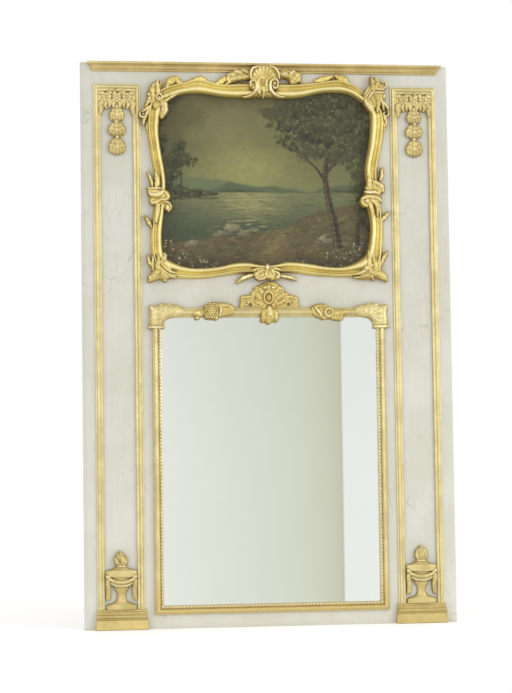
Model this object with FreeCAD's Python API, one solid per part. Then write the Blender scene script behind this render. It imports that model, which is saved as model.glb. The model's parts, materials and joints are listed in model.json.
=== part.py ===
import FreeCAD, Part
import os
import math
from FreeCAD import Vector as V

# Trumeau mirror: a painted, framed panel with gilded carving, a canvas above and a mirror below.
# Millimetres. +X right, -Y front, +Z up. While the model is built, y = 0 is the front face of the
# stiles and rails and positive y goes to the wall; everything is moved by Y_SHIFT when written, so
# the origin is the bottom centre of the whole object's box.

# ---- driving dimensions ----
WIDTH = 1225.0            # over the outer stiles
HEIGHT = 1850.0           # bottom of the plinths to the top of the top rail
BOARD = 22.0              # thickness of stiles and rails
OUT_STILE_IN = 556.5      # inner edge of an outer stile, from the centre line
IN_STILE_OUT = 428.5      # outer edge of an inner stile
IN_STILE_IN = 320.0       # nominal inner edge of an inner stile
PANEL_SET = 4.0           # pilaster panel face behind the stile face
PANEL_T = 10.0            # pilaster panel thickness
EDGE_W, EDGE_D = 12.5, 5.0  # sloped outer edge of the outer stiles: width and depth
TONGUE = 7.0              # panel tongue in its groove
TENON = 24.0              # rail tenon length
TENON_T = 8.0             # rail tenon thickness
TOP_RAIL_Z = 1766.0       # lower edge of the top rail beside the pilasters
BOTTOM_RAIL_Z = 61.0      # upper edge of the bottom rail
MIRROR_TOP = 1026.0       # lower edge of the middle rail
MIRROR_HALF = 371.0       # half width of the opening for the mirror glass
GLASS_T = 5.0
REBATE_Y = 6.0            # depth of the lip in front of the canvas
REBATE_X = 381.0          # half width of the canvas rebate
REBATE_Z = (1152.0, 1794.0)
CANVAS_T = 1.5
BATTEN_T = 18.0
BATTEN_X = 590.0
CORNICE_TOP_X = 590.0     # half length of the cornice at its top
CREST_PROUD = 44.0        # front of the shell crest ahead of the stile face
RING_WIRE_R = 1.9
HINGE_GAP = 0.06          # running clearance at a pivot, on the radius
BODY_GAP = 0.4            # clearance between a moving piece and what it passes

Y_SHIFT = (CREST_PROUD - (BOARD + BATTEN_T)) / 2.0

# Course of the painting frame: outer and inner edge, (x, z), clockwise from the top left.
FRAME_OUTER = [
    (-345.9, 1768), (-320.9, 1778), (-291, 1785), (-266, 1789), (-246, 1799), (-226.1, 1803), (-201.1, 1799),
    (-176.2, 1789), (-151.2, 1785), (-101.3, 1786), (-51.3, 1788), (-1.4, 1787), (48.5, 1786), (98.4, 1788),
    (148.3, 1790), (198.3, 1798), (238.2, 1803), (266.2, 1798), (298.1, 1783), (326.1, 1763), (358, 1740.1),
    (383, 1713.1), (396, 1678.2), (398, 1653.2), (395, 1623.3), (390, 1590.3), (383, 1558.4), (376, 1528.4),
    (371, 1493.5), (371, 1458.5), (376, 1418.6), (382, 1373.6), (386, 1328.7), (386, 1278.8), (384, 1233.9),
    (382, 1193.9), (375, 1162), (356, 1146), (328.1, 1140), (288.1, 1141), (243.2, 1141), (198.3, 1143),
    (148.3, 1146), (98.4, 1153), (58.5, 1155), (-1.4, 1155), (-61.3, 1152), (-106.3, 1151), (-151.2, 1145),
    (-201.1, 1138), (-251, 1136), (-291, 1137), (-330.9, 1140), (-360.9, 1149), (-376.8, 1164),
    (-382.8, 1193.9), (-387.8, 1230.9), (-388.8, 1268.8), (-386.8, 1308.7), (-380.8, 1348.7),
    (-372.9, 1386.6), (-369.9, 1418.6), (-370.9, 1448.5), (-374.8, 1483.5), (-380.8, 1518.4),
    (-386.8, 1553.4), (-391.8, 1588.3), (-396.8, 1620.3), (-398.8, 1653.2), (-395.8, 1691.2),
    (-385.8, 1728.1), (-366.9, 1755.1),
]
FRAME_INNER = [
    (-331.8, 1721.2), (-311.9, 1734.2), (-290, 1743.1), (-260.1, 1749.1), (-224.2, 1750.1), (-187.3, 1746.1),
    (-152.4, 1741.1), (-112.5, 1738.2), (-72.6, 1738.2), (-32.8, 1740.1), (-2.8, 1740.1), (37, 1738.2),
    (76.9, 1737.2), (111.8, 1740.1), (146.7, 1748.1), (179.6, 1755.1), (216.5, 1758.1), (256.4, 1757.1),
    (286.3, 1749.1), (308.2, 1736.2), (326.1, 1722.2), (341.1, 1705.3), (349.1, 1681.3), (349.1, 1646.4),
    (346.1, 1606.6), (340.1, 1566.7), (332.1, 1528.8), (328.1, 1496.9), (330.1, 1462), (332.1, 1427.1),
    (331.1, 1399.2), (334.1, 1371.3), (341.1, 1337.4), (344.1, 1302.5), (341.1, 1267.6), (335.1, 1237.7),
    (324.1, 1211.8), (304.2, 1195.8), (276.3, 1181.9), (241.4, 1173.9), (196.5, 1174.9), (146.7, 1182.9),
    (96.8, 1188.9), (57, 1189.8), (27.1, 1182.9), (-2.8, 1178.9), (-37.7, 1181.9), (-67.6, 1187.9),
    (-97.6, 1187.9), (-127.5, 1183.9), (-160.4, 1175.9), (-202.2, 1170.9), (-247.1, 1169.9), (-287, 1176.9),
    (-316.9, 1188.9), (-336.8, 1201.8), (-347.8, 1219.8), (-351.8, 1247.7), (-351.8, 1282.6),
    (-348.8, 1317.5), (-343.8, 1352.3), (-339.8, 1387.2), (-337.8, 1427.1), (-337.8, 1462), (-341.8, 1496.9),
    (-348.8, 1536.8), (-354.8, 1576.7), (-358.7, 1616.5), (-356.8, 1651.4), (-348.8, 1691.3),
]

# Outlines of the carved pieces, (x, z).
CORNER_TL = [
    (-324.3, 1722.3), (-324.3, 1698.3), (-332.3, 1677.4), (-348.2, 1663.5), (-354.2, 1647.5),
    (-377.1, 1641.6), (-402, 1645.5), (-416, 1661.5), (-419, 1687.4), (-410, 1709.3), (-406, 1733.2),
    (-399, 1752.1), (-382.1, 1766.1), (-368.2, 1778), (-355.2, 1791), (-343.2, 1780), (-326.3, 1778),
    (-316.4, 1761.1), (-320.3, 1739.2),
]
CORNER_TR = [
    (326.2, 1701.3), (324.2, 1725.2), (317.2, 1743.2), (313.2, 1763.1), (329.2, 1780), (345.1, 1807.9),
    (357, 1794), (377, 1791), (398.9, 1790), (404.9, 1775), (397.9, 1757.1), (400.9, 1735.2), (406.9, 1712.3),
    (413.8, 1693.4), (411.8, 1671.4), (408.8, 1649.5), (387.9, 1644.6), (365, 1647.5), (347.1, 1655.5),
    (340.1, 1679.4),
]
CORNER_BL = [
    (-322.3, 1129.5), (-320.3, 1155.4), (-324.3, 1179.3), (-334.3, 1200.3), (-347.2, 1219.2),
    (-369.1, 1224.2), (-391.1, 1220.2), (-405, 1207.2), (-402, 1183.3), (-399, 1157.4), (-391.1, 1137.5),
    (-372.1, 1124.6), (-347.2, 1120.6),
]
CORNER_BR = [
    (311.2, 1129.5), (304.2, 1160.4), (302.2, 1186.3), (309.2, 1206.2), (325.1, 1226.2), (348.1, 1235.2), (372, 1230.2),
    (389.9, 1213.2), (397.9, 1187.3), (392.9, 1162.4), (389.9, 1142.5), (398.9, 1123.6), (375, 1119.6),
    (345.1, 1123.6),
]
SIDE_L = [
    (-406, 1421.4), (-405, 1456.3), (-403, 1496.1), (-389.1, 1490.1), (-376.1, 1458.3), (-354.2, 1448.3),
    (-336.3, 1437.4), (-328.3, 1416.4), (-331.3, 1396.5), (-319.3, 1381.6), (-322.3, 1357.7),
    (-340.3, 1347.7), (-367.2, 1352.7), (-388.1, 1368.6), (-402, 1392.5),
]
SIDE_R = [
    (311.2, 1395.5), (323.2, 1420.4), (331.1, 1445.3), (349.1, 1457.3), (371, 1459.3), (387.9, 1452.3),
    (386.9, 1426.4), (388.9, 1401.5), (383.9, 1375.6), (365, 1364.6), (340.1, 1368.6), (319.2, 1379.6),
]
BOTTOM_C = [
    (-55.4, 1147.5), (-50.4, 1171.4), (-25.5, 1183.3), (-1.6, 1187.3), (18.4, 1183.3), (38.3, 1170.4),
    (40.3, 1147.5), (18.4, 1132.5), (-18.5, 1126.6), (-43.4, 1132.5),
]
CREST = [
    (-68.6, 1778), (-63.7, 1804.8), (-52.8, 1827.6), (-29, 1840.5), (-7.1, 1842.5), (18.7, 1838.6),
    (36.5, 1821.7), (44.5, 1797.9), (45.5, 1775.1), (32.6, 1754.2), (8.8, 1746.3), (-14.1, 1734.4),
    (-34.9, 1747.3), (-56.7, 1758.2),
]
SPRAY_L = [
    (-72, 1796.9), (-89.8, 1814.8), (-117.6, 1828.7), (-155.4, 1824.7), (-168.3, 1807.8), (-147.4, 1793.9),
    (-117.6, 1791), (-89.8, 1790),
]
SPRAY_R = [
    (50.2, 1796.9), (69.1, 1812.8), (96.9, 1822.7), (132.6, 1818.8), (145.5, 1803.9), (124.7, 1794),
    (96.9, 1792), (69.1, 1791),
]
SLEEVE_L = [
    (-403.4, 966.7), (-375.5, 964.7), (-348.6, 966.7), (-346.6, 983.6), (-341.6, 996.6), (-331.6, 1004.6),
    (-318.7, 1006.6), (-316.7, 1026.5), (-318.7, 1044.5), (-346.6, 1049.5), (-371.5, 1055.4),
    (-394.5, 1054.4), (-405.4, 1038.5), (-403.4, 1010.6), (-406.4, 988.6),
]
CLASP_L = [
    (-258.3, 1006.2), (-238.3, 1000.3), (-206.4, 995.3), (-176.5, 999.3), (-164.6, 1018.2), (-166.6, 1043.1),
    (-184.5, 1059.1), (-208.4, 1057.1), (-229.4, 1046.1), (-255.3, 1043.1),
]
CLASP_R = [
    (152.3, 1043.1), (163.3, 1052.1), (182.2, 1045.1), (202.2, 1046.1), (226.1, 1044.1), (248, 1042.2),
    (252, 1018.2), (240.1, 997.3), (216.1, 992.3), (196.2, 995.3), (176.3, 1001.3), (160.3, 1020.2),
]
SHELL_CLASP = [
    (-35.4, 1006), (-27.5, 992.1), (-3.6, 986.1), (22.3, 992.1), (33.3, 1006), (34.3, 1025.9), (28.3, 1041.4),
    (-3.6, 1041.4), (-31.5, 1041.4), (-36.4, 1025.9),
]
PIERCED_CREST = [
    (-97.0, 1042.0), (-97.0, 1064.0), (-84.0, 1078.5), (-66.0, 1084.0), (-52.0, 1102.0), (-36.0, 1117.0),
    (-15.0, 1121.5), (0.0, 1129.0), (15.0, 1121.5), (36.0, 1117.0), (52.0, 1102.0), (66.0, 1084.0),
    (84.0, 1078.5), (97.0, 1064.0), (97.0, 1042.0),
]
URN = [
    (45.0, 65.4), (48.0, 80.8), (24.0, 89.0), (15.0, 100.7), (38.5, 99.5), (44.0, 130.7), (42.0, 165.6),
    (50.0, 182.6), (47.0, 196.5), (20.0, 204.5), (20.0, 228.5), (11.0, 246.0),
]
BOW = [
    (-64.0, 1744.0), (-58.0, 1700.0), (-50.0, 1682.0), (-36.0, 1700.0), (-28.0, 1716.0), (0.0, 1712.0),
    (28.0, 1716.0), (36.0, 1700.0), (50.0, 1682.0), (58.0, 1700.0), (64.0, 1744.0), (34.0, 1752.0),
    (0.0, 1749.0), (-34.0, 1752.0),
]
HUSKS = [                 # top z, bottom z, half width near the bottom
    (1710.0, 1658.0, 24.0),
    (1656.0, 1606.0, 27.0),
    (1604.0, 1545.0, 25.0),
]
PILASTER_X = 494.0        # centre line of a pilaster

parts = {}


# ---- helpers ----
def box(x0, x1, y0, y1, z0, z1):
    return Part.makeBox(x1 - x0, y1 - y0, z1 - z0, V(x0, y0, z0))


def spline_face(pts, y):
    bs = Part.BSplineCurve()
    bs.interpolate(Points=[V(x, y, z) for x, z in pts], PeriodicFlag=True)
    return Part.Face(Part.Wire([bs.toShape()]))


def spline_prism(pts, y0, y1):
    return spline_face(pts, y0).extrude(V(0, y1 - y0, 0))


def poly_prism(pts, y0, y1):
    vs = [V(x, y0, z) for x, z in pts]
    return Part.Face(Part.makePolygon(vs + [vs[0]])).extrude(V(0, y1 - y0, 0))


def mirror_pts(pts):
    return [(-x, z) for x, z in pts]


def shrink(pts, k):
    cx = sum(p[0] for p in pts) / len(pts)
    cz = sum(p[1] for p in pts) / len(pts)
    return [(cx + (x - cx) * k, cz + (z - cz) * k) for x, z in pts]


def mid_pts(outer, inner, t=0.5):
    # points between the two edges of the frame: each outer point moved towards its nearest inner point
    out = []
    for (x, z) in outer:
        q = min(inner, key=lambda p: (p[0] - x) ** 2 + (p[1] - z) ** 2)
        out.append((x + (q[0] - x) * t, z + (q[1] - z) * t))
    return out


def relief(pts, y_back, proud, spline=True, k=0.72, step=0.62):
    # a carved piece as two layers: the full outline, and a smaller raised middle
    f = spline_prism if spline else poly_prism
    base = f(pts, y_back, -proud * step)
    top = f(shrink(pts, k), -proud * step, -proud).common(f(pts, -proud * step, -proud))
    return base.fuse(top).removeSplitter()


def clean(shape):
    shape = shape.removeSplitter()
    sol = [s for s in shape.Solids if s.Volume > 60.0]
    if len(sol) == 1:
        return sol[0]
    return Part.makeCompound(sol)


def biggest(shape, n=1):
    sol = sorted(shape.Solids, key=lambda s: -s.Volume)[:n]
    return sol[0] if n == 1 else Part.makeCompound(sol)


def frustum(lo, hi):
    # solid between two rectangles given as (x0, x1, y0, y1, z), all faces flat
    def corners(q):
        x0, x1, y0, y1, z = q
        return [V(x0, y0, z), V(x1, y0, z), V(x1, y1, z), V(x0, y1, z)]
    a, b = corners(lo), corners(hi)
    faces = [a, b] + [[a[i], a[(i + 1) % 4], b[(i + 1) % 4], b[i]] for i in range(4)]
    shell = Part.makeShell([Part.Face(Part.makePolygon(f + [f[0]])) for f in faces])
    sol = Part.makeSolid(shell)
    if sol.Volume < 0:
        sol.reverse()
    return sol


def cyl_y(x, z, y0, y1, r):
    return Part.makeCylinder(r, y1 - y0, V(x, y0, z), V(0, 1, 0))


# ---- openings ----
course = mid_pts(FRAME_OUTER, FRAME_INNER)
painting_hole = spline_prism(course, -1.0, BOARD + 1.0)
painting_rebate = box(-REBATE_X, REBATE_X, REBATE_Y, BOARD + 1.0, REBATE_Z[0], REBATE_Z[1])
mirror_hole = box(-MIRROR_HALF, MIRROR_HALF, -1.0, BOARD + 1.0, BOTTOM_RAIL_Z, MIRROR_TOP)
holes = [painting_hole, painting_rebate, mirror_hole]

# ---- carcass ----
tz0, tz1 = 7.0, 7.0 + TENON_T     # tenons lie in the middle of the boards' thickness


def with_holes(s):
    for h in holes:
        s = s.cut(h)
    return biggest(s)


top_rail = box(-OUT_STILE_IN, OUT_STILE_IN, 0, BOARD, TOP_RAIL_Z, HEIGHT)
top_rail = top_rail.fuse(box(-IN_STILE_IN, IN_STILE_IN, 0, BOARD, 1725.0, TOP_RAIL_Z))
top_rail = with_holes(top_rail.removeSplitter())
for s in (-1, 1):
    a, b = sorted((s * (OUT_STILE_IN - 2.0), s * (OUT_STILE_IN + TENON)))
    top_rail = top_rail.fuse(box(a, b, tz0, tz1, TOP_RAIL_Z + 14.0, HEIGHT - 14.0))
    a, b = sorted((s * (REBATE_X + 9.0), s * (IN_STILE_OUT - 8.0)))
    top_rail = top_rail.fuse(box(a, b, tz0, tz1, TOP_RAIL_Z - TENON, TOP_RAIL_Z + 2.0))
top_rail = top_rail.removeSplitter()

bottom_rail = box(-OUT_STILE_IN, OUT_STILE_IN, 0, BOARD, 0, BOTTOM_RAIL_Z)
for s in (-1, 1):
    a, b = sorted((s * (OUT_STILE_IN - 2.0), s * (OUT_STILE_IN + TENON)))
    bottom_rail = bottom_rail.fuse(box(a, b, tz0, tz1, 10.0, BOTTOM_RAIL_Z - 10.0))
    a, b = sorted((s * (MIRROR_HALF + 8.0), s * (IN_STILE_OUT - 8.0)))
    bottom_rail = bottom_rail.fuse(box(a, b, tz0, tz1, BOTTOM_RAIL_Z - 2.0, BOTTOM_RAIL_Z + TENON))
bottom_rail = bottom_rail.removeSplitter()

middle_rail = box(-IN_STILE_IN, IN_STILE_IN, 0, BOARD, MIRROR_TOP, 1215.0)
middle_rail = with_holes(middle_rail)
for s in (-1, 1):
    a, b = sorted((s * (IN_STILE_IN - 2.0), s * (IN_STILE_IN + TENON)))
    middle_rail = middle_rail.fuse(box(a, b, tz0, tz1, MIRROR_TOP + 12.0, REBATE_Z[0] - 20.0))
middle_rail = middle_rail.removeSplitter()

for s, side in ((-1, "left"), (1, "right")):
    a, b = sorted((s * (IN_STILE_OUT - TONGUE), s * (OUT_STILE_IN + TONGUE)))
    panel = box(a, b, PANEL_SET, PANEL_SET + PANEL_T, BOTTOM_RAIL_Z - TONGUE, TOP_RAIL_Z + TONGUE)
    # keep the panel's corners out of the rails' tenons
    panel = panel.cut(top_rail.common(box(-700, 700, tz0 - 1, tz1 + 1, TOP_RAIL_Z - 60, TOP_RAIL_Z + 0.01)))
    panel = biggest(panel)
    parts[side + "_pilaster_panel"] = panel

top_rail = biggest(top_rail.cut(parts["left_pilaster_panel"]).cut(parts["right_pilaster_panel"]))
bottom_rail = biggest(bottom_rail.cut(parts["left_pilaster_panel"]).cut(parts["right_pilaster_panel"]))

for s, side in ((-1, "left"), (1, "right")):
    a, b = sorted((s * OUT_STILE_IN, s * WIDTH / 2.0))
    st = box(a, b, 0, BOARD, 0, HEIGHT)
    e = s * WIDTH / 2.0
    slope = [V(e, -0.01, -1), V(e - s * EDGE_W, -0.01, -1), V(e, EDGE_D, -1)]
    slope = Part.Face(Part.makePolygon(slope + [slope[0]])).extrude(V(0, 0, HEIGHT + 2))
    st = st.cut(slope).cut(top_rail).cut(bottom_rail).cut(parts[side + "_pilaster_panel"])
    parts[side + "_outer_stile"] = biggest(st)
    a, b = sorted((s * IN_STILE_IN, s * IN_STILE_OUT))
    st = with_holes(box(a, b, 0, BOARD, BOTTOM_RAIL_Z, TOP_RAIL_Z))
    st = st.cut(top_rail).cut(bottom_rail).cut(middle_rail).cut(parts[side + "_pilaster_panel"])
    parts[side + "_inner_stile"] = biggest(st)

# ---- cornice: section (depth ahead of the face, z), run along the top with returned ends ----
CORNICE = [
    (0.0, 1820.5), (5.0, 1820.5), (6.6, 1822.0), (7.2, 1824.2), (6.2, 1826.2), (8.4, 1827.0),
    (10.8, 1828.4), (11.0, 1830.6), (9.2, 1832.2), (10.0, 1835.4), (12.4, 1838.4), (15.8, 1840.8),
    (19.0, 1842.2), (21.6, 1843.4), (22.0, 1845.0), (22.0, 1850.0), (0.0, 1850.0),
]
proud_max = max(d for d, z in CORNICE)
cor = None
for (d0, za), (d1, zb) in zip(CORNICE[1:-2], CORNICE[2:-1]):
    if zb - za < 0.05:
        continue
    # each band of the section is a mitred slab between two rectangles
    def rect(d, z):
        hx = CORNICE_TOP_X - (proud_max - d)
        return (-hx, hx, -d, 0.0, z)
    slab = frustum(rect(d0, za), rect(d1, zb))
    cor = slab if cor is None else cor.fuse(slab)
parts["cornice"] = biggest(cor.removeSplitter())

# ---- pilasters: frames, base mouldings, plinths ----
FRAME_IN_X, FRAME_OUT_X, STRIP = 417.5, 571.0, 23.3
FRAME_TOP = 1778.0
BASE_TOP = 65.4


def strip_section(a, b, proud):
    # moulding section across a strip from a to b: flat fillet, raised rounded middle, quirk
    w = b - a
    return [(a, 0.0), (a, -4.5), (a + 0.14 * w, -5.5), (a + 0.22 * w, -proud * 0.92), (a + 0.40 * w, -proud),
            (a + 0.62 * w, -proud * 0.90), (a + 0.74 * w, -6.0), (b, -4.5), (b, 0.0)]


def strip_x(a, b, z0, z1, proud=10.0, flip=False):
    pts = strip_section(a, b, proud)
    if flip:
        pts = [(a + b - x, y) for x, y in pts]
    vs = [V(x, y, z0) for x, y in pts]
    return Part.Face(Part.makePolygon(vs + [vs[0]])).extrude(V(0, 0, z1 - z0))


def strip_z(a, b, x0, x1, proud=10.0):
    pts = strip_section(a, b, proud)
    vs = [V(x0, y, z) for z, y in pts]
    return Part.Face(Part.makePolygon(vs + [vs[0]])).extrude(V(x1 - x0, 0, 0))


for s, side in ((-1, "left"), (1, "right")):
    def mx(shape):
        return shape if s > 0 else shape.mirror(V(0, 0, 0), V(1, 0, 0))
    z0 = BASE_TOP
    inner = strip_x(FRAME_IN_X, FRAME_IN_X + STRIP, z0, FRAME_TOP)
    outer = strip_x(FRAME_OUT_X - STRIP, FRAME_OUT_X, z0, FRAME_TOP, flip=True)
    top = strip_z(FRAME_TOP - STRIP, FRAME_TOP, FRAME_IN_X, FRAME_OUT_X)
    big = 4000.0
    m_in = poly_prism([(FRAME_IN_X, FRAME_TOP), (FRAME_IN_X + big, FRAME_TOP - big), (FRAME_IN_X + big, FRAME_TOP + big),
                       (FRAME_IN_X, FRAME_TOP + big)], -60, 60)
    m_out = poly_prism([(FRAME_OUT_X, FRAME_TOP), (FRAME_OUT_X - big, FRAME_TOP - big), (FRAME_OUT_X - big, FRAME_TOP + big),
                        (FRAME_OUT_X, FRAME_TOP + big)], -60, 60)
    inner = biggest(inner.cut(m_in))
    outer = biggest(outer.cut(m_out))
    top = biggest(top.common(m_in).common(m_out))
    parts[side + "_pilaster_frame"] = mx(Part.makeCompound([inner, outer, top]))
    sec = [(37.0, 0.0), (37.0, -17.0), (40.0, -19.5), (45.0, -19.5), (48.0, -16.5), (49.0, -13.5), (53.0, -14.5),
           (57.5, -12.5), (59.0, -9.5), (63.0, -9.0), (BASE_TOP, -6.5), (BASE_TOP, 0.0)]
    vs = [V(412.0, y, z) for z, y in sec]
    base = Part.Face(Part.makePolygon(vs + [vs[0]])).extrude(V(573.5 - 412.0, 0, 0))
    parts[side + "_pilaster_base"] = mx(base)
    parts[side + "_plinth"] = mx(frustum((407.0, 578.0, -23.0, 0.0, 0.0), (410.5, 574.5, -19.0, 0.0, 37.0)))

# ---- urns and drops: low relief on the pilaster panels ----
for s, side in ((-1, "left"), (1, "right")):
    c = s * PILASTER_X
    half = [(x, z) for x, z in URN]
    outline = [(c + x, z) for x, z in half] + [(c - x, z) for x, z in reversed(half)]
    urn = poly_prism(outline, PANEL_SET, -9.0)
    mid = poly_prism([(c + (x - c) * 0.66, z) for x, z in outline], -9.0, -18.0)
    parts[side + "_urn"] = biggest(urn.fuse(mid.common(poly_prism(outline, -9.0, -18.0))).removeSplitter())
    bow = poly_prism([(c + x * 0.82, z) for x, z in BOW], PANEL_SET, -8.0)
    bow = bow.fuse(poly_prism([(c - 20, 1716), (c + 20, 1716), (c + 20, 1746), (c - 20, 1746)], -8.0, -13.0))
    pieces = [biggest(bow.removeSplitter())]
    for z1, z0, hw in HUSKS:
        z1 = min(z1, 1711.0)
        h = poly_prism([(c - 0.28 * hw, z1), (c + 0.28 * hw, z1), (c + 0.8 * hw, z0 + 0.55 * (z1 - z0)), (c + hw, z0 + 14),
                        (c + 0.55 * hw, z0 + 5), (c, z0 + 0.6), (c - 0.55 * hw, z0 + 5), (c - hw, z0 + 14),
                        (c - 0.8 * hw, z0 + 0.55 * (z1 - z0))], PANEL_SET, -9.0)
        pieces.append(h)
    parts[side + "_husk_drop"] = Part.makeCompound(pieces)

# ---- carved pieces over the painting frame ----
carved = {
    "corner_top_left": relief(CORNER_TL, 0.0, 34.0),
    "corner_top_right": relief(CORNER_TR, 0.0, 34.0),
    "corner_bottom_left": relief(CORNER_BL, 0.0, 34.0),
    "corner_bottom_right": relief(CORNER_BR, 0.0, 34.0),
    "side_scroll_left": relief(SIDE_L, 0.0, 32.0),
    "side_scroll_right": relief(SIDE_R, 0.0, 32.0),
    "bottom_scroll": relief(BOTTOM_C, 0.0, 34.0),
}
crest = spline_prism(CREST, 0.0, -36.0).fuse(spline_prism(shrink(CREST, 0.74), -36.0, -CREST_PROUD))
crest = biggest(crest.cut(parts["cornice"]).removeSplitter())
carved["corner_top_left"] = biggest(carved["corner_top_left"].cut(parts["left_pilaster_frame"]))
carved["crest_shell"] = crest
sprays = []
for pts in (SPRAY_L, SPRAY_R):
    sp = spline_prism(pts, 0.0, -36.0).cut(parts["cornice"]).cut(crest)
    sprays.append(biggest(sp.removeSplitter()))

# ---- painting frame: the band between its two edges, in lengths between the carved pieces ----
outer_f = spline_prism(FRAME_OUTER, 0.0, -16.0)
inner_f = spline_prism(FRAME_INNER, 0.0, -16.0)
low_band = outer_f.cut(inner_f)
hi_out = spline_prism(mid_pts(FRAME_OUTER, FRAME_INNER, 0.42), -16.0, -26.0)
hi_in = spline_prism(mid_pts(FRAME_OUTER, FRAME_INNER, 0.90), -16.0, -26.0)
band = low_band.fuse(hi_out.cut(hi_in)).removeSplitter()
for k in carved:
    band = band.cut(carved[k])
# the corner pieces also close the band behind their own raised middles
for pts in (CORNER_TL, CORNER_TR, CORNER_BL, CORNER_BR, SIDE_L, SIDE_R, BOTTOM_C, CREST):
    band = band.cut(spline_prism(pts, 1.0, -60.0))
lengths = sorted(band.Solids, key=lambda q: -q.Volume)[:8]
groups = {"top": [], "left": [], "right": [], "bottom": []}
for q in lengths:
    c = q.CenterOfMass
    if c.z > 1690:
        groups["top"].append(q)
    elif c.z < 1220 and abs(c.x) < 310:
        groups["bottom"].append(q)
    elif c.x < 0:
        groups["left"].append(q)
    else:
        groups["right"].append(q)
for g, qs in groups.items():
    if len(qs) != 2:
        print("painting frame", g, "has", len(qs), "lengths")
    parts["painting_frame_" + g] = Part.makeCompound(qs)
for k in carved:
    parts[k] = carved[k]
frame_top = parts["painting_frame_top"]
parts["crest_sprays"] = Part.makeCompound([biggest(sp.cut(frame_top)) for sp in sprays])

# ---- mirror frame: mouldings, corner sleeves, clasps and crest ----
MF_OUT, MF_IN, MF_TOP, MF_BOT = 386.0, 356.0, 1041.5, 44.5
TOP_WIDER = 1.1           # the top run is a little wider than the others


def mirror_section():
    # from the outer edge to the sight edge: (offset inwards, y)
    return [(0.0, 0.0), (0.0, -5.0), (1.7, -11.0), (6.0, -17.0), (11.0, -19.5), (15.6, -18.5), (18.8, -15.0),
            (21.7, -11.0), (24.2, -11.5), (27.1, -10.5), (28.4, -6.0), (30.0, -3.0), (30.0, 0.0)]


def mirror_run_x(side, z0, z1):
    vs = [V(side * (MF_OUT - o), y, z0) for o, y in mirror_section()]
    return Part.Face(Part.makePolygon(vs + [vs[0]])).extrude(V(0, 0, z1 - z0))


def mirror_run_z(z_edge, sgn, x0, x1, wider=1.0):
    vs = [V(x0, y, z_edge + sgn * o * wider) for o, y in mirror_section()]
    return Part.Face(Part.makePolygon(vs + [vs[0]])).extrude(V(x1 - x0, 0, 0))


mitre_l = poly_prism([(-MF_OUT, MF_BOT), (-MF_OUT + 900, MF_BOT + 900), (-MF_OUT + 900, MF_BOT - 900), (-MF_OUT, MF_BOT - 900)], -60, 60)
mitre_r = poly_prism([(MF_OUT, MF_BOT), (MF_OUT - 900, MF_BOT + 900), (MF_OUT - 900, MF_BOT - 900), (MF_OUT, MF_BOT - 900)], -60, 60)
sleeve_prisms = [spline_prism(SLEEVE_L, 1.0, -60.0), spline_prism(mirror_pts(SLEEVE_L), 1.0, -60.0)]
m_left = mirror_run_x(-1, MF_BOT, 1000.0).cut(mitre_l).cut(sleeve_prisms[0])
m_right = mirror_run_x(1, MF_BOT, 1000.0).cut(mitre_r).cut(sleeve_prisms[1])
parts["mirror_frame_left"] = biggest(m_left)
parts["mirror_frame_right"] = biggest(m_right)
parts["mirror_frame_bottom"] = biggest(mirror_run_z(MF_BOT, 1, -MF_OUT, MF_OUT).common(mitre_l).common(mitre_r))
m_top = mirror_run_z(MF_TOP, -1, -340.0, 340.0, TOP_WIDER)
for sp in sleeve_prisms:
    m_top = m_top.cut(sp)
m_top = biggest(m_top)
for pts in (CLASP_L, CLASP_R, SHELL_CLASP):
    m_top = m_top.cut(spline_prism(pts, 1.0, -60.0))
runs = [q for q in m_top.Solids if q.Volume > 500.0]
parts["mirror_frame_top"] = Part.makeCompound(runs)
parts["corner_sleeve_left"] = relief(SLEEVE_L, 0.0, 26.0, k=0.70)
parts["corner_sleeve_right"] = parts["corner_sleeve_left"].mirror(V(0, 0, 0), V(1, 0, 0))
parts["flower_clasp_left"] = relief(CLASP_L, 0.0, 30.0)
parts["flower_clasp_right"] = relief(CLASP_R, 0.0, 30.0)
parts["shell_clasp"] = relief(SHELL_CLASP, 0.0, 33.0)
pc = poly_prism(PIERCED_CREST, 0.0, -12.0)
pc = pc.fuse(poly_prism([(x * 0.55, 1046 + (z - 1046) * 0.86) for x, z in PIERCED_CREST if z > 1046] , -12.0, -18.0)
             .common(poly_prism(PIERCED_CREST, -12.0, -18.0)))
for s in (-1, 1):
    pc = pc.cut(cyl_y(s * 72.0, 1058.0, -40, 10, 6.0)).cut(cyl_y(s * 44.0, 1060.0, -40, 10, 6.5))
pc = biggest(pc.removeSplitter())
for k in ("shell_clasp", "flower_clasp_left", "flower_clasp_right", "bottom_scroll"):
    pc = pc.cut(parts[k])
parts["pierced_crest"] = biggest(pc)

# ---- mirror glass, back boards ----
c0 = 0.5
parts["mirror_glass"] = box(-MIRROR_HALF + c0, MIRROR_HALF - c0, 0.5, 0.5 + GLASS_T, BOTTOM_RAIL_Z + c0, MIRROR_TOP - c0)
boards = []
N_BOARDS = 5
w = (2 * MIRROR_HALF - 2 * c0) / N_BOARDS
for i in range(N_BOARDS):
    xa = -MIRROR_HALF + c0 + i * w
    b = box(xa + 0.4, xa + w - 0.4, 0.5 + GLASS_T, BOARD, BOTTOM_RAIL_Z + c0, MIRROR_TOP - c0)
    boards.append(b)
parts["mirror_back_boards"] = Part.makeCompound(boards)

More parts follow.
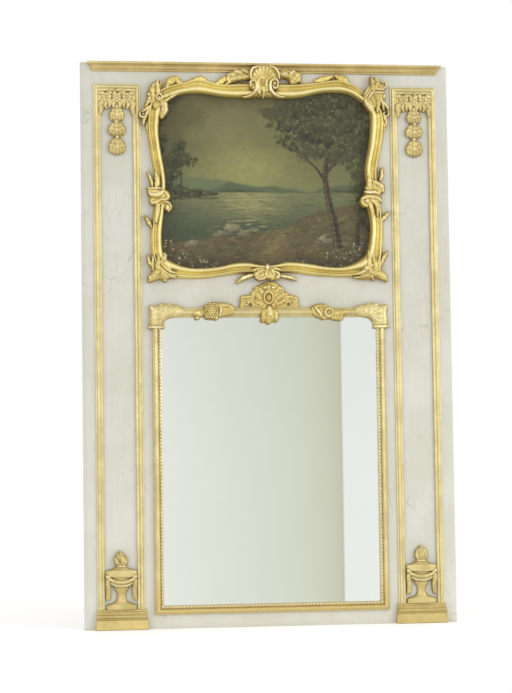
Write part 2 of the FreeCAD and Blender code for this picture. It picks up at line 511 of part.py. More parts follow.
# ---- canvas and stretcher ----
cx, cz0, cz1 = REBATE_X - 1.5, REBATE_Z[0] + 1.5, REBATE_Z[1] - 1.5
parts["painting_canvas"] = box(-cx, cx, REBATE_Y, REBATE_Y + CANVAS_T, cz0, cz1)
BAR = 42.0
y0, y1 = REBATE_Y + CANVAS_T, BOARD - BODY_GAP
bars = []
tl, tr, br, bl = (-cx, cz1), (cx, cz1), (cx, cz0), (-cx, cz0)
itl, itr, ibr, ibl = (-cx + BAR, cz1 - BAR), (cx - BAR, cz1 - BAR), (cx - BAR, cz0 + BAR), (-cx + BAR, cz0 + BAR)
for quad in ([tl, tr, itr, itl], [tr, br, ibr, itr], [br, bl, ibl, ibr], [bl, tl, itl, ibl]):
    bars.append(poly_prism(quad, y0, y1))
keys = []
for sx in (-1, 1):
    for sz, ze in ((-1, cz0 + BAR), (1, cz1 - BAR)):
        xe = sx * (cx - BAR)
        # two wedges in each inner corner, one into each bar, with their blunt ends standing out of the slots
        k1 = poly_prism([(xe - sx * 24.0, ze - sz * 9.0), (xe - sx * 11.0, ze - sz * 9.0), (xe - sx * 13.5, ze + sz * 22.0),
                         (xe - sx * 18.0, ze + sz * 22.0)], y0 + 5.0, y0 + 8.5)
        k2 = poly_prism([(xe - sx * 9.0, ze - sz * 24.0), (xe - sx * 9.0, ze - sz * 11.0), (xe + sx * 22.0, ze - sz * 13.5),
                         (xe + sx * 22.0, ze - sz * 18.0)], y0 + 5.0, y0 + 8.5)
        keys += [k1, k2]
cut_bars = []
for b in bars:
    for k in keys:
        b = b.cut(k)
    cut_bars.append(biggest(b))
parts["stretcher"] = Part.makeCompound(cut_bars)
parts["stretcher_keys"] = Part.makeCompound(keys)

# ---- back: battens, hangers, turn-buttons, screws ----
yb0, yb1 = BOARD, BOARD + BATTEN_T
battens = {
    "top_batten": (1798.0, 1844.0),
    "middle_batten": (1012.0, 1076.0),
    "bottom_batten": (30.0, 94.0),
}


def batten(z0, z1):
    c = 3.0
    b = box(-BATTEN_X, BATTEN_X, yb0, yb1, z0, z1)
    es = [e for e in b.Edges if abs(e.BoundBox.YMin - yb1) < 1e-6 and e.Length > 30]
    return b.makeChamfer(c, es)


for k, (z0, z1) in battens.items():
    parts[k] = batten(z0, z1)

screws = []


def countersunk(x, z, y_head, length, r=2.0, rh=4.4):
    head = Part.makeCone(r, rh, 2.6, V(x, y_head - 2.6, z), V(0, 1, 0))
    shank = cyl_y(x, z, y_head - length, y_head - 2.5, r)
    return head.fuse(shank).removeSplitter()


for k, (z0, z1) in battens.items():
    zm = (z0 + z1) / 2.0
    for x in (-584.5, -572.0, -404.0, 404.0, 572.0, 584.5):
        dz = 12.0 if abs(x) in (572.0,) else (-12.0 if abs(x) == 584.5 else 0.0)
        sc = countersunk(x, zm + dz, yb1, 28.0)
        screws.append(sc)
        parts[k] = biggest(parts[k].cut(sc))

# hanger plates on the outer stiles, with a rolled eye at the top that carries the ring
HX, HZ = 584.5, 1716.0          # eye centre
EYE_R, EYE_W = 4.2, 15.0
PLATE_T, PLATE_W, PLATE_L = 1.6, 17.0, 62.0
eye_y = BOARD + 6.2
ring_r = RING_WIRE_R
for s, side in ((-1, "left"), (1, "right")):
    x = s * HX
    # the plate stands above the eye, so that the ring hangs clear below it
    plate = box(x - PLATE_W / 2, x + PLATE_W / 2, BOARD, BOARD + PLATE_T, HZ - 1.0, HZ + PLATE_L)
    plate = plate.makeFillet(7.0, [e for e in plate.Edges if e.BoundBox.YLength > 1.0 and abs(e.BoundBox.ZMin - (HZ + PLATE_L)) < 1e-6])
    eye = Part.makeCylinder(EYE_R, EYE_W, V(x - EYE_W / 2, eye_y, HZ), V(1, 0, 0))
    web = box(x - EYE_W / 2, x + EYE_W / 2, BOARD, eye_y, HZ - 1.0, HZ + 3.4)
    hanger = plate.fuse(eye).fuse(web)
    hanger = hanger.cut(Part.makeCylinder(ring_r + HINGE_GAP, EYE_W + 4, V(x - EYE_W / 2 - 2, eye_y, HZ), V(1, 0, 0)))
    hanger = hanger.removeSplitter()
    for dz in (18.0, 34.0, 50.0):
        sc = countersunk(x, HZ + dz, BOARD + PLATE_T, 16.0, r=1.7, rh=3.6)
        screws.append(sc)
        hanger = hanger.cut(sc)
    parts[side + "_hanger_plate"] = biggest(hanger)
    # D-shaped ring: straight bar through the eye, sides, and a round bow
    bx, rc, R = 11.0, 4.0, 15.0
    drop = 13.0
    def P(px, pz):
        return V(x + px, eye_y, HZ + pz)
    k7 = math.sqrt(0.5)
    edges = [
        Part.LineSegment(P(-bx, 0), P(bx, 0)).toShape(),
        Part.Arc(P(bx, 0), P(bx + rc * k7, -rc + rc * k7), P(bx + rc, -rc)).toShape(),
        Part.LineSegment(P(bx + rc, -rc), P(R, -rc - drop)).toShape(),
        Part.Arc(P(R, -rc - drop), P(0, -rc - drop - R), P(-R, -rc - drop)).toShape(),
        Part.LineSegment(P(-R, -rc - drop), P(-bx - rc, -rc)).toShape(),
        Part.Arc(P(-bx - rc, -rc), P(-bx - rc * k7, -rc + rc * k7), P(-bx, 0)).toShape(),
    ]
    path = Part.Wire(edges)
    prof = Part.Wire([Part.Circle(P(0, 0), V(1, 0, 0), ring_r).toShape()])
    # the section starts on the straight bar
    first = Part.LineSegment(P(0, 0), P(bx, 0)).toShape()
    last = Part.LineSegment(P(-bx, 0), P(0, 0)).toShape()
    path = Part.Wire([first] + edges[1:] + [last])
    ring = path.makePipeShell([prof], True, False)
    if ring.Volume < 0:
        ring.reverse()
    parts[side + "_hanger_ring"] = ring

# turn-buttons over the stretcher's back edge
BT_X, BT_L, BT_W, BT_T = 398.0, 48.0, 13.0, 4.0
by0 = BOARD + BODY_GAP
pivots = {
    "turn_button_upper_left": (-1, 1660.0),
    "turn_button_lower_left": (-1, 1290.0),
    "turn_button_upper_right": (1, 1660.0),
    "turn_button_lower_right": (1, 1290.0),
}
PIVOT_R = 2.1
for name, (s, z) in pivots.items():
    x = s * BT_X
    xa, xb = sorted((x + s * (BT_W / 2), x - s * (BT_L - BT_W / 2)))
    btn = box(xa, xb, by0, by0 + BT_T, z - BT_W / 2, z + BT_W / 2)
    vert = [e for e in btn.Edges if e.BoundBox.YLength > BT_T - 0.1]
    btn = btn.makeFillet(BT_W / 2 - 0.2, vert)
    btn = btn.cut(cyl_y(x, z, by0 - 1, by0 + BT_T + 1, PIVOT_R + HINGE_GAP))
    parts[name] = btn
    sc = cyl_y(x, z, BOARD - 14.0, by0 + BT_T + BODY_GAP, PIVOT_R)
    sc = sc.fuse(Part.makeCylinder(4.6, 0.6, V(x, by0 + BT_T + BODY_GAP, z), V(0, 1, 0)))
    dome = Part.makeSphere(5.4, V(x, by0 + BT_T + BODY_GAP + 0.6 - 2.828, z)).common(
        cyl_y(x, z, by0 + BT_T + BODY_GAP + 0.6, by0 + BT_T + BODY_GAP + 6, 4.6))
    sc = sc.fuse(dome).removeSplitter()
    screws.append(biggest(sc))

parts["fixing_screws"] = Part.makeCompound(screws)
parts["top_rail"], parts["middle_rail"], parts["bottom_rail"] = top_rail, middle_rail, bottom_rail
scr = parts["fixing_screws"]
for k in ("left_outer_stile", "right_outer_stile", "left_inner_stile", "right_inner_stile", "top_rail",
          "middle_rail", "bottom_rail"):
    parts[k] = biggest(parts[k].cut(scr))

# ---- write ----
os.makedirs("parts", exist_ok=True)
for name in sorted(parts):
    s = parts[name].copy()
    s.translate(V(0, Y_SHIFT, 0))
    if not s.isValid():
        print("invalid:", name)
    bb = s.BoundBox
    print("%-26s solids %2d  volume %10.0f  x %.1f..%.1f  y %.1f..%.1f  z %.1f..%.1f" % (
        name, len(s.Solids), s.Volume, bb.XMin, bb.XMax, bb.YMin, bb.YMax, bb.ZMin, bb.ZMax))
    s.exportStep("parts/%s.step" % name)
print(len(parts), "nodes")
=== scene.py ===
import json
import math
import bpy
import bmesh
import numpy as np
from mathutils import Matrix, Vector


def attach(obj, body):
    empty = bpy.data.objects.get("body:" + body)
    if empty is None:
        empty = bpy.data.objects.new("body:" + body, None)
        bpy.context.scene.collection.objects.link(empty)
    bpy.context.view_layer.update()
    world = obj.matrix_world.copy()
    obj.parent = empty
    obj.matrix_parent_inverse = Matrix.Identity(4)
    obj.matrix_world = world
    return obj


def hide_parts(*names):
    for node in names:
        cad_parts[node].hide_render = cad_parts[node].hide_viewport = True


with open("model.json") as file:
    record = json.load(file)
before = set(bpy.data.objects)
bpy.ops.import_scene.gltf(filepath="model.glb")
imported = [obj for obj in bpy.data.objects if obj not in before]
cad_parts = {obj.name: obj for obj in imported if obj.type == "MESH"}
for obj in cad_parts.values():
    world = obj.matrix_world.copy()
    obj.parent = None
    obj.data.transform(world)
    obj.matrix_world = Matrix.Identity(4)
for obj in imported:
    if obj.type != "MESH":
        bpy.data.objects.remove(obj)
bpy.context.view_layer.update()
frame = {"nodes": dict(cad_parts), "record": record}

# Trumeau mirror, its looks: carved and gilded mouldings, painted carcass, canvas and mirror.
# Shapes are worked out in mm as (x, d, z), where d is how far a point stands ahead of the stile face,
# and turned into the row frame (metres, front face of the stiles at y = 0.002) when a mesh is made.
STILE_Y = 2.0

# ---- curves ----
CAM_X, CAM_Z, CAM_D = -924.8, 493.4, 6493.1     # where the outlines were sighted from, mm, ahead of the stile face


def act(pts, d):
    # place of a point that is sighted at (x, z) on the stile face but stands d mm ahead of it
    k = d / CAM_D
    return [(x - (x - CAM_X) * k, z - (z - CAM_Z) * k) for x, z in pts]


def smooth_line(pts, step=1.0, closed=False):
    # centripetal Catmull-Rom through the points, about one sample a step
    P = np.array(pts, float)
    if len(P) < 3 and not closed:
        n = max(2, int(np.hypot(*(P[-1] - P[0])) / step) + 1)
        t = np.linspace(0, 1, n)[:, None]
        return P[0] * (1 - t) + P[-1] * t
    if closed:
        Q = np.vstack([P[-1], P, P[0], P[1]])
    else:
        Q = np.vstack([2 * P[0] - P[1], P, 2 * P[-1] - P[-2]])
    out = []
    for i in range(1, len(Q) - 2):
        p0, p1, p2, p3 = Q[i - 1], Q[i], Q[i + 1], Q[i + 2]
        n = max(2, int(math.ceil(np.hypot(*(p2 - p1)) / step)))
        t0 = 0.0
        t1 = t0 + max(1e-6, np.hypot(*(p1 - p0))) ** 0.5
        t2 = t1 + max(1e-6, np.hypot(*(p2 - p1))) ** 0.5
        t3 = t2 + max(1e-6, np.hypot(*(p3 - p2))) ** 0.5
        t = np.linspace(t1, t2, n, endpoint=False)[:, None]
        a1 = (t1 - t) / (t1 - t0) * p0 + (t - t0) / (t1 - t0) * p1
        a2 = (t2 - t) / (t2 - t1) * p1 + (t - t1) / (t2 - t1) * p2
        a3 = (t3 - t) / (t3 - t2) * p2 + (t - t2) / (t3 - t2) * p3
        b1 = (t2 - t) / (t2 - t0) * a1 + (t - t0) / (t2 - t0) * a2
        b2 = (t3 - t) / (t3 - t1) * a2 + (t - t1) / (t3 - t1) * a3
        out.append((t2 - t) / (t2 - t1) * b1 + (t - t1) / (t2 - t1) * b2)
    if not closed:
        out.append(P[-1][None, :])
    return np.vstack(out)


def resample(line, n, closed=False):
    L = np.vstack([line, line[:1]]) if closed else line
    s = np.concatenate([[0], np.cumsum(np.hypot(*(np.diff(L, axis=0).T)))])
    q = np.linspace(0, s[-1], n + 1 if closed else n)
    if closed:
        q = q[:-1]
    return np.stack([np.interp(q, s, L[:, 0]), np.interp(q, s, L[:, 1])], 1), s[-1]


def spiral(cx, cz, r0, r1, a0, turns, n=26):
    # points of a spiral, from radius r0 at angle a0 (degrees) in to r1; positive turns run anticlockwise
    t = np.linspace(0, 1, n)
    a = math.radians(a0) + t * turns * 2 * math.pi
    r = r0 * (r1 / r0) ** t
    return [(cx + q * math.cos(b), cz + q * math.sin(b)) for q, b in zip(r, a)]


def lattice_noise(x, z, size, seed):
    # smooth value noise in -1..1, cells of that size
    rs = np.random.RandomState(seed)
    T = rs.uniform(-1, 1, (256, 256))
    u, v = np.asarray(x) / size + 1000.0, np.asarray(z) / size + 1000.0
    i, j = np.floor(u).astype(int), np.floor(v).astype(int)
    fu, fv = u - i, v - j
    fu, fv = fu * fu * (3 - 2 * fu), fv * fv * (3 - 2 * fv)
    g = lambda a, b: T[a % 256, b % 256]
    return ((g(i, j) * (1 - fu) + g(i + 1, j) * fu) * (1 - fv)
            + (g(i, j + 1) * (1 - fu) + g(i + 1, j + 1) * fu) * fv)


def fractal(x, z, size, seed, octaves=4, gain=0.5):
    out, amp, tot = 0.0, 1.0, 0.0
    for k in range(octaves):
        out = out + amp * lattice_noise(x, z, size / 2 ** k, seed + 17 * k)
        tot += amp
        amp *= gain
    return out / tot


def box_blur(A, n):
    # mean over a (2n+1) square, with the edges repeated
    for ax in (0, 1):
        pad = [(0, 0), (0, 0)]
        pad[ax] = (n + 1, n)
        C = np.cumsum(np.pad(A, pad, mode="edge"), axis=ax)
        m = 2 * n + 1
        A = (np.take(C, range(m, C.shape[ax]), axis=ax) - np.take(C, range(0, C.shape[ax] - m), axis=ax)) / m
    return A


NONE = -60.0


def in_polygon(X, Z, poly):
    inside = np.zeros(X.shape, bool)
    x0, z0 = poly[-1]
    for x1, z1 in poly:
        if z0 != z1:
            c = ((z1 > Z) != (z0 > Z)) & (X < (x0 - x1) * (Z - z1) / (z0 - z1) + x1)
            inside ^= c
        x0, z0 = x1, z1
    return inside


class Carving:
    """A carved relief: height d, in mm ahead of the stile face, over a fine grid of (x, z)."""

    def __init__(self, x0, x1, z0, z1, h=0.8, sight=None):
        self.h = h
        self.sight = sight        # when set, points are given as sighted, at this typical height
        self.x = np.arange(x0, x1 + h / 2, h)
        self.z = np.arange(z0, z1 + h / 2, h)
        self.X, self.Z = np.meshgrid(self.x, self.z)
        self.H = np.full(self.X.shape, NONE)
        self.tone = np.zeros(self.X.shape)     # painted shade (-) or painted highlight (+), added to the hollows

    def _pts(self, pts):
        return act(pts, self.sight) if self.sight else list(pts)

    def _window(self, x0, x1, z0, z1):
        i0, i1 = np.searchsorted(self.x, [x0, x1])
        j0, j1 = np.searchsorted(self.z, [z0, z1])
        return slice(max(0, j0 - 1), min(len(self.z), j1 + 1)), slice(max(0, i0 - 1), min(len(self.x), i1 + 1))

    def put(self, win, h, mode="max", k=1.1):
        A = self.H[win]
        ok = h > NONE / 2
        if mode == "over":            # laid on whatever is there
            base = np.where(A > NONE / 2, A, 0.0)
            new = np.where(ok, base + h, A)
            self.H[win] = new
            return
        if mode == "cut":
            self.H[win] = np.where(ok & (A > NONE / 2), np.minimum(A, h), A)
            return
        d = np.abs(A - h)
        m = np.maximum(A, h)
        s = np.where(d < k, m + (k - d) ** 2 / (4 * k), m)
        self.H[win] = np.where(ok, np.where(A > NONE / 2, s, h), A)

    def _along(self, win, line):
        # nearest point of a polyline: distance, side, and place along it (0..1)
        X, Z = self.X[win], self.Z[win]
        best = np.full(X.shape, 1e9)
        side = np.zeros(X.shape)
        at = np.zeros(X.shape)
        seg = np.hypot(*(np.diff(line, axis=0).T))
        s = np.concatenate([[0], np.cumsum(seg)])
        tot = max(s[-1], 1e-6)
        for i in range(len(line) - 1):
            ax, az = line[i]
            dx, dz = line[i + 1] - line[i]
            L2 = dx * dx + dz * dz
            if L2 < 1e-12:
                continue
            t = np.clip(((X - ax) * dx + (Z - az) * dz) / L2, 0, 1)
            ex, ez = X - ax - t * dx, Z - az - t * dz
            q = ex * ex + ez * ez
            c = q < best
            best = np.where(c, q, best)
            side = np.where(c, np.sign(dx * ez - dz * ex), side)
            at = np.where(c, (s[i] + t * seg[i]) / tot, at)
        return np.sqrt(best), side, at, tot

    def stroke(self, pts, w, h, edge=None, shape=2.0, groove=0.0, lobes=0, lobe=0.25, vein=0.0, slant=0.5,
               tilt=0.0, mode="max", hollow=0.0, step=1.6):
        """A tapered ribbon or leaf along a smooth line. w: half widths, h: crest heights, edge: edge heights,
        groove: depth of a midrib, lobes/lobe: number and depth of notches in the edge, vein: depth of veins,
        tilt: how much one side is higher, hollow: dish of the middle."""
        line = smooth_line(self._pts(pts), step)
        w, h = np.atleast_1d(np.array(w, float)), np.atleast_1d(np.array(h, float))
        edge = h * 0.55 if edge is None else np.atleast_1d(np.array(edge, float))
        m = w.max() + 1.5
        win = self._window(line[:, 0].min() - m, line[:, 0].max() + m, line[:, 1].min() - m, line[:, 1].max() + m)
        dist, side, t, tot = self._along(win, line)
        f = lambda a: np.interp(t, np.linspace(0, 1, len(a)), a)
        W = f(w)
        u = dist / np.maximum(W, 1e-6)
        if lobes:
            ph = (t - slant * np.minimum(u, 1.3) * W / tot) * lobes
            W = W * (1 - lobe * (1 - np.abs(np.cos(math.pi * ph)) ** 0.7))
            u = dist / np.maximum(W, 1e-6)
        dome = np.clip(1 - np.clip(u, 0, 1) ** shape, 0, 1) ** 0.5
        E, Hc = f(edge), f(h)
        out = E + (Hc - E) * dome
        if groove:
            out = out - groove * np.exp(-(dist / np.maximum(0.22 * W, 0.7)) ** 2)
        if hollow:
            out = out - hollow * np.clip(1 - (u / 0.75) ** 2, 0, 1)
        if vein:
            ph = (t - slant * u * W / tot) * max(lobes, 1) * (2 if lobes < 7 else 1)
            out = out - vein * (0.5 - 0.5 * np.cos(2 * math.pi * ph)) ** 1.5 * np.clip(u * 1.5, 0, 1)
        if tilt:
            out = out + tilt * side * np.clip(u, 0, 1)
        out = np.where(u <= 1.0, out, NONE)
        self.put(win, out, mode)
        return self

    def leafy(self, pts, w, h, edge, n=3, lobe=0.16, puff=0.28, rib=1.2, slant=0.9, step=1.6):
        """A full leaf along a smooth line, its edge in rounded lobes that lean forward and swell between creases."""
        line = smooth_line(self._pts(pts), step)
        w, h, edge = (np.atleast_1d(np.array(q, float)) for q in (w, h, edge))
        m = w.max() + 1.5
        win = self._window(line[:, 0].min() - m, line[:, 0].max() + m, line[:, 1].min() - m, line[:, 1].max() + m)
        dist, side, t, tot = self._along(win, line)
        f = lambda a: np.interp(t, np.linspace(0, 1, len(a)), a)
        W = f(w)
        u = dist / np.maximum(W, 1e-6)
        ph = (t - slant * np.minimum(u, 1.3) * W / tot) * n
        swell = np.abs(np.sin(math.pi * ph)) ** 0.5
        W = W * (1 - lobe * (1 - swell))
        u = dist / np.maximum(W, 1e-6)
        dome = np.clip(1 - np.clip(u, 0, 1) ** 2.2, 0, 1) ** 0.5
        E, Hc = f(edge), f(h)
        out = E + (Hc - E) * dome * (1 - puff * (1 - swell) * np.clip(u * 1.6, 0, 1))
        out = out - rib * np.exp(-(dist / (0.15 * W + 0.7)) ** 2)
        self.put(win, np.where(u <= 1.0, out, NONE))
        return self

    def shade(self, pts, w, v):
        """Painted shade and highlight along a line: v below 0 darkens (painted shade), above 0 brightens (painted
        highlight); w is how wide it reaches.
        """
        line = smooth_line(self._pts(pts), 2.0)
        win = self._window(line[:, 0].min() - 2 * w, line[:, 0].max() + 2 * w, line[:, 1].min() - 2 * w, line[:, 1].max() + 2 * w)
        dist, _, _, _ = self._along(win, line)
        self.tone[win] += v * np.exp(-(dist / w) ** 2)
        return self

    def light(self, pts, w, v):
        # painted highlight along a line: shade() with v above 0
        return self.shade(pts, w, v)

    def ball(self, x, z, r, h, edge=None, rz=None, ang=0.0, mode="max", p=2.0):
        (x, z), = self._pts([(x, z)])
        rz = r if rz is None else rz
        m = max(r, rz) + 1
        win = self._window(x - m, x + m, z - m, z + m)
        c, s = math.cos(math.radians(ang)), math.sin(math.radians(ang))
        dx, dz = self.X[win] - x, self.Z[win] - z
        q = (np.abs((dx * c + dz * s) / r) ** p + np.abs((-dx * s + dz * c) / rz) ** p)
        e = h * 0.6 if edge is None else edge
        out = np.where(q <= 1, e + (h - e) * np.sqrt(np.clip(1 - q, 0, 1)), NONE)
        self.put(win, out, mode)
        return self

    def ring(self, x, z, r, w, h, edge, rz=None):
        (x, z), = self._pts([(x, z)])
        rz = r if rz is None else rz
        m = max(r, rz) + w + 1
        win = self._window(x - m, x + m, z - m, z + m)
        dx, dz = self.X[win] - x, self.Z[win] - z
        rr = np.hypot(dx / r, dz / rz)
        d = np.abs(rr - 1) * min(r, rz)
        out = np.where(d <= w, edge + (h - edge) * np.sqrt(np.clip(1 - (d / w) ** 2, 0, 1)), NONE)
        self.put(win, out)
        return self

    def flower(self, x, z, r, h, petals=5, a0=0.0, edge=None, eye=0.3):
        edge = h * 0.6 if edge is None else edge
        (x, z), = self._pts([(x, z)])
        keep, self.sight = self.sight, None
        for i in range(petals):
            a = math.radians(a0 + 360.0 * i / petals)
            self.ball(x + 0.58 * r * math.cos(a), z + 0.58 * r * math.sin(a), 0.46 * r, h, edge, rz=0.36 * r, ang=math.degrees(a))
        for i in range(petals):
            a = math.radians(a0 + 360.0 * i / petals)
            self.stroke([(x + 0.25 * r * math.cos(a), z + 0.25 * r * math.sin(a)), (x + 0.85 * r * math.cos(a), z + 0.85 * r * math.sin(a))],
                        [0.05 * r + 0.4], [edge + (h - edge) * 0.55], mode="cut", edge=[edge + (h - edge) * 0.95])
        self.ball(x, z, eye * r, h + 1.5, edge)
        self.sight = keep
        return self

    def fan(self, x, z, r0, r1, a0, a1, ribs, h_in, h_out, depth=2.0, scallop=0.10, edge=0.6, sq=1.0):
        """Shell: ribs radiating from (x, z) between two radii and two angles (degrees)."""
        (x, z), = self._pts([(x, z)])
        m = r1 * max(1.0, sq) + 2
        win = self._window(x - m, x + m, z - m, z + m)
        dx, dz = self.X[win] - x, (self.Z[win] - z) / sq
        r, a = np.hypot(dx, dz), np.degrees(np.arctan2(dz, dx))
        mid = (a0 + a1) / 2.0
        a = (a - mid + 180) % 360 - 180
        half = (a1 - a0) / 2.0
        ph = (a + half) / (2 * half) * ribs
        cr = np.abs(np.sin(math.pi * ph))
        R = r1 * (1 - scallop * (1 - cr))
        k = np.clip((r - r0) / (r1 - r0), 0, 1)
        out = h_in + (h_out - h_in) * k - depth * (1 - cr) ** 1.2 * np.clip(k * 2.5, 0.15, 1)
        lip = np.clip((R - r) / (0.12 * r1), 0, 1)
        out = out * (edge + (1 - edge) * np.sqrt(lip))
        out = np.where((r >= r0) & (r <= R) & (np.abs(a) <= half), out, NONE)
        self.put(win, out)
        return self

    def plate(self, pts, h_edge, h_mid, rim=6.0, closed_line=True):
        """A cushion-like block of that outline."""
        line = smooth_line(self._pts(pts), 1.5, closed=True) if closed_line else np.array(self._pts(pts), float)
        loop = np.vstack([line, line[:1]])
        win = self._window(line[:, 0].min() - 1, line[:, 0].max() + 1, line[:, 1].min() - 1, line[:, 1].max() + 1)
        dist, _, _, _ = self._along(win, loop)
        inside = in_polygon(self.X[win], self.Z[win], line)
        k = np.clip(dist / rim, 0, 1)
        out = h_edge + (h_mid - h_edge) * np.sqrt(np.clip(1 - (1 - k) ** 2, 0, 1))
        self.put(win, np.where(inside, out, NONE))
        return self

    def turned(self, cx, zs, ws, h0, depth, flat=0.0):
        """Half of a turned form in relief: half width ws at height zs, standing h0 ahead, and depth more at its middle."""
        win = self._window(cx - max(ws) - 1, cx + max(ws) + 1, min(zs) - 1, max(zs) + 1)
        W = np.interp(self.Z[win], zs, ws)
        u = np.abs(self.X[win] - cx) / np.maximum(W, 1e-6)
        rel = W / max(ws)
        out = h0 + depth * (0.35 + 0.65 * rel) * np.sqrt(np.clip(1 - np.clip((u - flat) / (1 - flat), 0, 1) ** 2, 0, 1))
        ok = (u <= 1) & (self.Z[win] >= min(zs)) & (self.Z[win] <= max(zs))
        self.put(win, np.where(ok, out, NONE))
        return self

    def hole(self, x, z, r, rz=None):
        (x, z), = self._pts([(x, z)])
        rz = r if rz is None else rz
        q = ((self.X - x) / r) ** 2 + ((self.Z - z) / rz) ** 2
        self.H = np.where(q < 1, NONE, self.H)
        return self

    def hand(self, seed, amp=0.35, size=9.0):
        # unevenness of hand carving
        n = fractal(self.X, self.Z, size, seed, 3)
        self.H = np.where(self.H > NONE / 2, self.H + amp * n, self.H)
        return self

    def soften(self, n=1):
        # a light blur inside the carving, as gesso and leaf round its edges
        ok = self.H > NONE / 2
        A = np.where(ok, self.H, 0.0)
        wgt = box_blur(ok.astype(float), n)
        B = box_blur(A, n) / np.maximum(wgt, 1e-6)
        self.H = np.where(ok, B, self.H)
        return self

    def hollows(self, r=3.6):
        # how far each point lies below (-) or above (+) what is round it, mm, plus the painted shade and highlight in
        # `tone`; the gilding draws low places and outlines darker (patina and painted shade) and high ones brighter
        # (wear and painted highlight)
        ok = (self.H > NONE / 2).astype(float)
        A = np.where(ok > 0, self.H, 0.0)
        n = max(1, int(round(r / self.h)))
        b1 = box_blur(box_blur(A, n), n) / np.maximum(box_blur(box_blur(ok, n), n), 1e-6)
        b2 = box_blur(A, max(1, n // 3)) / np.maximum(box_blur(ok, max(1, n // 3)), 1e-6)
        return np.where(ok > 0, (A - b1) * 0.85 + (A - b2) * 1.6 - 0.15, -1.8) + self.tone

    def _floor(self):
        return np.full(self.H.shape, 4.0)

    def mesh(self, back, floor=None):
        """Closed mesh of the carving, cut along its outline, with side walls down to `back`.
        floor: heights below which the carving is inside something else. Returns vertices (x, d, z), faces, hollows."""
        fl = np.full(self.H.shape, 0.0) if floor is None else floor
        ok = self.H > NONE / 2
        F = np.where(ok, np.maximum(self.H - fl, -3.0), -3.0)
        F = np.where(ok, F, -1.2)
        F[0, :] = F[-1, :] = -1.0
        F[:, 0] = F[:, -1] = -1.0
        F = np.where(np.abs(F) < 1e-4, 1e-4, F)
        inside = F > 0
        Hh = np.where(ok, self.H, NONE)
        # heights at the outline come from the inside neighbour
        nz, nx = F.shape
        idx = -np.ones((nz, nx), int)
        sel = inside
        idx[sel] = np.arange(sel.sum())
        V = [np.stack([self.X[sel], Hh[sel], self.Z[sel]], 1)]
        C = [self.hollows()[sel]]
        hol = self.hollows()
        count = int(sel.sum())

        def crossing(ja, ia, jb, ib):
            nonlocal count
            fa, fb = F[ja, ia], F[jb, ib]
            m = (fa > 0) != (fb > 0)
            out = -np.ones(fa.shape, int)
            t = fa[m] / (fa[m] - fb[m])
            t = np.clip(t, 0.04, 0.96)
            xa, za, xb, zb = self.X[ja, ia][m], self.Z[ja, ia][m], self.X[jb, ib][m], self.Z[jb, ib][m]
            ha, hb = Hh[ja, ia][m], Hh[jb, ib][m]
            both = (ha > NONE / 2) & (hb > NONE / 2)
            hi = np.where(fa[m] > 0, ha, hb)
            hh = np.where(both, ha + (hb - ha) * t, hi)
            ca = np.where(fa[m] > 0, hol[ja, ia][m], hol[jb, ib][m])
            V.append(np.stack([xa + (xb - xa) * t, hh, za + (zb - za) * t], 1))
            C.append(ca)
            out[m] = count + np.arange(m.sum())
            count += int(m.sum())
            return out

        J, I = np.mgrid[0:nz, 0:nx - 1]
        eh = crossing(J, I, J, I + 1)
        J, I = np.mgrid[0:nz - 1, 0:nx]
        ev = crossing(J, I, J + 1, I)
        case = (inside[:-1, :-1] * 1 + inside[:-1, 1:] * 2 + inside[1:, 1:] * 4 + inside[1:, :-1] * 8)
        corner = [idx[:-1, :-1], idx[:-1, 1:], idx[1:, 1:], idx[1:, :-1]]
        edgev = [eh[:-1, :], ev[:, 1:], eh[1:, :], ev[:, :-1]]
        faces, rim = {}, []
        for c in range(1, 16):
            m = case == c
            if not m.any():
                continue
            walk, kinds = [], []
            for k in range(4):
                a, b = bool(c >> k & 1), bool(c >> ((k + 1) % 4) & 1)
                if a:
                    walk.append(corner[k][m])
                    kinds.append(0)
                if a != b:
                    walk.append(edgev[k][m])
                    kinds.append(1 if a else 2)      # 1: leaving, 2: entering
            P = np.stack(walk, 1)
            faces.setdefault(P.shape[1], []).append(P)
            for k in range(len(kinds)):
                if kinds[k] == 1 and kinds[(k + 1) % len(kinds)] == 2:
                    rim.append(np.stack([P[:, k], P[:, (k + 1) % len(kinds)]], 1))
        V, C = np.vstack(V), np.concatenate(C)
        faces = {n: np.vstack(f) for n, f in faces.items()}
        rim = np.vstack(rim)
        used, inv = np.unique(rim, return_inverse=True)
        inv = inv.reshape(rim.shape)
        n0 = len(V)
        low = V[used].copy()
        low[:, 1] = back
        V = np.vstack([V, low])
        # painted shade: the foot of each side wall, where the carving meets what is behind it, gets a lower value and
        # is drawn darker
        C = np.concatenate([C, C[used] - 1.0])
        walls = np.stack([rim[:, 1], rim[:, 0], n0 + inv[:, 0], n0 + inv[:, 1]], 1)
        under = np.stack([n0 + inv[:, 1], n0 + inv[:, 0]], 1)
        return V, faces, walls, under, C
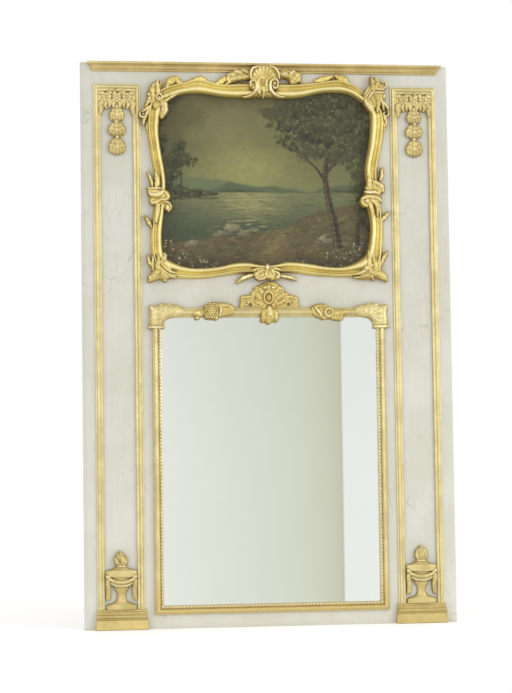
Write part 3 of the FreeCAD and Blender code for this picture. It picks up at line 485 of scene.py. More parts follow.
# ---- the shaped course of the painting frame ----
FRAME_OUTER = [
    (-345.9, 1768), (-320.9, 1778), (-291, 1785), (-266, 1789), (-246, 1799), (-226.1, 1803), (-201.1, 1799),
    (-176.2, 1789), (-151.2, 1785), (-101.3, 1786), (-51.3, 1788), (-1.4, 1787), (48.5, 1786), (98.4, 1788),
    (148.3, 1790), (198.3, 1798), (238.2, 1803), (266.2, 1798), (298.1, 1783), (326.1, 1763), (358, 1740.1),
    (383, 1713.1), (396, 1678.2), (398, 1653.2), (395, 1623.3), (390, 1590.3), (383, 1558.4), (376, 1528.4),
    (371, 1493.5), (371, 1458.5), (376, 1418.6), (382, 1373.6), (386, 1328.7), (386, 1278.8), (384, 1233.9),
    (382, 1193.9), (375, 1162), (356, 1146), (328.1, 1140), (288.1, 1141), (243.2, 1141), (198.3, 1143),
    (148.3, 1146), (98.4, 1153), (58.5, 1155), (-1.4, 1155), (-61.3, 1152), (-106.3, 1151), (-151.2, 1145),
    (-201.1, 1138), (-251, 1136), (-291, 1137), (-330.9, 1140), (-360.9, 1149), (-376.8, 1164),
    (-382.8, 1193.9), (-387.8, 1230.9), (-388.8, 1268.8), (-386.8, 1308.7), (-380.8, 1348.7),
    (-372.9, 1386.6), (-369.9, 1418.6), (-370.9, 1448.5), (-374.8, 1483.5), (-380.8, 1518.4),
    (-386.8, 1553.4), (-391.8, 1588.3), (-396.8, 1620.3), (-398.8, 1653.2), (-395.8, 1691.2),
    (-385.8, 1728.1), (-366.9, 1755.1),
]
FRAME_INNER = [
    (-331.8, 1721.2), (-311.9, 1734.2), (-290, 1743.1), (-260.1, 1749.1), (-224.2, 1750.1), (-187.3, 1746.1),
    (-152.4, 1741.1), (-112.5, 1738.2), (-72.6, 1738.2), (-32.8, 1740.1), (-2.8, 1740.1), (37, 1738.2),
    (76.9, 1737.2), (111.8, 1740.1), (146.7, 1748.1), (179.6, 1755.1), (216.5, 1758.1), (256.4, 1757.1),
    (286.3, 1749.1), (308.2, 1736.2), (326.1, 1722.2), (341.1, 1705.3), (349.1, 1681.3), (349.1, 1646.4),
    (346.1, 1606.6), (340.1, 1566.7), (332.1, 1528.8), (328.1, 1496.9), (330.1, 1462), (332.1, 1427.1),
    (331.1, 1399.2), (334.1, 1371.3), (341.1, 1337.4), (344.1, 1302.5), (341.1, 1267.6), (335.1, 1237.7),
    (324.1, 1211.8), (304.2, 1195.8), (276.3, 1181.9), (241.4, 1173.9), (196.5, 1174.9), (146.7, 1182.9),
    (96.8, 1188.9), (57, 1189.8), (27.1, 1182.9), (-2.8, 1178.9), (-37.7, 1181.9), (-67.6, 1187.9),
    (-97.6, 1187.9), (-127.5, 1183.9), (-160.4, 1175.9), (-202.2, 1170.9), (-247.1, 1169.9), (-287, 1176.9),
    (-316.9, 1188.9), (-336.8, 1201.8), (-347.8, 1219.8), (-351.8, 1247.7), (-351.8, 1282.6),
    (-348.8, 1317.5), (-343.8, 1352.3), (-339.8, 1387.2), (-337.8, 1427.1), (-337.8, 1462), (-341.8, 1496.9),
    (-348.8, 1536.8), (-354.8, 1576.7), (-358.7, 1616.5), (-356.8, 1651.4), (-348.8, 1691.3),
]
# section of the frame: place across it (0 outer edge, 1 sight edge) and height ahead of the stile face
FRAME_SECTION = [
    (0.000, 5.0), (0.020, 8.5), (0.060, 11.0), (0.100, 13.5), (0.140, 17.0), (0.165, 20.5), (0.190, 22.6),
    (0.220, 23.4), (0.250, 22.8), (0.275, 20.6), (0.300, 18.0), (0.340, 15.8), (0.400, 14.6), (0.470, 14.6),
    (0.530, 15.8), (0.575, 18.0), (0.605, 20.6), (0.640, 22.8), (0.690, 24.4), (0.750, 25.2), (0.810, 25.0),
    (0.860, 24.0), (0.900, 22.2), (0.930, 19.8), (0.950, 17.2), (0.975, 15.6), (1.000, 13.4),
]
# how dark (-) or bright (+) each part of the section is drawn: patina and wear, together with painted shade in the cove
# and at both edges and painted highlight on the rounds
FRAME_PATINA_AND_SHADING = [
    (0.00, -1.3), (0.06, -0.6), (0.12, 0.2), (0.19, 1.0), (0.24, 0.9), (0.29, 0.0), (0.36, -0.7), (0.46, -0.6),
    (0.56, -0.1), (0.62, 0.6), (0.68, 1.2), (0.76, 1.4), (0.83, 1.2), (0.89, 0.5), (0.93, -0.5), (1.00, -1.4),
]


def course():
    """Matched points along the outer and inner edges, clockwise from the top left."""
    N = 1500
    O, _ = resample(smooth_line(FRAME_OUTER, 1.5, closed=True), N, closed=True)
    I, _ = resample(smooth_line(FRAME_INNER, 1.5, closed=True), N, closed=True)
    D = (O[:, None, 0] - I[None, :, 0]) ** 2 + (O[:, None, 1] - I[None, :, 1]) ** 2
    j = np.unwrap(D.argmin(1) * 2 * math.pi / N) * N / (2 * math.pi)
    k = D.argmin(0)
    # average of the nearest match seen from each side, kept in order
    a = np.arange(N, dtype=float)
    j2 = np.interp(a, np.sort(np.unwrap(k * 2 * math.pi / N) * N / (2 * math.pi)), a)
    w = 61
    pad = np.concatenate([j[-w:] - N, j, j[:w] + N])
    j = np.convolve(pad, np.ones(w) / w, mode="same")[w:-w]
    j = np.maximum.accumulate(j)
    fr = (j % N)
    i0 = np.floor(fr).astype(int) % N
    f = (fr - np.floor(fr))[:, None]
    return O, I[i0] * (1 - f) + I[(i0 + 1) % N] * f


COURSE_O, COURSE_I = course()


def frame_height(X, Z):
    """Height of the painting frame's moulding at any (x, z), or a low value off it."""
    O, I = COURSE_O[::3], COURSE_I[::3]
    shape = X.shape
    x, z = X.ravel(), Z.ravel()
    do, di = np.full(x.shape, 1e9), np.full(x.shape, 1e9)
    for L, d in ((O, do), (I, di)):
        for a in range(0, len(L), 50):
            q = ((x[:, None] - L[None, a:a + 50, 0]) ** 2 + (z[:, None] - L[None, a:a + 50, 1]) ** 2).min(1)
            np.minimum(d, q, out=d)
    do, di = np.sqrt(do), np.sqrt(di)
    inside = in_polygon(x, z, O[::2]) & ~in_polygon(x, z, I[::2])
    t = do / np.maximum(do + di, 1e-6)
    s = np.array(FRAME_SECTION)
    h = np.interp(t, s[:, 0], s[:, 1])
    return np.where(inside, h, NONE).reshape(shape)


def under_frame(c):
    # level that a carved piece has to rise above to show: the moulding, or the board
    f = frame_height(c.X, c.Z)
    return np.where(f > NONE / 2, f - 0.3, 0.4)

# ---- carved pieces round the painting ----
# Points are given as sighted on the stile face; `sight` moves them for the height they stand at.
def band(c, pts, w, h, e=None, hollow=0.8):
    c.stroke(pts, w, h, edge=[q * 0.66 for q in h] if e is None else e, shape=2.3, hollow=hollow)


def leaf(c, pts, w, h, lobes=3, e=None, lobe=0.16, vein=0.30, groove=1.2, slant=0.9):
    c.leafy(pts, w, h, [q * 0.6 for q in h] if e is None else e, lobes, lobe, vein, groove, slant)


def corner_top_left():
    c = Carving(-438, -278, 1640, 1828, sight=28)
    c.plate([(-360.8, 1786.6), (-347.7, 1780.1), (-347.9, 1760.2), (-338.1, 1750.3), (-328.4, 1737.2), (-331.8, 1723.8), (-325.4, 1707.3), (-328.9, 1687.3), (-339, 1673.9), (-352.2, 1670.5), (-361.8, 1700.2), (-374.8, 1713.4), (-391.2, 1719.8), (-394.3, 1739.7), (-390.8, 1759.7), (-380.7, 1776.4)], 16, 26, rim=13)
    leaf(c, [(-368.1, 1726.7), (-372.8, 1746.6), (-375.9, 1766.5), (-365.8, 1784.9)], [8.4, 11.6, 11.6, 5.8], [27, 31, 31, 27], 3, e=[18, 16, 14, 13])
    leaf(c, [(-356.4, 1736.8), (-357.9, 1756.8), (-357.7, 1773.4), (-359.2, 1790)], [5.8, 8.4, 9, 5.8], [28, 32, 34, 31], 2, e=[18, 18, 18, 16])
    c.ball(-360.2, 1780, 6.4, 34, 20, rz=9.7, ang=-15)
    c.stroke([(-348.9, 1791.4), (-348.4, 1780.1), (-349.2, 1766.8)], [3.2, 4.2, 2.6], [24, 25, 23], edge=[14, 15, 16])
    # cream lobes on the left
    for q, r in (((-387.6, 1746.4), 7.0), ((-385.8, 1733.2), 7.5), ((-374.6, 1730.6), 6.5)):
        c.ball(q[0], q[1], r, 32, 17, rz=r * 0.85)
    # eye and the leaf it holds
    c.ring(-354.1, 1738.2, 8.6, 3.6, 33, 24, rz=9.5)
    c.ball(-354.1, 1734.9, 5.2, 34, 24)
    leaf(c, [(-358.1, 1730.2), (-341.6, 1737), (-326.6, 1745.5), (-311.7, 1755.6)], [5.2, 8.4, 7.7, 3.2], [30, 32, 30, 27], 3, e=[22, 22, 22, 22])
    leaf(c, [(-351.6, 1726.9), (-338.4, 1723.8), (-318.5, 1735.6), (-291.9, 1751.6)], [4.5, 6.1, 5.5, 2.6], [29, 31, 29, 26], 2, e=[20, 19, 18, 17])
    # big cream lobe over the picture
    leaf(c, [(-349.9, 1730.3), (-340.2, 1717.1), (-337.1, 1697.2), (-345.6, 1672.2)], [7.7, 12.9, 13.5, 6.4], [30, 34, 34, 28], 3, e=[20, 21, 21, 19], lobe=0.06, vein=0.12)
    c.stroke([(-353.3, 1721.9), (-349.2, 1707), (-350.7, 1687.1)], [2.3, 2.9, 1.9], [24], mode="cut", edge=[29])
    c.light([(-331.9, 1717.2), (-329.5, 1700.6), (-335.6, 1683.9)], 6.5, 0.9)
    # foot of the left run begins as a rounded shield
    c.ball(-364.3, 1710.2, 10.9, 31, 22, rz=13.5)
    # leaves and curl outside
    leaf(c, [(-377.8, 1736.6), (-389.2, 1723.2), (-396.6, 1709.8), (-400, 1696.5)], [5.8, 8.4, 7.7, 3.2], [26, 27, 24, 18], 2, e=[14, 12, 11, 10])
    leaf(c, [(-381.4, 1710), (-393.4, 1699.9), (-406, 1691.5), (-415.9, 1687.7)], [5.8, 7.7, 6.4, 2.6], [25, 27, 25, 18], 2, e=[14, 12, 10, 9])
    c.stroke([(-417.2, 1687.7), (-416.6, 1676.4), (-406.8, 1671.2), (-396.9, 1674.7), (-396.2, 1683.3)], [3.5, 4.8, 4.8, 3.9, 2.6], [22, 26, 28, 28, 26], edge=[9, 10, 12, 14, 14])
    c.ball(-406.1, 1681.2, 4.8, 29, 13)
    leaf(c, [(-386.5, 1700), (-394.9, 1683.3), (-403.6, 1663.3), (-406.5, 1643.4)], [5.2, 7.7, 6.4, 2.6], [25, 27, 24, 18], 3, e=[14, 13, 11, 10])
    c.shade([(-351.6, 1783.4), (-349.1, 1770.2)], 4.5, -1.6)
    c.shade([(-380.8, 1773.1), (-386.2, 1759.7), (-389.6, 1749.7)], 5.0, -0.9)
    c.shade([(-369.1, 1750), (-364.7, 1730.1), (-369.5, 1715.1)], 4.0, -1.4)
    c.shade([(-397.8, 1719.8), (-396.6, 1706.5)], 5.0, -1.6)
    c.shade([(-414.5, 1691.1), (-401.4, 1688.5)], 4.0, -1.4)
    return c


def corner_top_right():
    c = Carving(302, 455, 1640, 1851, sight=28)
    c.plate([(355.4, 1802.5), (369.1, 1809.4), (389.3, 1796.1), (406.2, 1789.6), (402.3, 1765.9), (405.4, 1745.7), (394.9, 1732.1), (381, 1715.1), (357, 1701.3), (340.2, 1707.9), (330.4, 1731.4), (330.8, 1751.6), (337.9, 1771.9), (351.7, 1782.2)], 16, 26, rim=13)
    leaf(c, [(361.5, 1762.1), (363.2, 1778.9), (360.7, 1795.8), (357, 1814.6)], [7.1, 9, 7.1, 3.2], [28, 32, 30, 25], 2, e=[18, 17, 16, 14])
    leaf(c, [(365, 1765.5), (373.4, 1782.4), (379.1, 1796), (372.5, 1809.4)], [8.4, 11.6, 10.3, 4.5], [29, 33, 33, 28], 3, e=[18, 16, 14, 13])
    c.stroke([(387.6, 1775.9), (401.9, 1777.4), (407.5, 1788.3), (400.9, 1797), (392.6, 1791.5)], [4.5, 4.8, 4.8, 4.2, 2.9], [28, 30, 31, 31, 29], edge=[14, 13, 13, 14, 16])
    c.ball(399, 1787.5, 4.5, 32, 18)
    # folded edge: two light ridges to the right
    band(c, [(363.4, 1771.5), (378.7, 1772.4), (397.7, 1770.6)], [3.5, 4.5, 2.9], [31, 32, 29], [20, 17, 15])
    band(c, [(363.2, 1760.7), (380.2, 1761.6), (400.2, 1760.5)], [3.5, 4.8, 2.9], [31, 32, 29], [20, 17, 15])
    c.ball(399.3, 1749, 6.8, 33, 16, rz=9)
    # ribbed leaf turned over the corner
    for k, (a, b, d) in enumerate((((366.4, 1768.9), (352.5, 1751.8), (342, 1732.8)), ((358.3, 1774.2), (345.8, 1758.5), (335.3, 1738.2)), ((350.2, 1776.8), (339.8, 1763.8), (331.4, 1746.9)))):
        c.stroke([a, b, d], [4.2, 6.2, 5.4, 3.0], [30, 34, 33, 29], edge=[23, 23, 22, 20], shape=2.0)
    leaf(c, [(337.4, 1741.5), (343.9, 1728.1), (353.8, 1713.4), (360.3, 1696)], [9.7, 14.2, 14.2, 7.1], [30, 34, 33, 28], 4, e=[20, 21, 21, 20], lobe=0.05, vein=0.22, slant=0.3)
    c.light([(335.2, 1731.4), (343.7, 1714.7), (353.7, 1704.7)], 6.0, 0.8)
    leaf(c, [(371.6, 1756.8), (376.8, 1742), (379.1, 1721.8), (377.3, 1698.2)], [6.4, 9, 8.4, 4.5], [28, 31, 29, 25], 3, e=[18, 18, 18, 18])
    # small leaves and a curl outside
    leaf(c, [(381.8, 1755.6), (390.3, 1738.8), (396.1, 1722), (399.8, 1701.8)], [5.2, 7.1, 6.4, 2.9], [26, 28, 25, 18], 3, e=[14, 12, 11, 10])
    leaf(c, [(391.6, 1735.4), (403.6, 1722.1), (412.2, 1712.1), (415.4, 1698.6)], [4.8, 6.4, 5.8, 2.6], [24, 26, 23, 17], 2, e=[13, 11, 10, 9])
    c.stroke([(414.7, 1699.9), (413.1, 1687.1), (402.1, 1681.6), (396.9, 1689.6), (402.4, 1695.1)], [3.5, 4.8, 4.8, 3.9, 2.6], [21, 25, 27, 27, 25], edge=[9, 10, 12, 13, 13])
    leaf(c, [(397.6, 1691.7), (402, 1674.9), (406.5, 1661.4), (403.5, 1644.6)], [5.2, 7.1, 5.8, 2.6], [25, 27, 24, 18], 2, e=[14, 13, 11, 10])
    c.shade([(354.3, 1812.6), (354.7, 1799.1)], 4.5, -1.5)
    c.shade([(356.9, 1789), (363.9, 1780.3)], 5.0, -1.2)
    c.shade([(375.6, 1789.2), (387.9, 1796.1)], 4.0, -1.0)
    c.shade([(368.4, 1766.2), (398.9, 1765.9)], 2.4, -1.6)
    c.shade([(364.7, 1750.6), (372.6, 1735.2), (374.2, 1715)], 3.6, -1.3)
    c.shade([(406.4, 1693.1), (409.7, 1685.1)], 4.5, -1.6)
    return c


def side_scroll_left():
    c = Carving(-441, -301, 1297, 1495, sight=26)
    c.plate([(-394.2, 1435.2), (-374.4, 1438.6), (-345, 1428.9), (-326.7, 1415.8), (-325.6, 1395.9), (-320.5, 1379.5), (-328, 1359.6), (-345.6, 1369.5), (-361.9, 1382.6), (-378.3, 1379.2), (-386.1, 1389.1), (-387.9, 1405.6), (-395.7, 1418.7)], 15, 26, rim=11)
    # leaf above, lying up the frame
    leaf(c, [(-367.9, 1435.4), (-363.1, 1451.9), (-363.6, 1468.4), (-368.6, 1488.2)], [7.1, 9.7, 8.4, 3.2], [27, 31, 29, 26], 3, e=[20, 20, 20, 20])
    leaf(c, [(-379, 1438.6), (-380.8, 1455.1), (-385.9, 1471.6), (-393.6, 1491.3)], [3.9, 6.4, 5.8, 2.6], [24, 25, 22, 16], 2, e=[13, 12, 11, 10], lobe=0.06, vein=0.15)
    # upper cushion, sweeping round to the right
    band(c, [(-396.1, 1437.2), (-381, 1434.6), (-361.3, 1435.4), (-348.2, 1433.5)], [2.9, 4.2, 3.9, 1.9], [25, 29, 30, 28], [13, 17, 20, 22])
    c.stroke([(-391.6, 1428.6), (-385.2, 1416.1), (-370.1, 1412.2), (-353.6, 1416.9), (-343.6, 1429.5)], [4.5, 8.7, 9.7, 9, 5.2], [25, 31, 32, 32, 28], edge=[13, 15, 20, 22, 22], shape=2.4)
    c.light([(-383.2, 1420.1), (-369.4, 1416.9), (-354.9, 1422.2)], 5.5, 1.0)
    # right lobe
    c.stroke([(-345, 1426.9), (-333.9, 1419), (-328.8, 1405.8), (-337.4, 1397.9), (-353.8, 1399.1)], [4.5, 8.4, 7.7, 6.4, 3.9], [28, 31, 32, 32, 29], edge=[20, 20, 21, 21, 21])
    c.ball(-335.4, 1400.5, 6.4, 33, 22, rz=4.5)
    # lower cushion
    c.stroke([(-386.7, 1400.9), (-380.2, 1389.1), (-367.1, 1389.8), (-353.2, 1397.1)], [3.9, 8.4, 8.4, 4.5], [24, 30, 31, 29], edge=[12, 14, 19, 22], shape=2.4)
    # curl that drops over the picture
    c.stroke([(-354, 1383.9), (-338.8, 1389.9), (-324.4, 1384.7), (-319.9, 1371.5), (-327.3, 1359.6)], [2.9, 4.2, 4.8, 4.8, 2.9], [28, 30, 31, 31, 29], edge=[21, 21, 20, 20, 20])
    c.ball(-330.5, 1372.2, 7.4, 34, 22, rz=11.6)
    leaf(c, [(-361.9, 1382.6), (-362.7, 1366.1), (-365.6, 1346.3), (-367.8, 1323.2)], [7.7, 9.7, 8.4, 3.9], [28, 31, 29, 26], 3, e=[20, 20, 20, 20], lobe=0.06, vein=0.15)
    # loose leaf below on the outer edge
    leaf(c, [(-383.7, 1308.4), (-392.1, 1323.1), (-398.5, 1335), (-404.9, 1344.8)], [3.9, 7.7, 7.1, 2.9], [23, 26, 24, 17], 2, e=[13, 12, 11, 10])
    c.shade([(-387.9, 1406.2), (-371.5, 1403), (-353.8, 1404.4)], 2.8, -2.0)
    c.shade([(-389, 1429.3), (-361.4, 1429.1)], 2.0, -1.3)
    c.shade([(-379.5, 1458.4), (-375.1, 1441.9)], 3.4, -1.5)
    c.shade([(-358.6, 1385.9), (-340.2, 1386.6), (-339.1, 1366.2)], 2.6, -1.8)
    c.shade([(-373.1, 1377.9), (-378.6, 1356.1)], 4.0, -1.0)
    c.shade([(-320.4, 1386.1), (-319.3, 1369.6)], 2.4, -1.0)
    return c


def side_scroll_right():
    c = Carving(289, 455, 1299, 1507, sight=26)
    c.plate([(332.2, 1445.9), (352.7, 1459.4), (376.4, 1459.5), (395.2, 1452.9), (394.9, 1432.8), (382.4, 1419.4), (385.5, 1402.6), (375.1, 1389.2), (351.3, 1382.4), (331, 1378.9), (316.3, 1392.3), (321.4, 1412.3), (331.8, 1425.8)], 15, 26, rim=11)
    # upper outer lobe
    c.stroke([(354.1, 1464.1), (371.6, 1454.8), (385.6, 1442.8), (391.4, 1428.1)], [3.9, 8.4, 9.7, 5.2], [27, 31, 31, 25], edge=[20, 18, 14, 12], shape=2.3)
    c.ball(387, 1446.2, 5.8, 33, 16, rz=10.9, ang=12)
    c.light([(385.7, 1451.6), (387.5, 1439.5)], 4.0, 1.0)
    leaf(c, [(381.9, 1464.9), (388.3, 1483.1), (388.6, 1496.5), (394.3, 1513.4)], [4.5, 7.1, 5.8, 2.6], [24, 26, 23, 16], 2, e=[13, 12, 11, 10], lobe=0.08, vein=0.15)
    leaf(c, [(346.8, 1432.6), (345.1, 1452.7), (344.8, 1472.8), (348.5, 1492.9)], [8.4, 10.3, 8.4, 3.9], [28, 31, 29, 26], 3, e=[20, 20, 20, 20], lobe=0.06, vein=0.15)
    leaf(c, [(365.7, 1429.3), (361.9, 1442.7), (358.1, 1457.4)], [7.1, 7.7, 3.2], [28, 31, 28], 2, e=[20, 20, 20])
    # bright band across, and the broader one under it
    c.stroke([(329.8, 1427.1), (344.6, 1424.5), (360.9, 1425.3), (377.1, 1421.3)], [3.9, 6.4, 6.8, 4.5], [28, 33, 33, 29], edge=[21, 22, 21, 18], shape=2.3)
    c.stroke([(319.9, 1404.3), (336.2, 1409.7), (357.2, 1409.8), (374.7, 1403.9), (384, 1394.6)], [5.2, 7.4, 8.1, 7.7, 3.9], [29, 32, 32, 31, 26], edge=[21, 21, 21, 18, 15], shape=2.3)
    c.light([(338.6, 1426.5), (358.8, 1425.3)], 5.0, 1.0)
    # lobe over the picture and the folds below
    c.stroke([(321.3, 1407), (317.8, 1395.6), (324.3, 1384.3), (336.4, 1379)], [3.9, 6.4, 7.1, 3.9], [27, 30, 31, 28], edge=[20, 20, 20, 20])
    c.ball(335.3, 1397, 6.8, 34, 22, rz=8.4, ang=-20)
    leaf(c, [(340.1, 1395.7), (347.9, 1379), (352.9, 1359), (353.8, 1332.2)], [6.4, 8.4, 7.7, 3.2], [28, 31, 29, 26], 3, e=[20, 20, 20, 20], lobe=0.05, vein=0.12)
    leaf(c, [(356.3, 1399.1), (366.3, 1385.8), (370.6, 1365.7), (370.9, 1345.6)], [6.4, 7.7, 6.4, 3.2], [28, 31, 28, 24], 2, e=[20, 19, 18, 18], lobe=0.05, vein=0.12)
    # loose leaf below on the outer edge
    leaf(c, [(382.1, 1328.9), (392.5, 1340.4), (401.5, 1350.4), (411.9, 1361.9)], [4.5, 8.1, 7.4, 3.2], [23, 27, 25, 17], 2, e=[13, 12, 11, 10])
    c.shade([(331.6, 1416.4), (355.3, 1417.2), (378.9, 1413.3)], 2.4, -1.6)
    c.shade([(346.2, 1397.7), (356.1, 1385.7), (361.3, 1371)], 2.0, -2.0)
    c.shade([(316.6, 1405.6), (316.3, 1388.9), (327.6, 1376.9)], 3.0, -1.0)
    c.shade([(391.3, 1461), (383.2, 1463.6)], 3.0, -1.4)
    c.shade([(333.3, 1433.2), (352.2, 1434.6), (372.5, 1431.4)], 2.0, -1.4)
    c.shade([(391.5, 1358.4), (407.1, 1359.2)], 3.6, -1.2)
    return c


def corner_bottom_left():
    c = Carving(-443, -278, 1106, 1251, sight=28)
    c.plate([(-377.1, 1191.6), (-357.2, 1204.8), (-340.7, 1214.6), (-331.1, 1194.9), (-318.2, 1171.9), (-321.8, 1145.6), (-338.3, 1133.8), (-358, 1135.8), (-374.4, 1130.5), (-394.1, 1129.2), (-393.9, 1148.9), (-380.6, 1165.3)], 15, 26, rim=12)
    c.stroke([(-350.8, 1194.9), (-342.8, 1204.8), (-340.7, 1215.3), (-349.2, 1219.9)], [5.8, 9, 7.1, 3.2], [29, 33, 31, 27], edge=[21, 21, 20, 20], shape=2.2)
    leaf(c, [(-363, 1158.8), (-364.1, 1178.5), (-361.9, 1198.2), (-361.7, 1217.9)], [8.4, 10.3, 7.7, 3.2], [30, 34, 30, 26], 3, e=[20, 20, 20, 20], lobe=0.06, vein=0.2)
    c.ball(-362.8, 1173.2, 8.7, 34, 22, rz=10.9, ang=20)
    leaf(c, [(-379.3, 1165.3), (-380.4, 1188.3), (-379.5, 1211.3)], [5.2, 6.4, 2.9], [27, 28, 24], 2, e=[15, 14, 13], lobe=0.06, vein=0.12)
    # ridges running into the lower moulding
    c.stroke([(-356.1, 1191.6), (-342.5, 1175.2), (-325.6, 1162), (-302, 1154.1)], [3.9, 6.1, 5.5, 2.3], [29, 31, 30, 26], edge=[21, 21, 21, 20])
    c.stroke([(-359.5, 1177.2), (-346.5, 1164), (-331.6, 1154.1), (-308.6, 1147.6)], [3.9, 6.1, 5.2, 2.3], [30, 32, 30, 24], edge=[21, 20, 18, 15])
    # two broad feet
    leaf(c, [(-360.9, 1168.6), (-370.9, 1154.2), (-379.5, 1143), (-390.8, 1133.8)], [9.7, 13.5, 14.2, 8.4], [30, 32, 30, 22], 3, e=[17, 13, 10, 8], lobe=0.07, vein=0.20, groove=0.6)
    leaf(c, [(-351.1, 1165.3), (-346.6, 1154.2), (-342.8, 1145.6), (-340.3, 1135.1)], [9.7, 14.2, 14.8, 9], [30, 32, 29, 21], 4, e=[18, 14, 11, 9], lobe=0.07, vein=0.24, groove=0.8)
    c.ball(-390, 1142.4, 7.1, 30, 11, rz=9)
    leaf(c, [(-331.6, 1150.9), (-318.5, 1145.6), (-302.2, 1141)], [5.2, 5.8, 2.6], [27, 26, 20], 2, e=[15, 14, 12])
    # loose leaf outside
    leaf(c, [(-382.5, 1176.5), (-390.2, 1190.3), (-393.3, 1201.4), (-397.8, 1216.6)], [3.9, 6.8, 6.1, 2.6], [23, 26, 23, 16], 2, e=[13, 12, 11, 10])
    c.shade([(-379, 1191.6), (-378.6, 1165.3)], 2.6, -1.8)
    c.shade([(-367, 1211.3), (-367.2, 1191.6)], 2.6, -1.6)
    c.shade([(-359.1, 1152.2), (-358, 1135.8)], 2.6, -1.8)
    c.shade([(-331.5, 1154.8), (-305.3, 1152.2)], 2.2, -1.6)
    c.shade([(-396, 1139.1), (-387.6, 1127.3), (-371.2, 1129.2)], 2.6, -1.0)
    c.shade([(-354.2, 1183.7), (-344.4, 1177.2)], 3.0, -1.2)
    return c


def corner_bottom_right():
    c = Carving(279, 444, 1105, 1259, sight=28)
    c.plate([(320.7, 1178.6), (331.2, 1198.6), (344.9, 1212), (368.4, 1205.3), (381.6, 1188.6), (381.3, 1168.6), (395.9, 1155.3), (400.9, 1135.3), (384, 1131.9), (360.5, 1141.9), (333.4, 1135.3), (306.5, 1138.7), (306.9, 1158.6)], 15, 26, rim=12)
    leaf(c, [(342, 1165.3), (341, 1185.3), (340, 1205.3), (338.4, 1228.6)], [7.7, 9.7, 7.7, 3.2], [29, 33, 30, 26], 3, e=[21, 20, 20, 20], lobe=0.06, vein=0.2)
    leaf(c, [(362.2, 1161.9), (361.2, 1181.9), (356.2, 1202), (355.3, 1225.3)], [7.7, 9.7, 7.7, 3.2], [29, 33, 30, 26], 3, e=[20, 19, 19, 19], lobe=0.06, vein=0.2)
    leaf(c, [(373.1, 1165.3), (374.1, 1185.3), (373.2, 1208.6)], [5.8, 7.1, 2.9], [27, 29, 24], 2, e=[15, 14, 13], lobe=0.06, vein=0.12)
    c.ball(330.7, 1171.9, 8.4, 34, 22, rz=9.7, ang=-30)
    c.ball(349.1, 1180.6, 5.8, 33, 22, rz=8.4)
    c.ball(369.5, 1190.6, 5.2, 32, 18, rz=8.4)
    c.stroke([(337.4, 1169.9), (320.4, 1160.6), (303.4, 1154.6), (283.2, 1150.6)], [3.9, 6.1, 5.5, 2.3], [30, 31, 29, 25], edge=[21, 21, 20, 19])
    c.stroke([(343.9, 1158.6), (326.9, 1147.3), (306.6, 1142.6), (286.4, 1142)], [5.2, 6.8, 5.5, 2.3], [29, 30, 27, 20], edge=[19, 16, 14, 12])
    # long foot sweeping to the right
    leaf(c, [(341.9, 1159.9), (358.7, 1155.9), (376.2, 1151.9), (388.9, 1143.9), (398.8, 1130.6)], [7.7, 10.9, 11.3, 9.7, 4.2], [30, 32, 31, 28, 19], 4, e=[17, 14, 12, 10, 8], lobe=0.06, vein=0.16, groove=0.5)
    leaf(c, [(343.9, 1155.3), (348.4, 1144), (355.6, 1133.3)], [7.1, 7.7, 3.2], [28, 28, 20], 2, e=[15, 13, 10])
    # loose leaf outside
    leaf(c, [(380.1, 1178.6), (385.2, 1198.6), (393.6, 1213.3), (404.7, 1228.7)], [4.5, 8.1, 8.1, 3.2], [23, 27, 25, 17], 3, e=[13, 12, 11, 10])
    c.shade([(359.7, 1212), (360.1, 1192)], 2.6, -2.0)
    c.shade([(349.5, 1205.3), (350.9, 1171.9)], 2.2, -1.2)
    c.shade([(337.2, 1161.9), (345.8, 1147.3)], 2.6, -1.2)
    c.shade([(306.6, 1143.3), (333.5, 1140.6), (353.7, 1138.6)], 2.4, -1.4)
    c.shade([(380.1, 1178.6), (377.8, 1165.3)], 2.8, -1.2)
    c.shade([(357.2, 1143.3), (377.3, 1137.3), (392, 1129.9)], 2.6, -1.0)
    return c


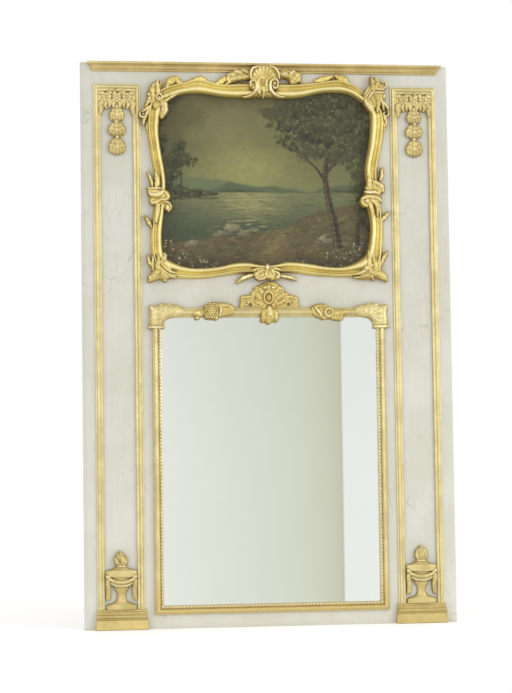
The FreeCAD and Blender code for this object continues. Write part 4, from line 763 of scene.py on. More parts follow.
def bottom_scroll():
    c = Carving(-135, 113, 1093, 1205, sight=28)
    c.plate([(-47.6, 1162), (-27.5, 1173.2), (-7.4, 1181.8), (9.2, 1177.2), (29, 1168.6), (38.8, 1152.1), (35.2, 1135.5), (11.9, 1134.2), (-8.1, 1136.9), (-31.4, 1130.3), (-44.5, 1142.2)], 15, 26, rim=10)
    c.ball(-2.2, 1174.6, 8.7, 34, 21, rz=11.6)
    c.light([(-2.1, 1178.5), (-2.3, 1168.6)], 5.0, 0.8)
    leaf(c, [(-15.6, 1165.3), (-31, 1158.7), (-39.2, 1146.8), (-33.3, 1134.9)], [6.4, 10.3, 9, 3.9], [30, 33, 31, 24], 3, e=[20, 16, 13, 11], lobe=0.08, vein=0.2)
    c.stroke([(-38.6, 1140.2), (-28, 1135.5), (-13.4, 1138.8), (-3.2, 1148.1)], [2.9, 4.8, 5.2, 3.2], [28, 32, 32, 30], edge=[13, 13, 15, 20])
    c.light([(-33.3, 1136.9), (-18, 1137.5)], 4.0, 1.0)
    leaf(c, [(-5.7, 1162), (-6.5, 1150.7), (0.6, 1140.2)], [7.7, 7.7, 3.2], [31, 32, 27], 2, e=[20, 18, 15])
    leaf(c, [(7.7, 1171.9), (16.9, 1158.7), (18.7, 1145.4), (11.8, 1133.5)], [5.8, 7.7, 6.4, 3.2], [30, 33, 30, 23], 3, e=[20, 18, 14, 11], lobe=0.08, vein=0.2)
    c.stroke([(20.9, 1160.7), (32.8, 1155.4), (36.6, 1144.1), (29.9, 1136.2)], [3.9, 5.8, 5.5, 3.2], [29, 31, 30, 25], edge=[20, 17, 13, 11])
    c.ball(30, 1144.1, 5.5, 32, 14, rz=7.1)
    leaf(c, [(10.4, 1169.3), (25.7, 1170.6), (42.3, 1166)], [5.2, 6.4, 2.9], [29, 30, 26], 2, e=[21, 21, 21])
    leaf(c, [(-14.9, 1169.9), (-34.2, 1169.3), (-54.2, 1163.3)], [5.2, 6.4, 2.9], [29, 30, 26], 2, e=[21, 21, 21])
    # leaves along the lower edge, out to both sides
    leaf(c, [(-45.7, 1150.8), (-64.4, 1146.1), (-83.1, 1138.9), (-103.8, 1124.4)], [4.5, 7.7, 8.1, 3.2], [25, 28, 25, 15], 3, e=[14, 12, 10, 8], lobe=0.10, vein=0.2)
    leaf(c, [(40, 1147.4), (58.6, 1144.1), (75.3, 1141.4), (95.2, 1133.5)], [3.9, 6.4, 6.4, 2.9], [24, 27, 25, 16], 3, e=[13, 12, 10, 8], lobe=0.10, vein=0.2)
    c.light([(-64.4, 1145.5), (-82.4, 1139.5)], 4.0, 0.7)
    c.shade([(-54.3, 1154.1), (-46.5, 1144.2), (-42.6, 1135.6)], 3.0, -1.6)
    c.shade([(22.8, 1156.7), (23.2, 1135.5)], 2.0, -2.0)
    c.shade([(9.1, 1176.6), (10.3, 1166.6)], 2.2, -1.8)
    c.shade([(-14, 1186.5), (-11.5, 1171.9)], 2.2, -1.2)
    c.shade([(-8.1, 1135.5), (11.9, 1138.2)], 2.4, -1.4)
    return c


def crest_shell():
    c = Carving(-80, 69, 1730, 1866, sight=36)
    c.plate([(-48.2, 1838.8), (-31.3, 1847.1), (-11.2, 1849.4), (12.2, 1848.3), (32.2, 1843.9), (45.4, 1828.7), (48.5, 1808.6), (43, 1798.5), (46.1, 1785.1), (37.9, 1770.2), (21, 1763.3), (4.2, 1759.1), (-12.5, 1760.9), (-32.5, 1762), (-47.8, 1770.5), (-53.6, 1783.8), (-47.4, 1797.3), (-53.1, 1817.3)], 27, 35, rim=11)
    c.fan(-6.8, 1784.4, 12, 46, 12, 168, 9, 36, 42, depth=2.4, scallop=0.06, edge=0.86, sq=1.30)
    # rolled rims at the two sides
    c.stroke([(-24.7, 1843.1), (-41.5, 1836.9), (-49.1, 1822.7), (-48, 1806), (-40.8, 1795.4)], [3.2, 5.5, 6.1, 5.5, 3.2], [39, 42, 43, 42, 39], edge=[28, 28, 28, 29, 31])
    c.stroke([(17.5, 1845.1), (32.1, 1838.6), (42.7, 1823.9), (45.7, 1805.2)], [3.2, 5.8, 5.8, 3.9], [39, 42, 43, 39], edge=[28, 28, 28, 28])
    c.stroke([(15.3, 1831.6), (23.8, 1820.3), (37, 1805.1)], [3.5, 4.8, 3.2], [40, 41, 38], edge=[32, 32, 30])
    # bud and its two leaves at the middle
    leaf(c, [(-21.2, 1757.5), (-25.7, 1772.8), (-26.8, 1789.5), (-20.5, 1806.3)], [7.1, 10.3, 9.7, 4.5], [37, 43, 43, 40], 3, e=[28, 31, 32, 33], lobe=0.07, vein=0.14)
    leaf(c, [(4.3, 1764.5), (3.2, 1781.2), (3.4, 1795.9), (6.9, 1809.4)], [5.2, 7.1, 6.4, 3.2], [37, 42, 42, 39], 2, e=[28, 31, 32, 33], lobe=0.06, vein=0.12)
    # volutes and their tails, which run into the sight edge of the frame
    c.stroke([(42.2, 1789.7), (36.3, 1800.4), (24.2, 1800.2), (16, 1788.1), (15.8, 1771.3), (24.3, 1757.3), (40.9, 1747.5), (64.3, 1744.4)], [3.9, 5.2, 5.5, 6.8, 7.4, 6.4, 4.8, 2.6],
             [40, 42, 43, 43, 41, 35, 28, 25.4], edge=[30, 31, 32, 32, 29, 24, 20, 16])
    c.stroke([(40.1, 1787), (40.6, 1776.3), (29.8, 1771.5), (24.6, 1780.1)], [3.9, 4.5, 4.2, 2.9], [40, 41, 41, 39], edge=[30, 30, 31, 32])
    c.ball(30.1, 1787.6, 6.1, 43, 31)
    c.stroke([(-49.7, 1777.2), (-50.2, 1790.6), (-40.1, 1796.7), (-30.8, 1787.5), (-30.4, 1770.7), (-38.6, 1755.9), (-54.1, 1746.4), (-76.2, 1742.8)], [3.9, 4.8, 5.2, 6.4, 7.1, 6.1, 4.5, 2.6],
             [39, 41, 42, 42, 40, 34, 28, 25.4], edge=[29, 30, 31, 32, 29, 24, 20, 16])
    c.ball(-42.9, 1782.6, 4.8, 41, 30)
    # hanging tips
    leaf(c, [(-20.3, 1777.6), (-20.5, 1764.2), (-24.7, 1750.7)], [5.8, 5.2, 1.6], [38, 35, 27], 2, e=[28, 26, 22], lobe=0.04, vein=0.1)
    leaf(c, [(-6.2, 1777.7), (-5.1, 1761), (-7.1, 1740.9)], [6.4, 6.4, 1.6], [38, 35, 26], 2, e=[28, 26, 21], lobe=0.04, vein=0.1)
    leaf(c, [(5.1, 1774.5), (5.6, 1761.1), (9.4, 1751.1)], [5.2, 4.8, 1.6], [37, 34, 27], 2, e=[28, 26, 22], lobe=0.04, vein=0.1)
    c.shade([(-55.5, 1837.4), (-56.5, 1817.3)], 3.6, -1.8)
    c.shade([(-36.2, 1835.6), (-42.4, 1824.1), (-41.9, 1807.4)], 2.4, -1.2)
    c.shade([(24.8, 1838.5), (33.3, 1823.8), (41.1, 1808.5)], 2.4, -2.2)
    c.shade([(-12.6, 1799.1), (-10.8, 1787.7), (-7.6, 1777.7)], 3.0, -2.6)
    c.shade([(26.1, 1792.9), (36, 1781.6)], 2.4, -1.4)
    c.shade([(-38.8, 1792.7), (-44.4, 1773.9)], 3.0, -1.3)
    c.shade([(10.1, 1798), (10.4, 1771.2)], 1.8, -1.4)
    c.light([(-30.3, 1780.8), (-24.5, 1764.1)], 5.0, 0.9)
    c.light([(14.6, 1784.7), (19, 1764.6), (30.9, 1752.7)], 4.0, 0.9)
    return c


def spray(side):
    if side < 0:
        c = Carving(-152, -45, 1769, 1851, sight=30)
        c.plate([(-51.6, 1830.7), (-52, 1803.9), (-72.1, 1798.3), (-95.5, 1795.3), (-118.9, 1788.4), (-132.1, 1796.2), (-131.9, 1810.9), (-118.4, 1823.1), (-98.3, 1832.1), (-74.9, 1835.1)], 20, 28, rim=9)
        leaf(c, [(-48.6, 1809.3), (-72, 1809), (-95.4, 1805.4), (-115.4, 1799.8), (-132.1, 1796.2)], [5.8, 9.7, 10.3, 9, 3.9], [33, 35, 35, 32, 24], 4, e=[24, 23, 21, 19, 16], lobe=0.12, vein=0.24)
        leaf(c, [(-53.8, 1818.6), (-65, 1825.9), (-78.3, 1830.4)], [5.8, 7.7, 3.9], [33, 35, 32], 2, e=[25, 25, 24])
        leaf(c, [(-75.2, 1813.7), (-87.1, 1822.9), (-101.7, 1828)], [5.8, 8.4, 3.9], [33, 35, 32], 2, e=[25, 24, 23])
        leaf(c, [(-98.7, 1806.7), (-111.9, 1814.5), (-125.2, 1817.7)], [5.8, 7.7, 3.2], [31, 33, 29], 2, e=[23, 21, 19])
        c.ball(-113.4, 1801.1, 7.1, 34, 20, rz=6.1)
        leaf(c, [(-112.1, 1796.5), (-125.6, 1787.6), (-133.6, 1783.5)], [4.5, 4.5, 1.9], [28, 28, 25], 2, e=[20, 19, 18])
        c.shade([(-63.7, 1829.2), (-62.6, 1810.5), (-67.4, 1799)], 2.8, -1.6)
        c.shade([(-130.6, 1809.6), (-127.5, 1794.9)], 3.0, -1.6)
        c.shade([(-110.8, 1793.1), (-98.8, 1793.3)], 2.6, -1.5)
        c.light([(-108.6, 1813.2), (-93.8, 1820.1)], 4.5, 0.8)
    else:
        c = Carving(45, 137, 1772, 1853, sight=30)
        c.plate([(52.2, 1833.5), (75.7, 1835.1), (99.2, 1830.7), (115.9, 1824.9), (121.1, 1812.9), (118.9, 1799.4), (105.3, 1789.2), (85.1, 1786.9), (77.2, 1802.2), (61.9, 1807.4), (50.5, 1808.6)], 20, 28, rim=9)
        leaf(c, [(50.7, 1820), (68.7, 1816.9), (86.7, 1809.1), (102.1, 1801.9), (117.5, 1798.1)], [7.1, 10.3, 10.3, 8.4, 3.9], [33, 35, 35, 32, 25], 4, e=[24, 23, 21, 19, 16], lobe=0.12, vein=0.24)
        leaf(c, [(82.1, 1812.4), (86.9, 1822.5), (97.8, 1829.4)], [5.8, 7.1, 3.2], [33, 35, 31], 2, e=[25, 24, 22])
        leaf(c, [(98.8, 1807.9), (107.7, 1816.1), (120.5, 1820.3)], [5.8, 7.1, 3.2], [32, 34, 28], 2, e=[24, 22, 19])
        leaf(c, [(84, 1802.3), (90.5, 1794.4), (103.2, 1789.8)], [5.2, 5.8, 2.6], [30, 30, 26], 2, e=[21, 20, 19])
        c.ball(105.5, 1806.6, 5.5, 35, 20)
        c.shade([(77.5, 1820.4), (78.6, 1805.6), (79.8, 1792.2)], 2.8, -1.8)
        c.shade([(96.6, 1792.4), (112, 1793.3)], 2.4, -1.8)
        c.shade([(118.5, 1819.6), (119, 1806.1)], 2.6, -1.6)
        c.light([(65.5, 1822.2), (88.8, 1813.8)], 4.0, 0.6)
    return c


# leaves that lie along the painting frame between the carved joints
LOOSE_LEAVES = {
    "painting_frame_left": [
        dict(pts=[(-393.9, 1653.5), (-394.1, 1633.6), (-389.6, 1617.1)], w=[3.2, 4.8, 1.9], h=[18, 21, 16]),
    ],
    "painting_frame_right": [
        dict(pts=[(392.5, 1674.8), (398.3, 1654.6), (398.5, 1631.1)], w=[3.2, 5.2, 2.3], h=[18, 21, 16]),
    ],
    "painting_frame_top": [
        dict(pts=[(-326.6, 1775.4), (-319.9, 1786.8), (-307.9, 1795.6), (-290.7, 1801.8)], w=[7.2, 13.5, 13.5, 6.3], h=[22, 27, 27, 19]),
        dict(pts=[(-280.2, 1787.3), (-289.5, 1788.5), (-296, 1794.4)], w=[5.4, 9.9, 6.3], h=[22, 29, 27]),
        dict(pts=[(-245.1, 1791.8), (-228.4, 1798), (-215.1, 1801.5), (-198.6, 1796.4)], w=[4.5, 9, 9, 4.1], h=[19, 23, 23, 18]),
        dict(pts=[(-162.2, 1784.1), (-147.5, 1792.3), (-135.4, 1800.5), (-118.6, 1809.4)], w=[6.3, 10.8, 10.8, 4.5], h=[21, 26, 25, 19]),
        dict(pts=[(169.3, 1796.7), (184.5, 1800.9), (203.2, 1805.9), (225.3, 1814.3)], w=[5.4, 10.8, 10.8, 4.5], h=[21, 26, 25, 18]),
        dict(pts=[(239.1, 1816.1), (250.5, 1808.2), (265.9, 1801.6), (280.6, 1787.7)], w=[5.4, 12.6, 13.5, 6.3], h=[20, 27, 27, 21]),
    ],
    "painting_frame_bottom": [],
}


def loose_leaf(pts, w, h):
    P = act(pts, 24)
    xs, zs = [p[0] for p in P], [p[1] for p in P]
    c = Carving(min(xs) - 15, max(xs) + 15, min(zs) - 15, max(zs) + 15, h=0.8, sight=24)
    leaf(c, pts, w, h, 3, e=[q * 0.55 for q in h], lobe=0.10, vein=0.2)
    return c

# ---- carved pieces on the mirror frame ----
def corner_sleeve(side):
    # drawn for the left side; x is turned over for the right
    c = Carving(-425, -254, 949, 1080, sight=20)
    c.plate([(-393, 1050.6), (-375.3, 1049.2), (-355.6, 1051.8), (-344.5, 1055), (-326.1, 1053), (-306.5, 1051.7), (-290.1, 1045.7), (-277.1, 1038.5), (-277.3, 1020.7), (-293.8, 1014.2), (-316.7, 1011.7), (-333.2, 1007.1), (-343.1, 998), (-347.8, 984.9), (-348.6, 975.1), (-391.1, 975.3), (-391.5, 1001.4), (-391.2, 1030.9)], 10, 20, rim=15)
    # shallow ribs spreading from the inner corner
    for pts, w in (([(-346.3, 1007.8), (-359.5, 998.1), (-376, 986.3)], [3.9, 7.1, 7.7]), ([(-346.2, 1014.4), (-362.6, 1011.2), (-384.3, 1004.7)], [4.2, 8.1, 9]), ([(-344.2, 1019.6), (-360.5, 1027.5), (-383.3, 1040.1)], [4.2, 8.4, 10.3]),
                   ([(-339.6, 1022.9), (-347.3, 1035.4), (-353.7, 1048.5)], [3.9, 7.7, 9]), ([(-331, 1024.2), (-330.9, 1036), (-329.5, 1048.4)], [3.9, 7.1, 8.4]), ([(-319.9, 1024.1), (-313.2, 1035.3), (-304.6, 1044.4)], [3.9, 6.4, 7.1])):
        c.stroke(pts, w, [20.5, 22.5, 17], edge=[18.5, 18, 12], shape=2.4)
    # rolled inner edge
    c.stroke([(-348.6, 978.4), (-346.4, 996.1), (-335.1, 1008.5), (-316.7, 1013.6), (-293.7, 1014.9)], [2.3, 3.2, 3.5, 3.2, 1.9], [19, 20, 20, 19, 17], edge=[12, 12, 12, 12, 11])
    # collar
    c.stroke([(-393.1, 978.6), (-372.8, 977.8), (-348.6, 978.4)], [6.1, 6.4, 6.1], [20, 25, 20], edge=[9, 12, 9], shape=2.8)
    c.shade([(-392.3, 986.4), (-372.7, 985), (-349.8, 986.2)], 2.0, -1.6)
    c.shade([(-392.5, 970.7), (-372.9, 970), (-350, 970.5)], 2.4, -2.0)
    c.shade([(-344.6, 981.6), (-344.4, 996), (-331.9, 1009.1), (-316.7, 1011.7), (-293.8, 1012.9)], 2.4, -1.8)
    c.shade([(-393.1, 1034.2), (-390, 1024.4)], 3.0, -1.2)
    c.light([(-382.6, 978.8), (-359.7, 978.8)], 3.4, 1.2)
    c.light([(-385.2, 1045.3), (-385.6, 1008)], 4.0, 0.8)
    return c


def flower_clasp_left():
    c = Carving(-274, -82, 988, 1079, sight=24)
    c.plate([(-212.5, 1046.8), (-201.2, 1054.7), (-187.9, 1059.3), (-171.4, 1060.6), (-155, 1056.6), (-131.9, 1051.2), (-115.5, 1042), (-115.8, 1020.3), (-135.7, 1013.7), (-162.2, 1008.6), (-168.9, 1002), (-185.3, 1002.7), (-208.4, 1006.1), (-213.4, 1023.8)], 12, 23, rim=9)
    # leaf lying to the left
    leaf(c, [(-211.4, 1025.8), (-227.9, 1025.2), (-244.3, 1024.6), (-262.1, 1028.6)], [11.6, 14.2, 12.2, 5.2], [22, 24, 22, 16], 2, e=[12, 11, 10, 9], lobe=0.05, vein=0.10, groove=0.5)
    c.ball(-236, 1008.8, 9.7, 21, 9, rz=6.4)
    c.light([(-232.5, 1023.9), (-226.7, 1017.3)], 5.0, 0.9)
    # irregular scaly head
    rs = np.random.RandomState(51)
    c.ball(-188.3, 1032.3, 23.8, 27, 16, rz=27)
    x0, z0 = (-188.3, 1032.3)
    for row in range(7):
        for col in range(7):
            x = x0 + (col - 3) * 7.6 + (3.8 if row % 2 else 0.0) + rs.uniform(-1.3, 1.3)
            z = z0 + (row - 3) * 7.0 + rs.uniform(-1.3, 1.3)
            q = ((x - x0) / 23.0) ** 2 + ((z - z0) / 26.0) ** 2
            if q < 1.0:
                c.ball(x, z, rs.uniform(3.4, 4.6), 26.5 + 3.2 * math.sqrt(1 - q), 20, rz=rs.uniform(3.0, 4.2), ang=rs.uniform(0, 90))
    c.stroke([(-211.8, 1048.2), (-210.7, 1030.4), (-209.6, 1008.7)], [2.9, 3.5, 2.9], [23, 25, 22], edge=[13, 13, 13])
    # hump and leaf to the right
    leaf(c, [(-168.3, 1048), (-148.5, 1048.7), (-128.7, 1045.3), (-107.6, 1035.4)], [9, 10.3, 8.4, 3.9], [25, 26, 24, 18], 2, e=[14, 12, 11, 10], lobe=0.05, vein=0.12, groove=0.5)
    c.stroke([(-159.1, 1043.4), (-158.6, 1030.3), (-163.4, 1015.8)], [4.2, 6.1, 4.2], [27, 29, 25], edge=[18, 18, 16])
    c.light([(-158.5, 1040.1), (-160.7, 1020.4)], 3.6, 1.2)
    c.ball(-172.8, 1006, 7.1, 24, 10, rz=5.2)
    c.shade([(-213.8, 1046.8), (-213, 1007.4)], 2.6, -2.0)
    c.shade([(-143.9, 1043.4), (-132, 1042.7)], 2.4, -2.2)
    c.shade([(-166.4, 1040.1), (-167.4, 1010.5)], 2.2, -1.8)
    c.shade([(-205.1, 1005.4), (-178.7, 1004.7)], 2.4, -1.8)
    return c


def flower_clasp_right():
    c = Carving(116, 292, 980, 1079, sight=24)
    c.plate([(142.5, 1042.6), (154, 1049.9), (170.8, 1051.8), (190.8, 1049.1), (207.4, 1040.5), (224.1, 1035.8), (240.8, 1032.4), (250.7, 1019.1), (247, 999.3), (223.5, 999.3), (203.5, 1004), (180, 1004.1), (156.7, 1011.5), (143.5, 1022.8)], 12, 22, rim=9)
    leaf(c, [(147.2, 1040.6), (165.3, 1046.6), (184.1, 1045.9), (202.7, 1037.2)], [5.2, 7.7, 7.7, 4.5], [22, 26, 26, 22], 2, e=[12, 12, 12, 13], lobe=0.06, vein=0.14, groove=0.5)
    # ribbon crossing
    c.stroke([(153.3, 1045.9), (163.7, 1031.3), (176.2, 1014.7)], [4.8, 6.4, 5.2], [25, 29, 25], edge=[15, 16, 14], shape=2.3)
    c.light([(158.5, 1040.6), (172.9, 1020)], 3.6, 1.1)
    # flower
    c.ball(200.5, 1024.6, 18, 26, 15)
    c.ring(200.5, 1025.3, 12.6, 4.2, 29, 20)
    x0, z0 = (200.5, 1025.3)
    for k in range(7):
        a = math.radians(360 / 7.0 * k)
        c.ball(x0 + 12.8 * math.cos(a), z0 + 12.8 * math.sin(a), 4.4, 30, 21, rz=3.8, ang=math.degrees(a) + 90)
    c.ball(x0, z0, 4.4, 30, 21)
    # body and bump to the right
    leaf(c, [(219.2, 1023.9), (234, 1023.2), (250.8, 1025.8), (271, 1027.7)], [13.5, 14.8, 11.6, 5.2], [23, 25, 22, 17], 2, e=[13, 11, 10, 10], lobe=0.04, vein=0.08, groove=0.4)
    c.ball(235.7, 1005.9, 12.2, 22, 9, rz=7.7)
    c.ball(185.4, 1006.1, 8.4, 22, 9, rz=5.2)
    c.shade([(149.9, 1040.6), (158.3, 1027.4), (167.5, 1014.1)], 2.2, -2.2)
    c.shade([(178.5, 1035.9), (183.7, 1026), (183.5, 1012.7)], 2.4, -1.8)
    c.shade([(145.9, 1044), (164, 1049.9), (187.4, 1047.8)], 2.4, -1.3)
    c.shade([(193.8, 1025.9), (207.2, 1024.6)], 3.0, -1.4)
    c.shade([(223.7, 1011.3), (247.1, 1009.2)], 2.4, -1.2)
    return c


def shell_clasp():
    c = Carving(-57, 64, 974, 1059, sight=26)
    c.plate([(-22.8, 1036.5), (-9.4, 1041.1), (3.9, 1041.7), (20.5, 1039.7), (31.7, 1031.7), (33.4, 1016.5), (33.2, 1001.3), (16.5, 995.4), (-0.2, 993.5), (-16.7, 995.5), (-27.3, 1000.9), (-26.3, 1020)], 13, 27, rim=14)
    c.stroke([(2.5, 1039.7), (2.9, 1023.2), (1.2, 998.1)], [8.4, 11.6, 10.9], [27, 31, 25], edge=[21, 22, 15], shape=2.2)
    c.stroke([(-14.8, 1034.5), (-17.7, 1020), (-18.7, 1000.2)], [5.8, 8.1, 7.7], [23, 27, 22], edge=[16, 17, 12], shape=2.2)
    c.stroke([(22.4, 1033), (25.5, 1019.8), (25.2, 1000.7)], [5.8, 8.1, 7.1], [23, 27, 22], edge=[16, 17, 12], shape=2.2)
    c.light([(1.8, 1036.4), (4.9, 1017.9)], 7.0, 0.8)
    c.shade([(-8.9, 1029.8), (-10, 1001.5)], 2.2, -1.4)
    c.shade([(17.6, 1026.5), (17.9, 1000.7)], 2.2, -1.8)
    c.shade([(-26.4, 1016.7), (-26.6, 1000.2)], 3.0, -1.2)
    return c


def pierced_crest():
    c = Carving(-116, 119, 1027, 1145, sight=12)
    c.plate([(-94.4, 1038), (-94.7, 1063), (-93.2, 1077.5), (-81.8, 1082.8), (-63.3, 1084.1), (-53.1, 1095.9), (-40.3, 1109.8), (-24.9, 1119), (-10.2, 1125), (5.1, 1128.2), (21.7, 1125.6), (36.9, 1117), (49.4, 1103.7), (59.8, 1091.1), (74.4, 1082.5), (93, 1078.5), (98.2, 1069.2), (97, 1037.5)], 6, 12, rim=10)
    leaf(c, [(0.7, 1099.2), (0.2, 1112.4), (1.8, 1126.3)], [7.7, 9, 3.2], [16, 18, 12], 2, e=[10, 9, 7])
    for s, q in ((-1, (-11.8, 1107.8)), (1, (15.5, 1107.7))):
        c.ball(q[0], q[1], 8.2, 18, 10, rz=6.0, ang=s * -20)
    leaf(c, [(-20, 1092.6), (-31.8, 1104.5), (-43.7, 1107.8)], [7.1, 8.4, 3.9], [16, 17, 12], 2, e=[10, 9, 7])
    leaf(c, [(26.6, 1095.8), (38.1, 1105.7), (49.3, 1102.4)], [7.1, 8.4, 3.9], [16, 17, 12], 2, e=[10, 9, 7])
    leaf(c, [(-27.6, 1072.8), (-40.7, 1086), (-53.2, 1092.6)], [7.7, 9.7, 3.9], [16, 17, 12], 3, e=[10, 9, 7])
    leaf(c, [(32.3, 1072.7), (46.4, 1084.5), (61.1, 1087.8)], [7.7, 9.7, 3.9], [16, 17, 12], 3, e=[10, 9, 7])
    leaf(c, [(-25.9, 1053), (-40.4, 1059.6), (-54.8, 1074.2)], [7.1, 9, 4.5], [16, 17, 13], 3, e=[9, 9, 8])
    leaf(c, [(28.6, 1052.8), (46.1, 1061.4), (62.9, 1072.6)], [7.1, 9, 4.5], [16, 17, 13], 3, e=[9, 9, 8])
    # shoulders
    leaf(c, [(-55.4, 1076.8), (-70.7, 1076.2), (-87.3, 1072.9), (-90.1, 1056.4)], [5.2, 7.1, 7.1, 3.9], [15, 16, 15, 12], 3, e=[9, 8, 7, 6])
    leaf(c, [(62.3, 1076.6), (77.6, 1075.2), (92.2, 1069.2), (91.9, 1052.7)], [5.2, 7.1, 7.1, 3.9], [15, 16, 15, 12], 3, e=[9, 8, 7, 6])
    c.ring(-74.9, 1057.7, 7.6, 3.6, 15, 9)
    c.ring(77.3, 1058, 7.6, 3.6, 15, 9)
    c.ball(-74.9, 1057.7, 4.0, 15, 9)
    c.ball(77.3, 1058, 4.0, 15, 9)
    c.stroke([(-91, 1041.3), (-69.2, 1039.9), (-46, 1040.5), (-22.7, 1039.1)], [2.9, 3.5, 3.5, 2.6], [13, 14, 14, 13], edge=[8, 8, 8, 8])
    c.stroke([(27.1, 1039), (50.4, 1040.2), (73.7, 1039.5), (95.1, 1040.8)], [2.9, 3.5, 3.5, 2.6], [13, 14, 14, 13], edge=[8, 8, 8, 8])
    # boss in its ring
    c.ring(-0.3, 1074.7, 15.0, 4.6, 18.5, 11, rz=20)
    c.ball(0.3, 1072.7, 9.0, 18, 11, rz=13)
    leaf(c, [(-12.7, 1043), (-7.9, 1052.9), (-1.2, 1056.2)], [5.2, 6.4, 3.9], [15, 16, 14], 2, e=[10, 9, 9])
    leaf(c, [(15.9, 1043), (10.7, 1052.9), (4.1, 1056.2)], [5.2, 6.4, 3.9], [15, 16, 14], 2, e=[10, 9, 9])
    for x, z, r in ((-61.1, 1050.4, 6.2), (65.2, 1051.4, 5.6), (-47.5, 1070.8, 2.6), (52, 1057.4, 2.4), (-34.5, 1051.7, 2.4)):
        c.hole(x, z, r)
    c.shade([(-14.1, 1089.3), (-15.7, 1069.5), (-9.3, 1052.9)], 2.6, -1.8)
    c.shade([(13.9, 1089.2), (16.3, 1072.7), (9.3, 1052.9)], 2.6, -1.8)
    c.shade([(-0.9, 1079.3), (1.5, 1064.8)], 6.0, -1.6)
    c.shade([(-46.8, 1076.1), (-43.7, 1059.6)], 3.0, -2.0)
    c.shade([(-89, 1044.6), (-22.7, 1043.1)], 2.2, -1.6)
    c.shade([(-21.7, 1115.7), (-8.3, 1117), (10.3, 1115.7)], 2.6, -1.6)
    c.shade([(23.9, 1046.2), (25.1, 1036.3)], 3.4, -1.6)
    c.shade([(-93.2, 1072.9), (-92.3, 1046.5)], 3.0, -1.0)
    c.shade([(96.2, 1072.5), (95.2, 1046.1)], 3.0, -1.0)
    c.light([(-13.1, 1107.1), (-9.2, 1107.1)], 4.0, 1.0)
    c.light([(12.8, 1107.1), (20.1, 1107.1)], 4.0, 1.0)
    c.light([(-26.6, 1095.9), (-20.7, 1090.6)], 3.6, 0.9)
    return c


# ---- low relief on the pilasters ----
def urn(side):
    cx = -493.5 if side < 0 else 494.5
    c = Carving(cx - 60, cx + 60, 58, 264, sight=None)
    zs = [65.4, 78.0, 79.0, 80.5, 83.5, 87.5, 92.5, 98, 99.5, 101, 110, 111.5, 114, 121, 131, 143, 155, 164, 171]
    ws = [47, 47.5, 48.5, 47, 39, 27, 18, 14, 16.5, 14, 13, 15.5, 13.5, 17, 22.5, 29, 35.5, 40, 42]
    c.turned(cx, zs, ws, 0.5, 12.0)
    c.turned(cx, [65.4, 66, 77.5, 78.5], [46.5, 48, 48, 44], 6.0, 3.0, flat=0.82)
    # rim and lid
    c.turned(cx, [168, 171, 173.5, 186, 188.5, 191], [40, 50, 51.5, 51.5, 51, 46], 4.0, 13.5)
    c.turned(cx, [186, 190, 194, 198, 202, 206], [50, 46, 34, 24, 17, 14.5], 3.5, 12.5)
    # cloth laid over the bowl in two swags
    for dz, d, w in ((0, 17.5, 6.4), (-11, 15.6, 5.0)):
        c.stroke([(cx - 46, 171 + dz), (cx - 33, 160 + dz), (cx - 17, 154 + dz), (cx, 152 + dz), (cx + 17, 154 + dz), (cx + 33, 160 + dz), (cx + 46, 171 + dz)][(0 if dz == 0 else 1):(7 if dz == 0 else 6)],
                 [w * 0.8, w, w * 1.1, w * 1.15, w * 1.1, w, w * 0.8], [d], edge=[d - 6.5], lobes=5, lobe=0.08, vein=1.0, slant=0.4)
    # hanging drapery
    for s in (-1, 1):
        for ox, w, zb, h in ((40.5, 5.2, 101, 15.0), (46.0, 5.0, 98, 14.0)):
            c.stroke([(cx + s * (ox - 2), 170), (cx + s * (ox + 1.0), 150), (cx + s * (ox - 1.5), 126), (cx + s * (ox + 0.5), zb)],
                     [w * 0.8, w, w * 1.05, w * 0.9], [h, h - 1, h - 2, h - 4], edge=[7, 6, 5, 4], groove=1.4)
        c.ball(cx + s * 45, 171, 7.5, 18, 8)
    # finial
    if side < 0:
        c.plate([(cx - 13, 204), (cx - 20, 216), (cx - 22, 229), (cx - 14, 238), (cx - 6, 249), (cx + 6, 246), (cx + 13, 236), (cx + 19, 224), (cx + 13, 204)], 4, 9, rim=6)
        leaf(c, [(cx + 1, 206), (cx + 6, 220), (cx + 1, 234), (cx - 2, 251)], [9, 11, 9, 3], [13, 16.5, 14, 8], 3, e=[7, 7, 6, 4])
        leaf(c, [(cx - 6, 208), (cx - 15, 219), (cx - 19, 230)], [7, 9, 5], [13, 15, 11], 2, e=[6, 6, 5])
        leaf(c, [(cx + 7, 208), (cx + 14, 219), (cx + 16, 231)], [7, 8, 4], [13, 14.5, 10], 2, e=[6, 6, 5])
        leaf(c, [(cx - 5, 228), (cx - 12, 238), (cx - 14, 246)], [6, 6, 2.5], [13, 13, 8], 2, e=[6, 5, 4])
    else:
        c.plate([(cx - 14, 204), (cx - 19, 216), (cx - 20, 232), (cx - 13, 243), (cx, 248), (cx + 12, 243), (cx + 18, 232), (cx + 18, 216), (cx + 13, 204)], 4, 11, rim=7)
        leaf(c, [(cx, 204), (cx + 1, 220), (cx, 234), (cx - 1, 249)], [9, 11, 11, 5], [13, 17, 16, 9], 2, e=[7, 8, 7, 4], lobe=0.08)
        leaf(c, [(cx - 8, 206), (cx - 15, 220), (cx - 13, 240)], [6, 8, 4], [12, 14, 10], 2, e=[6, 6, 5], lobe=0.1)
        leaf(c, [(cx + 8, 206), (cx + 15, 220), (cx + 12, 240)], [6, 8, 4], [12, 14, 10], 2, e=[6, 6, 5], lobe=0.1)
    c.turned(cx, [201, 202, 205.5, 207], [12, 17, 17, 12], 3.5, 12.5)
    return c


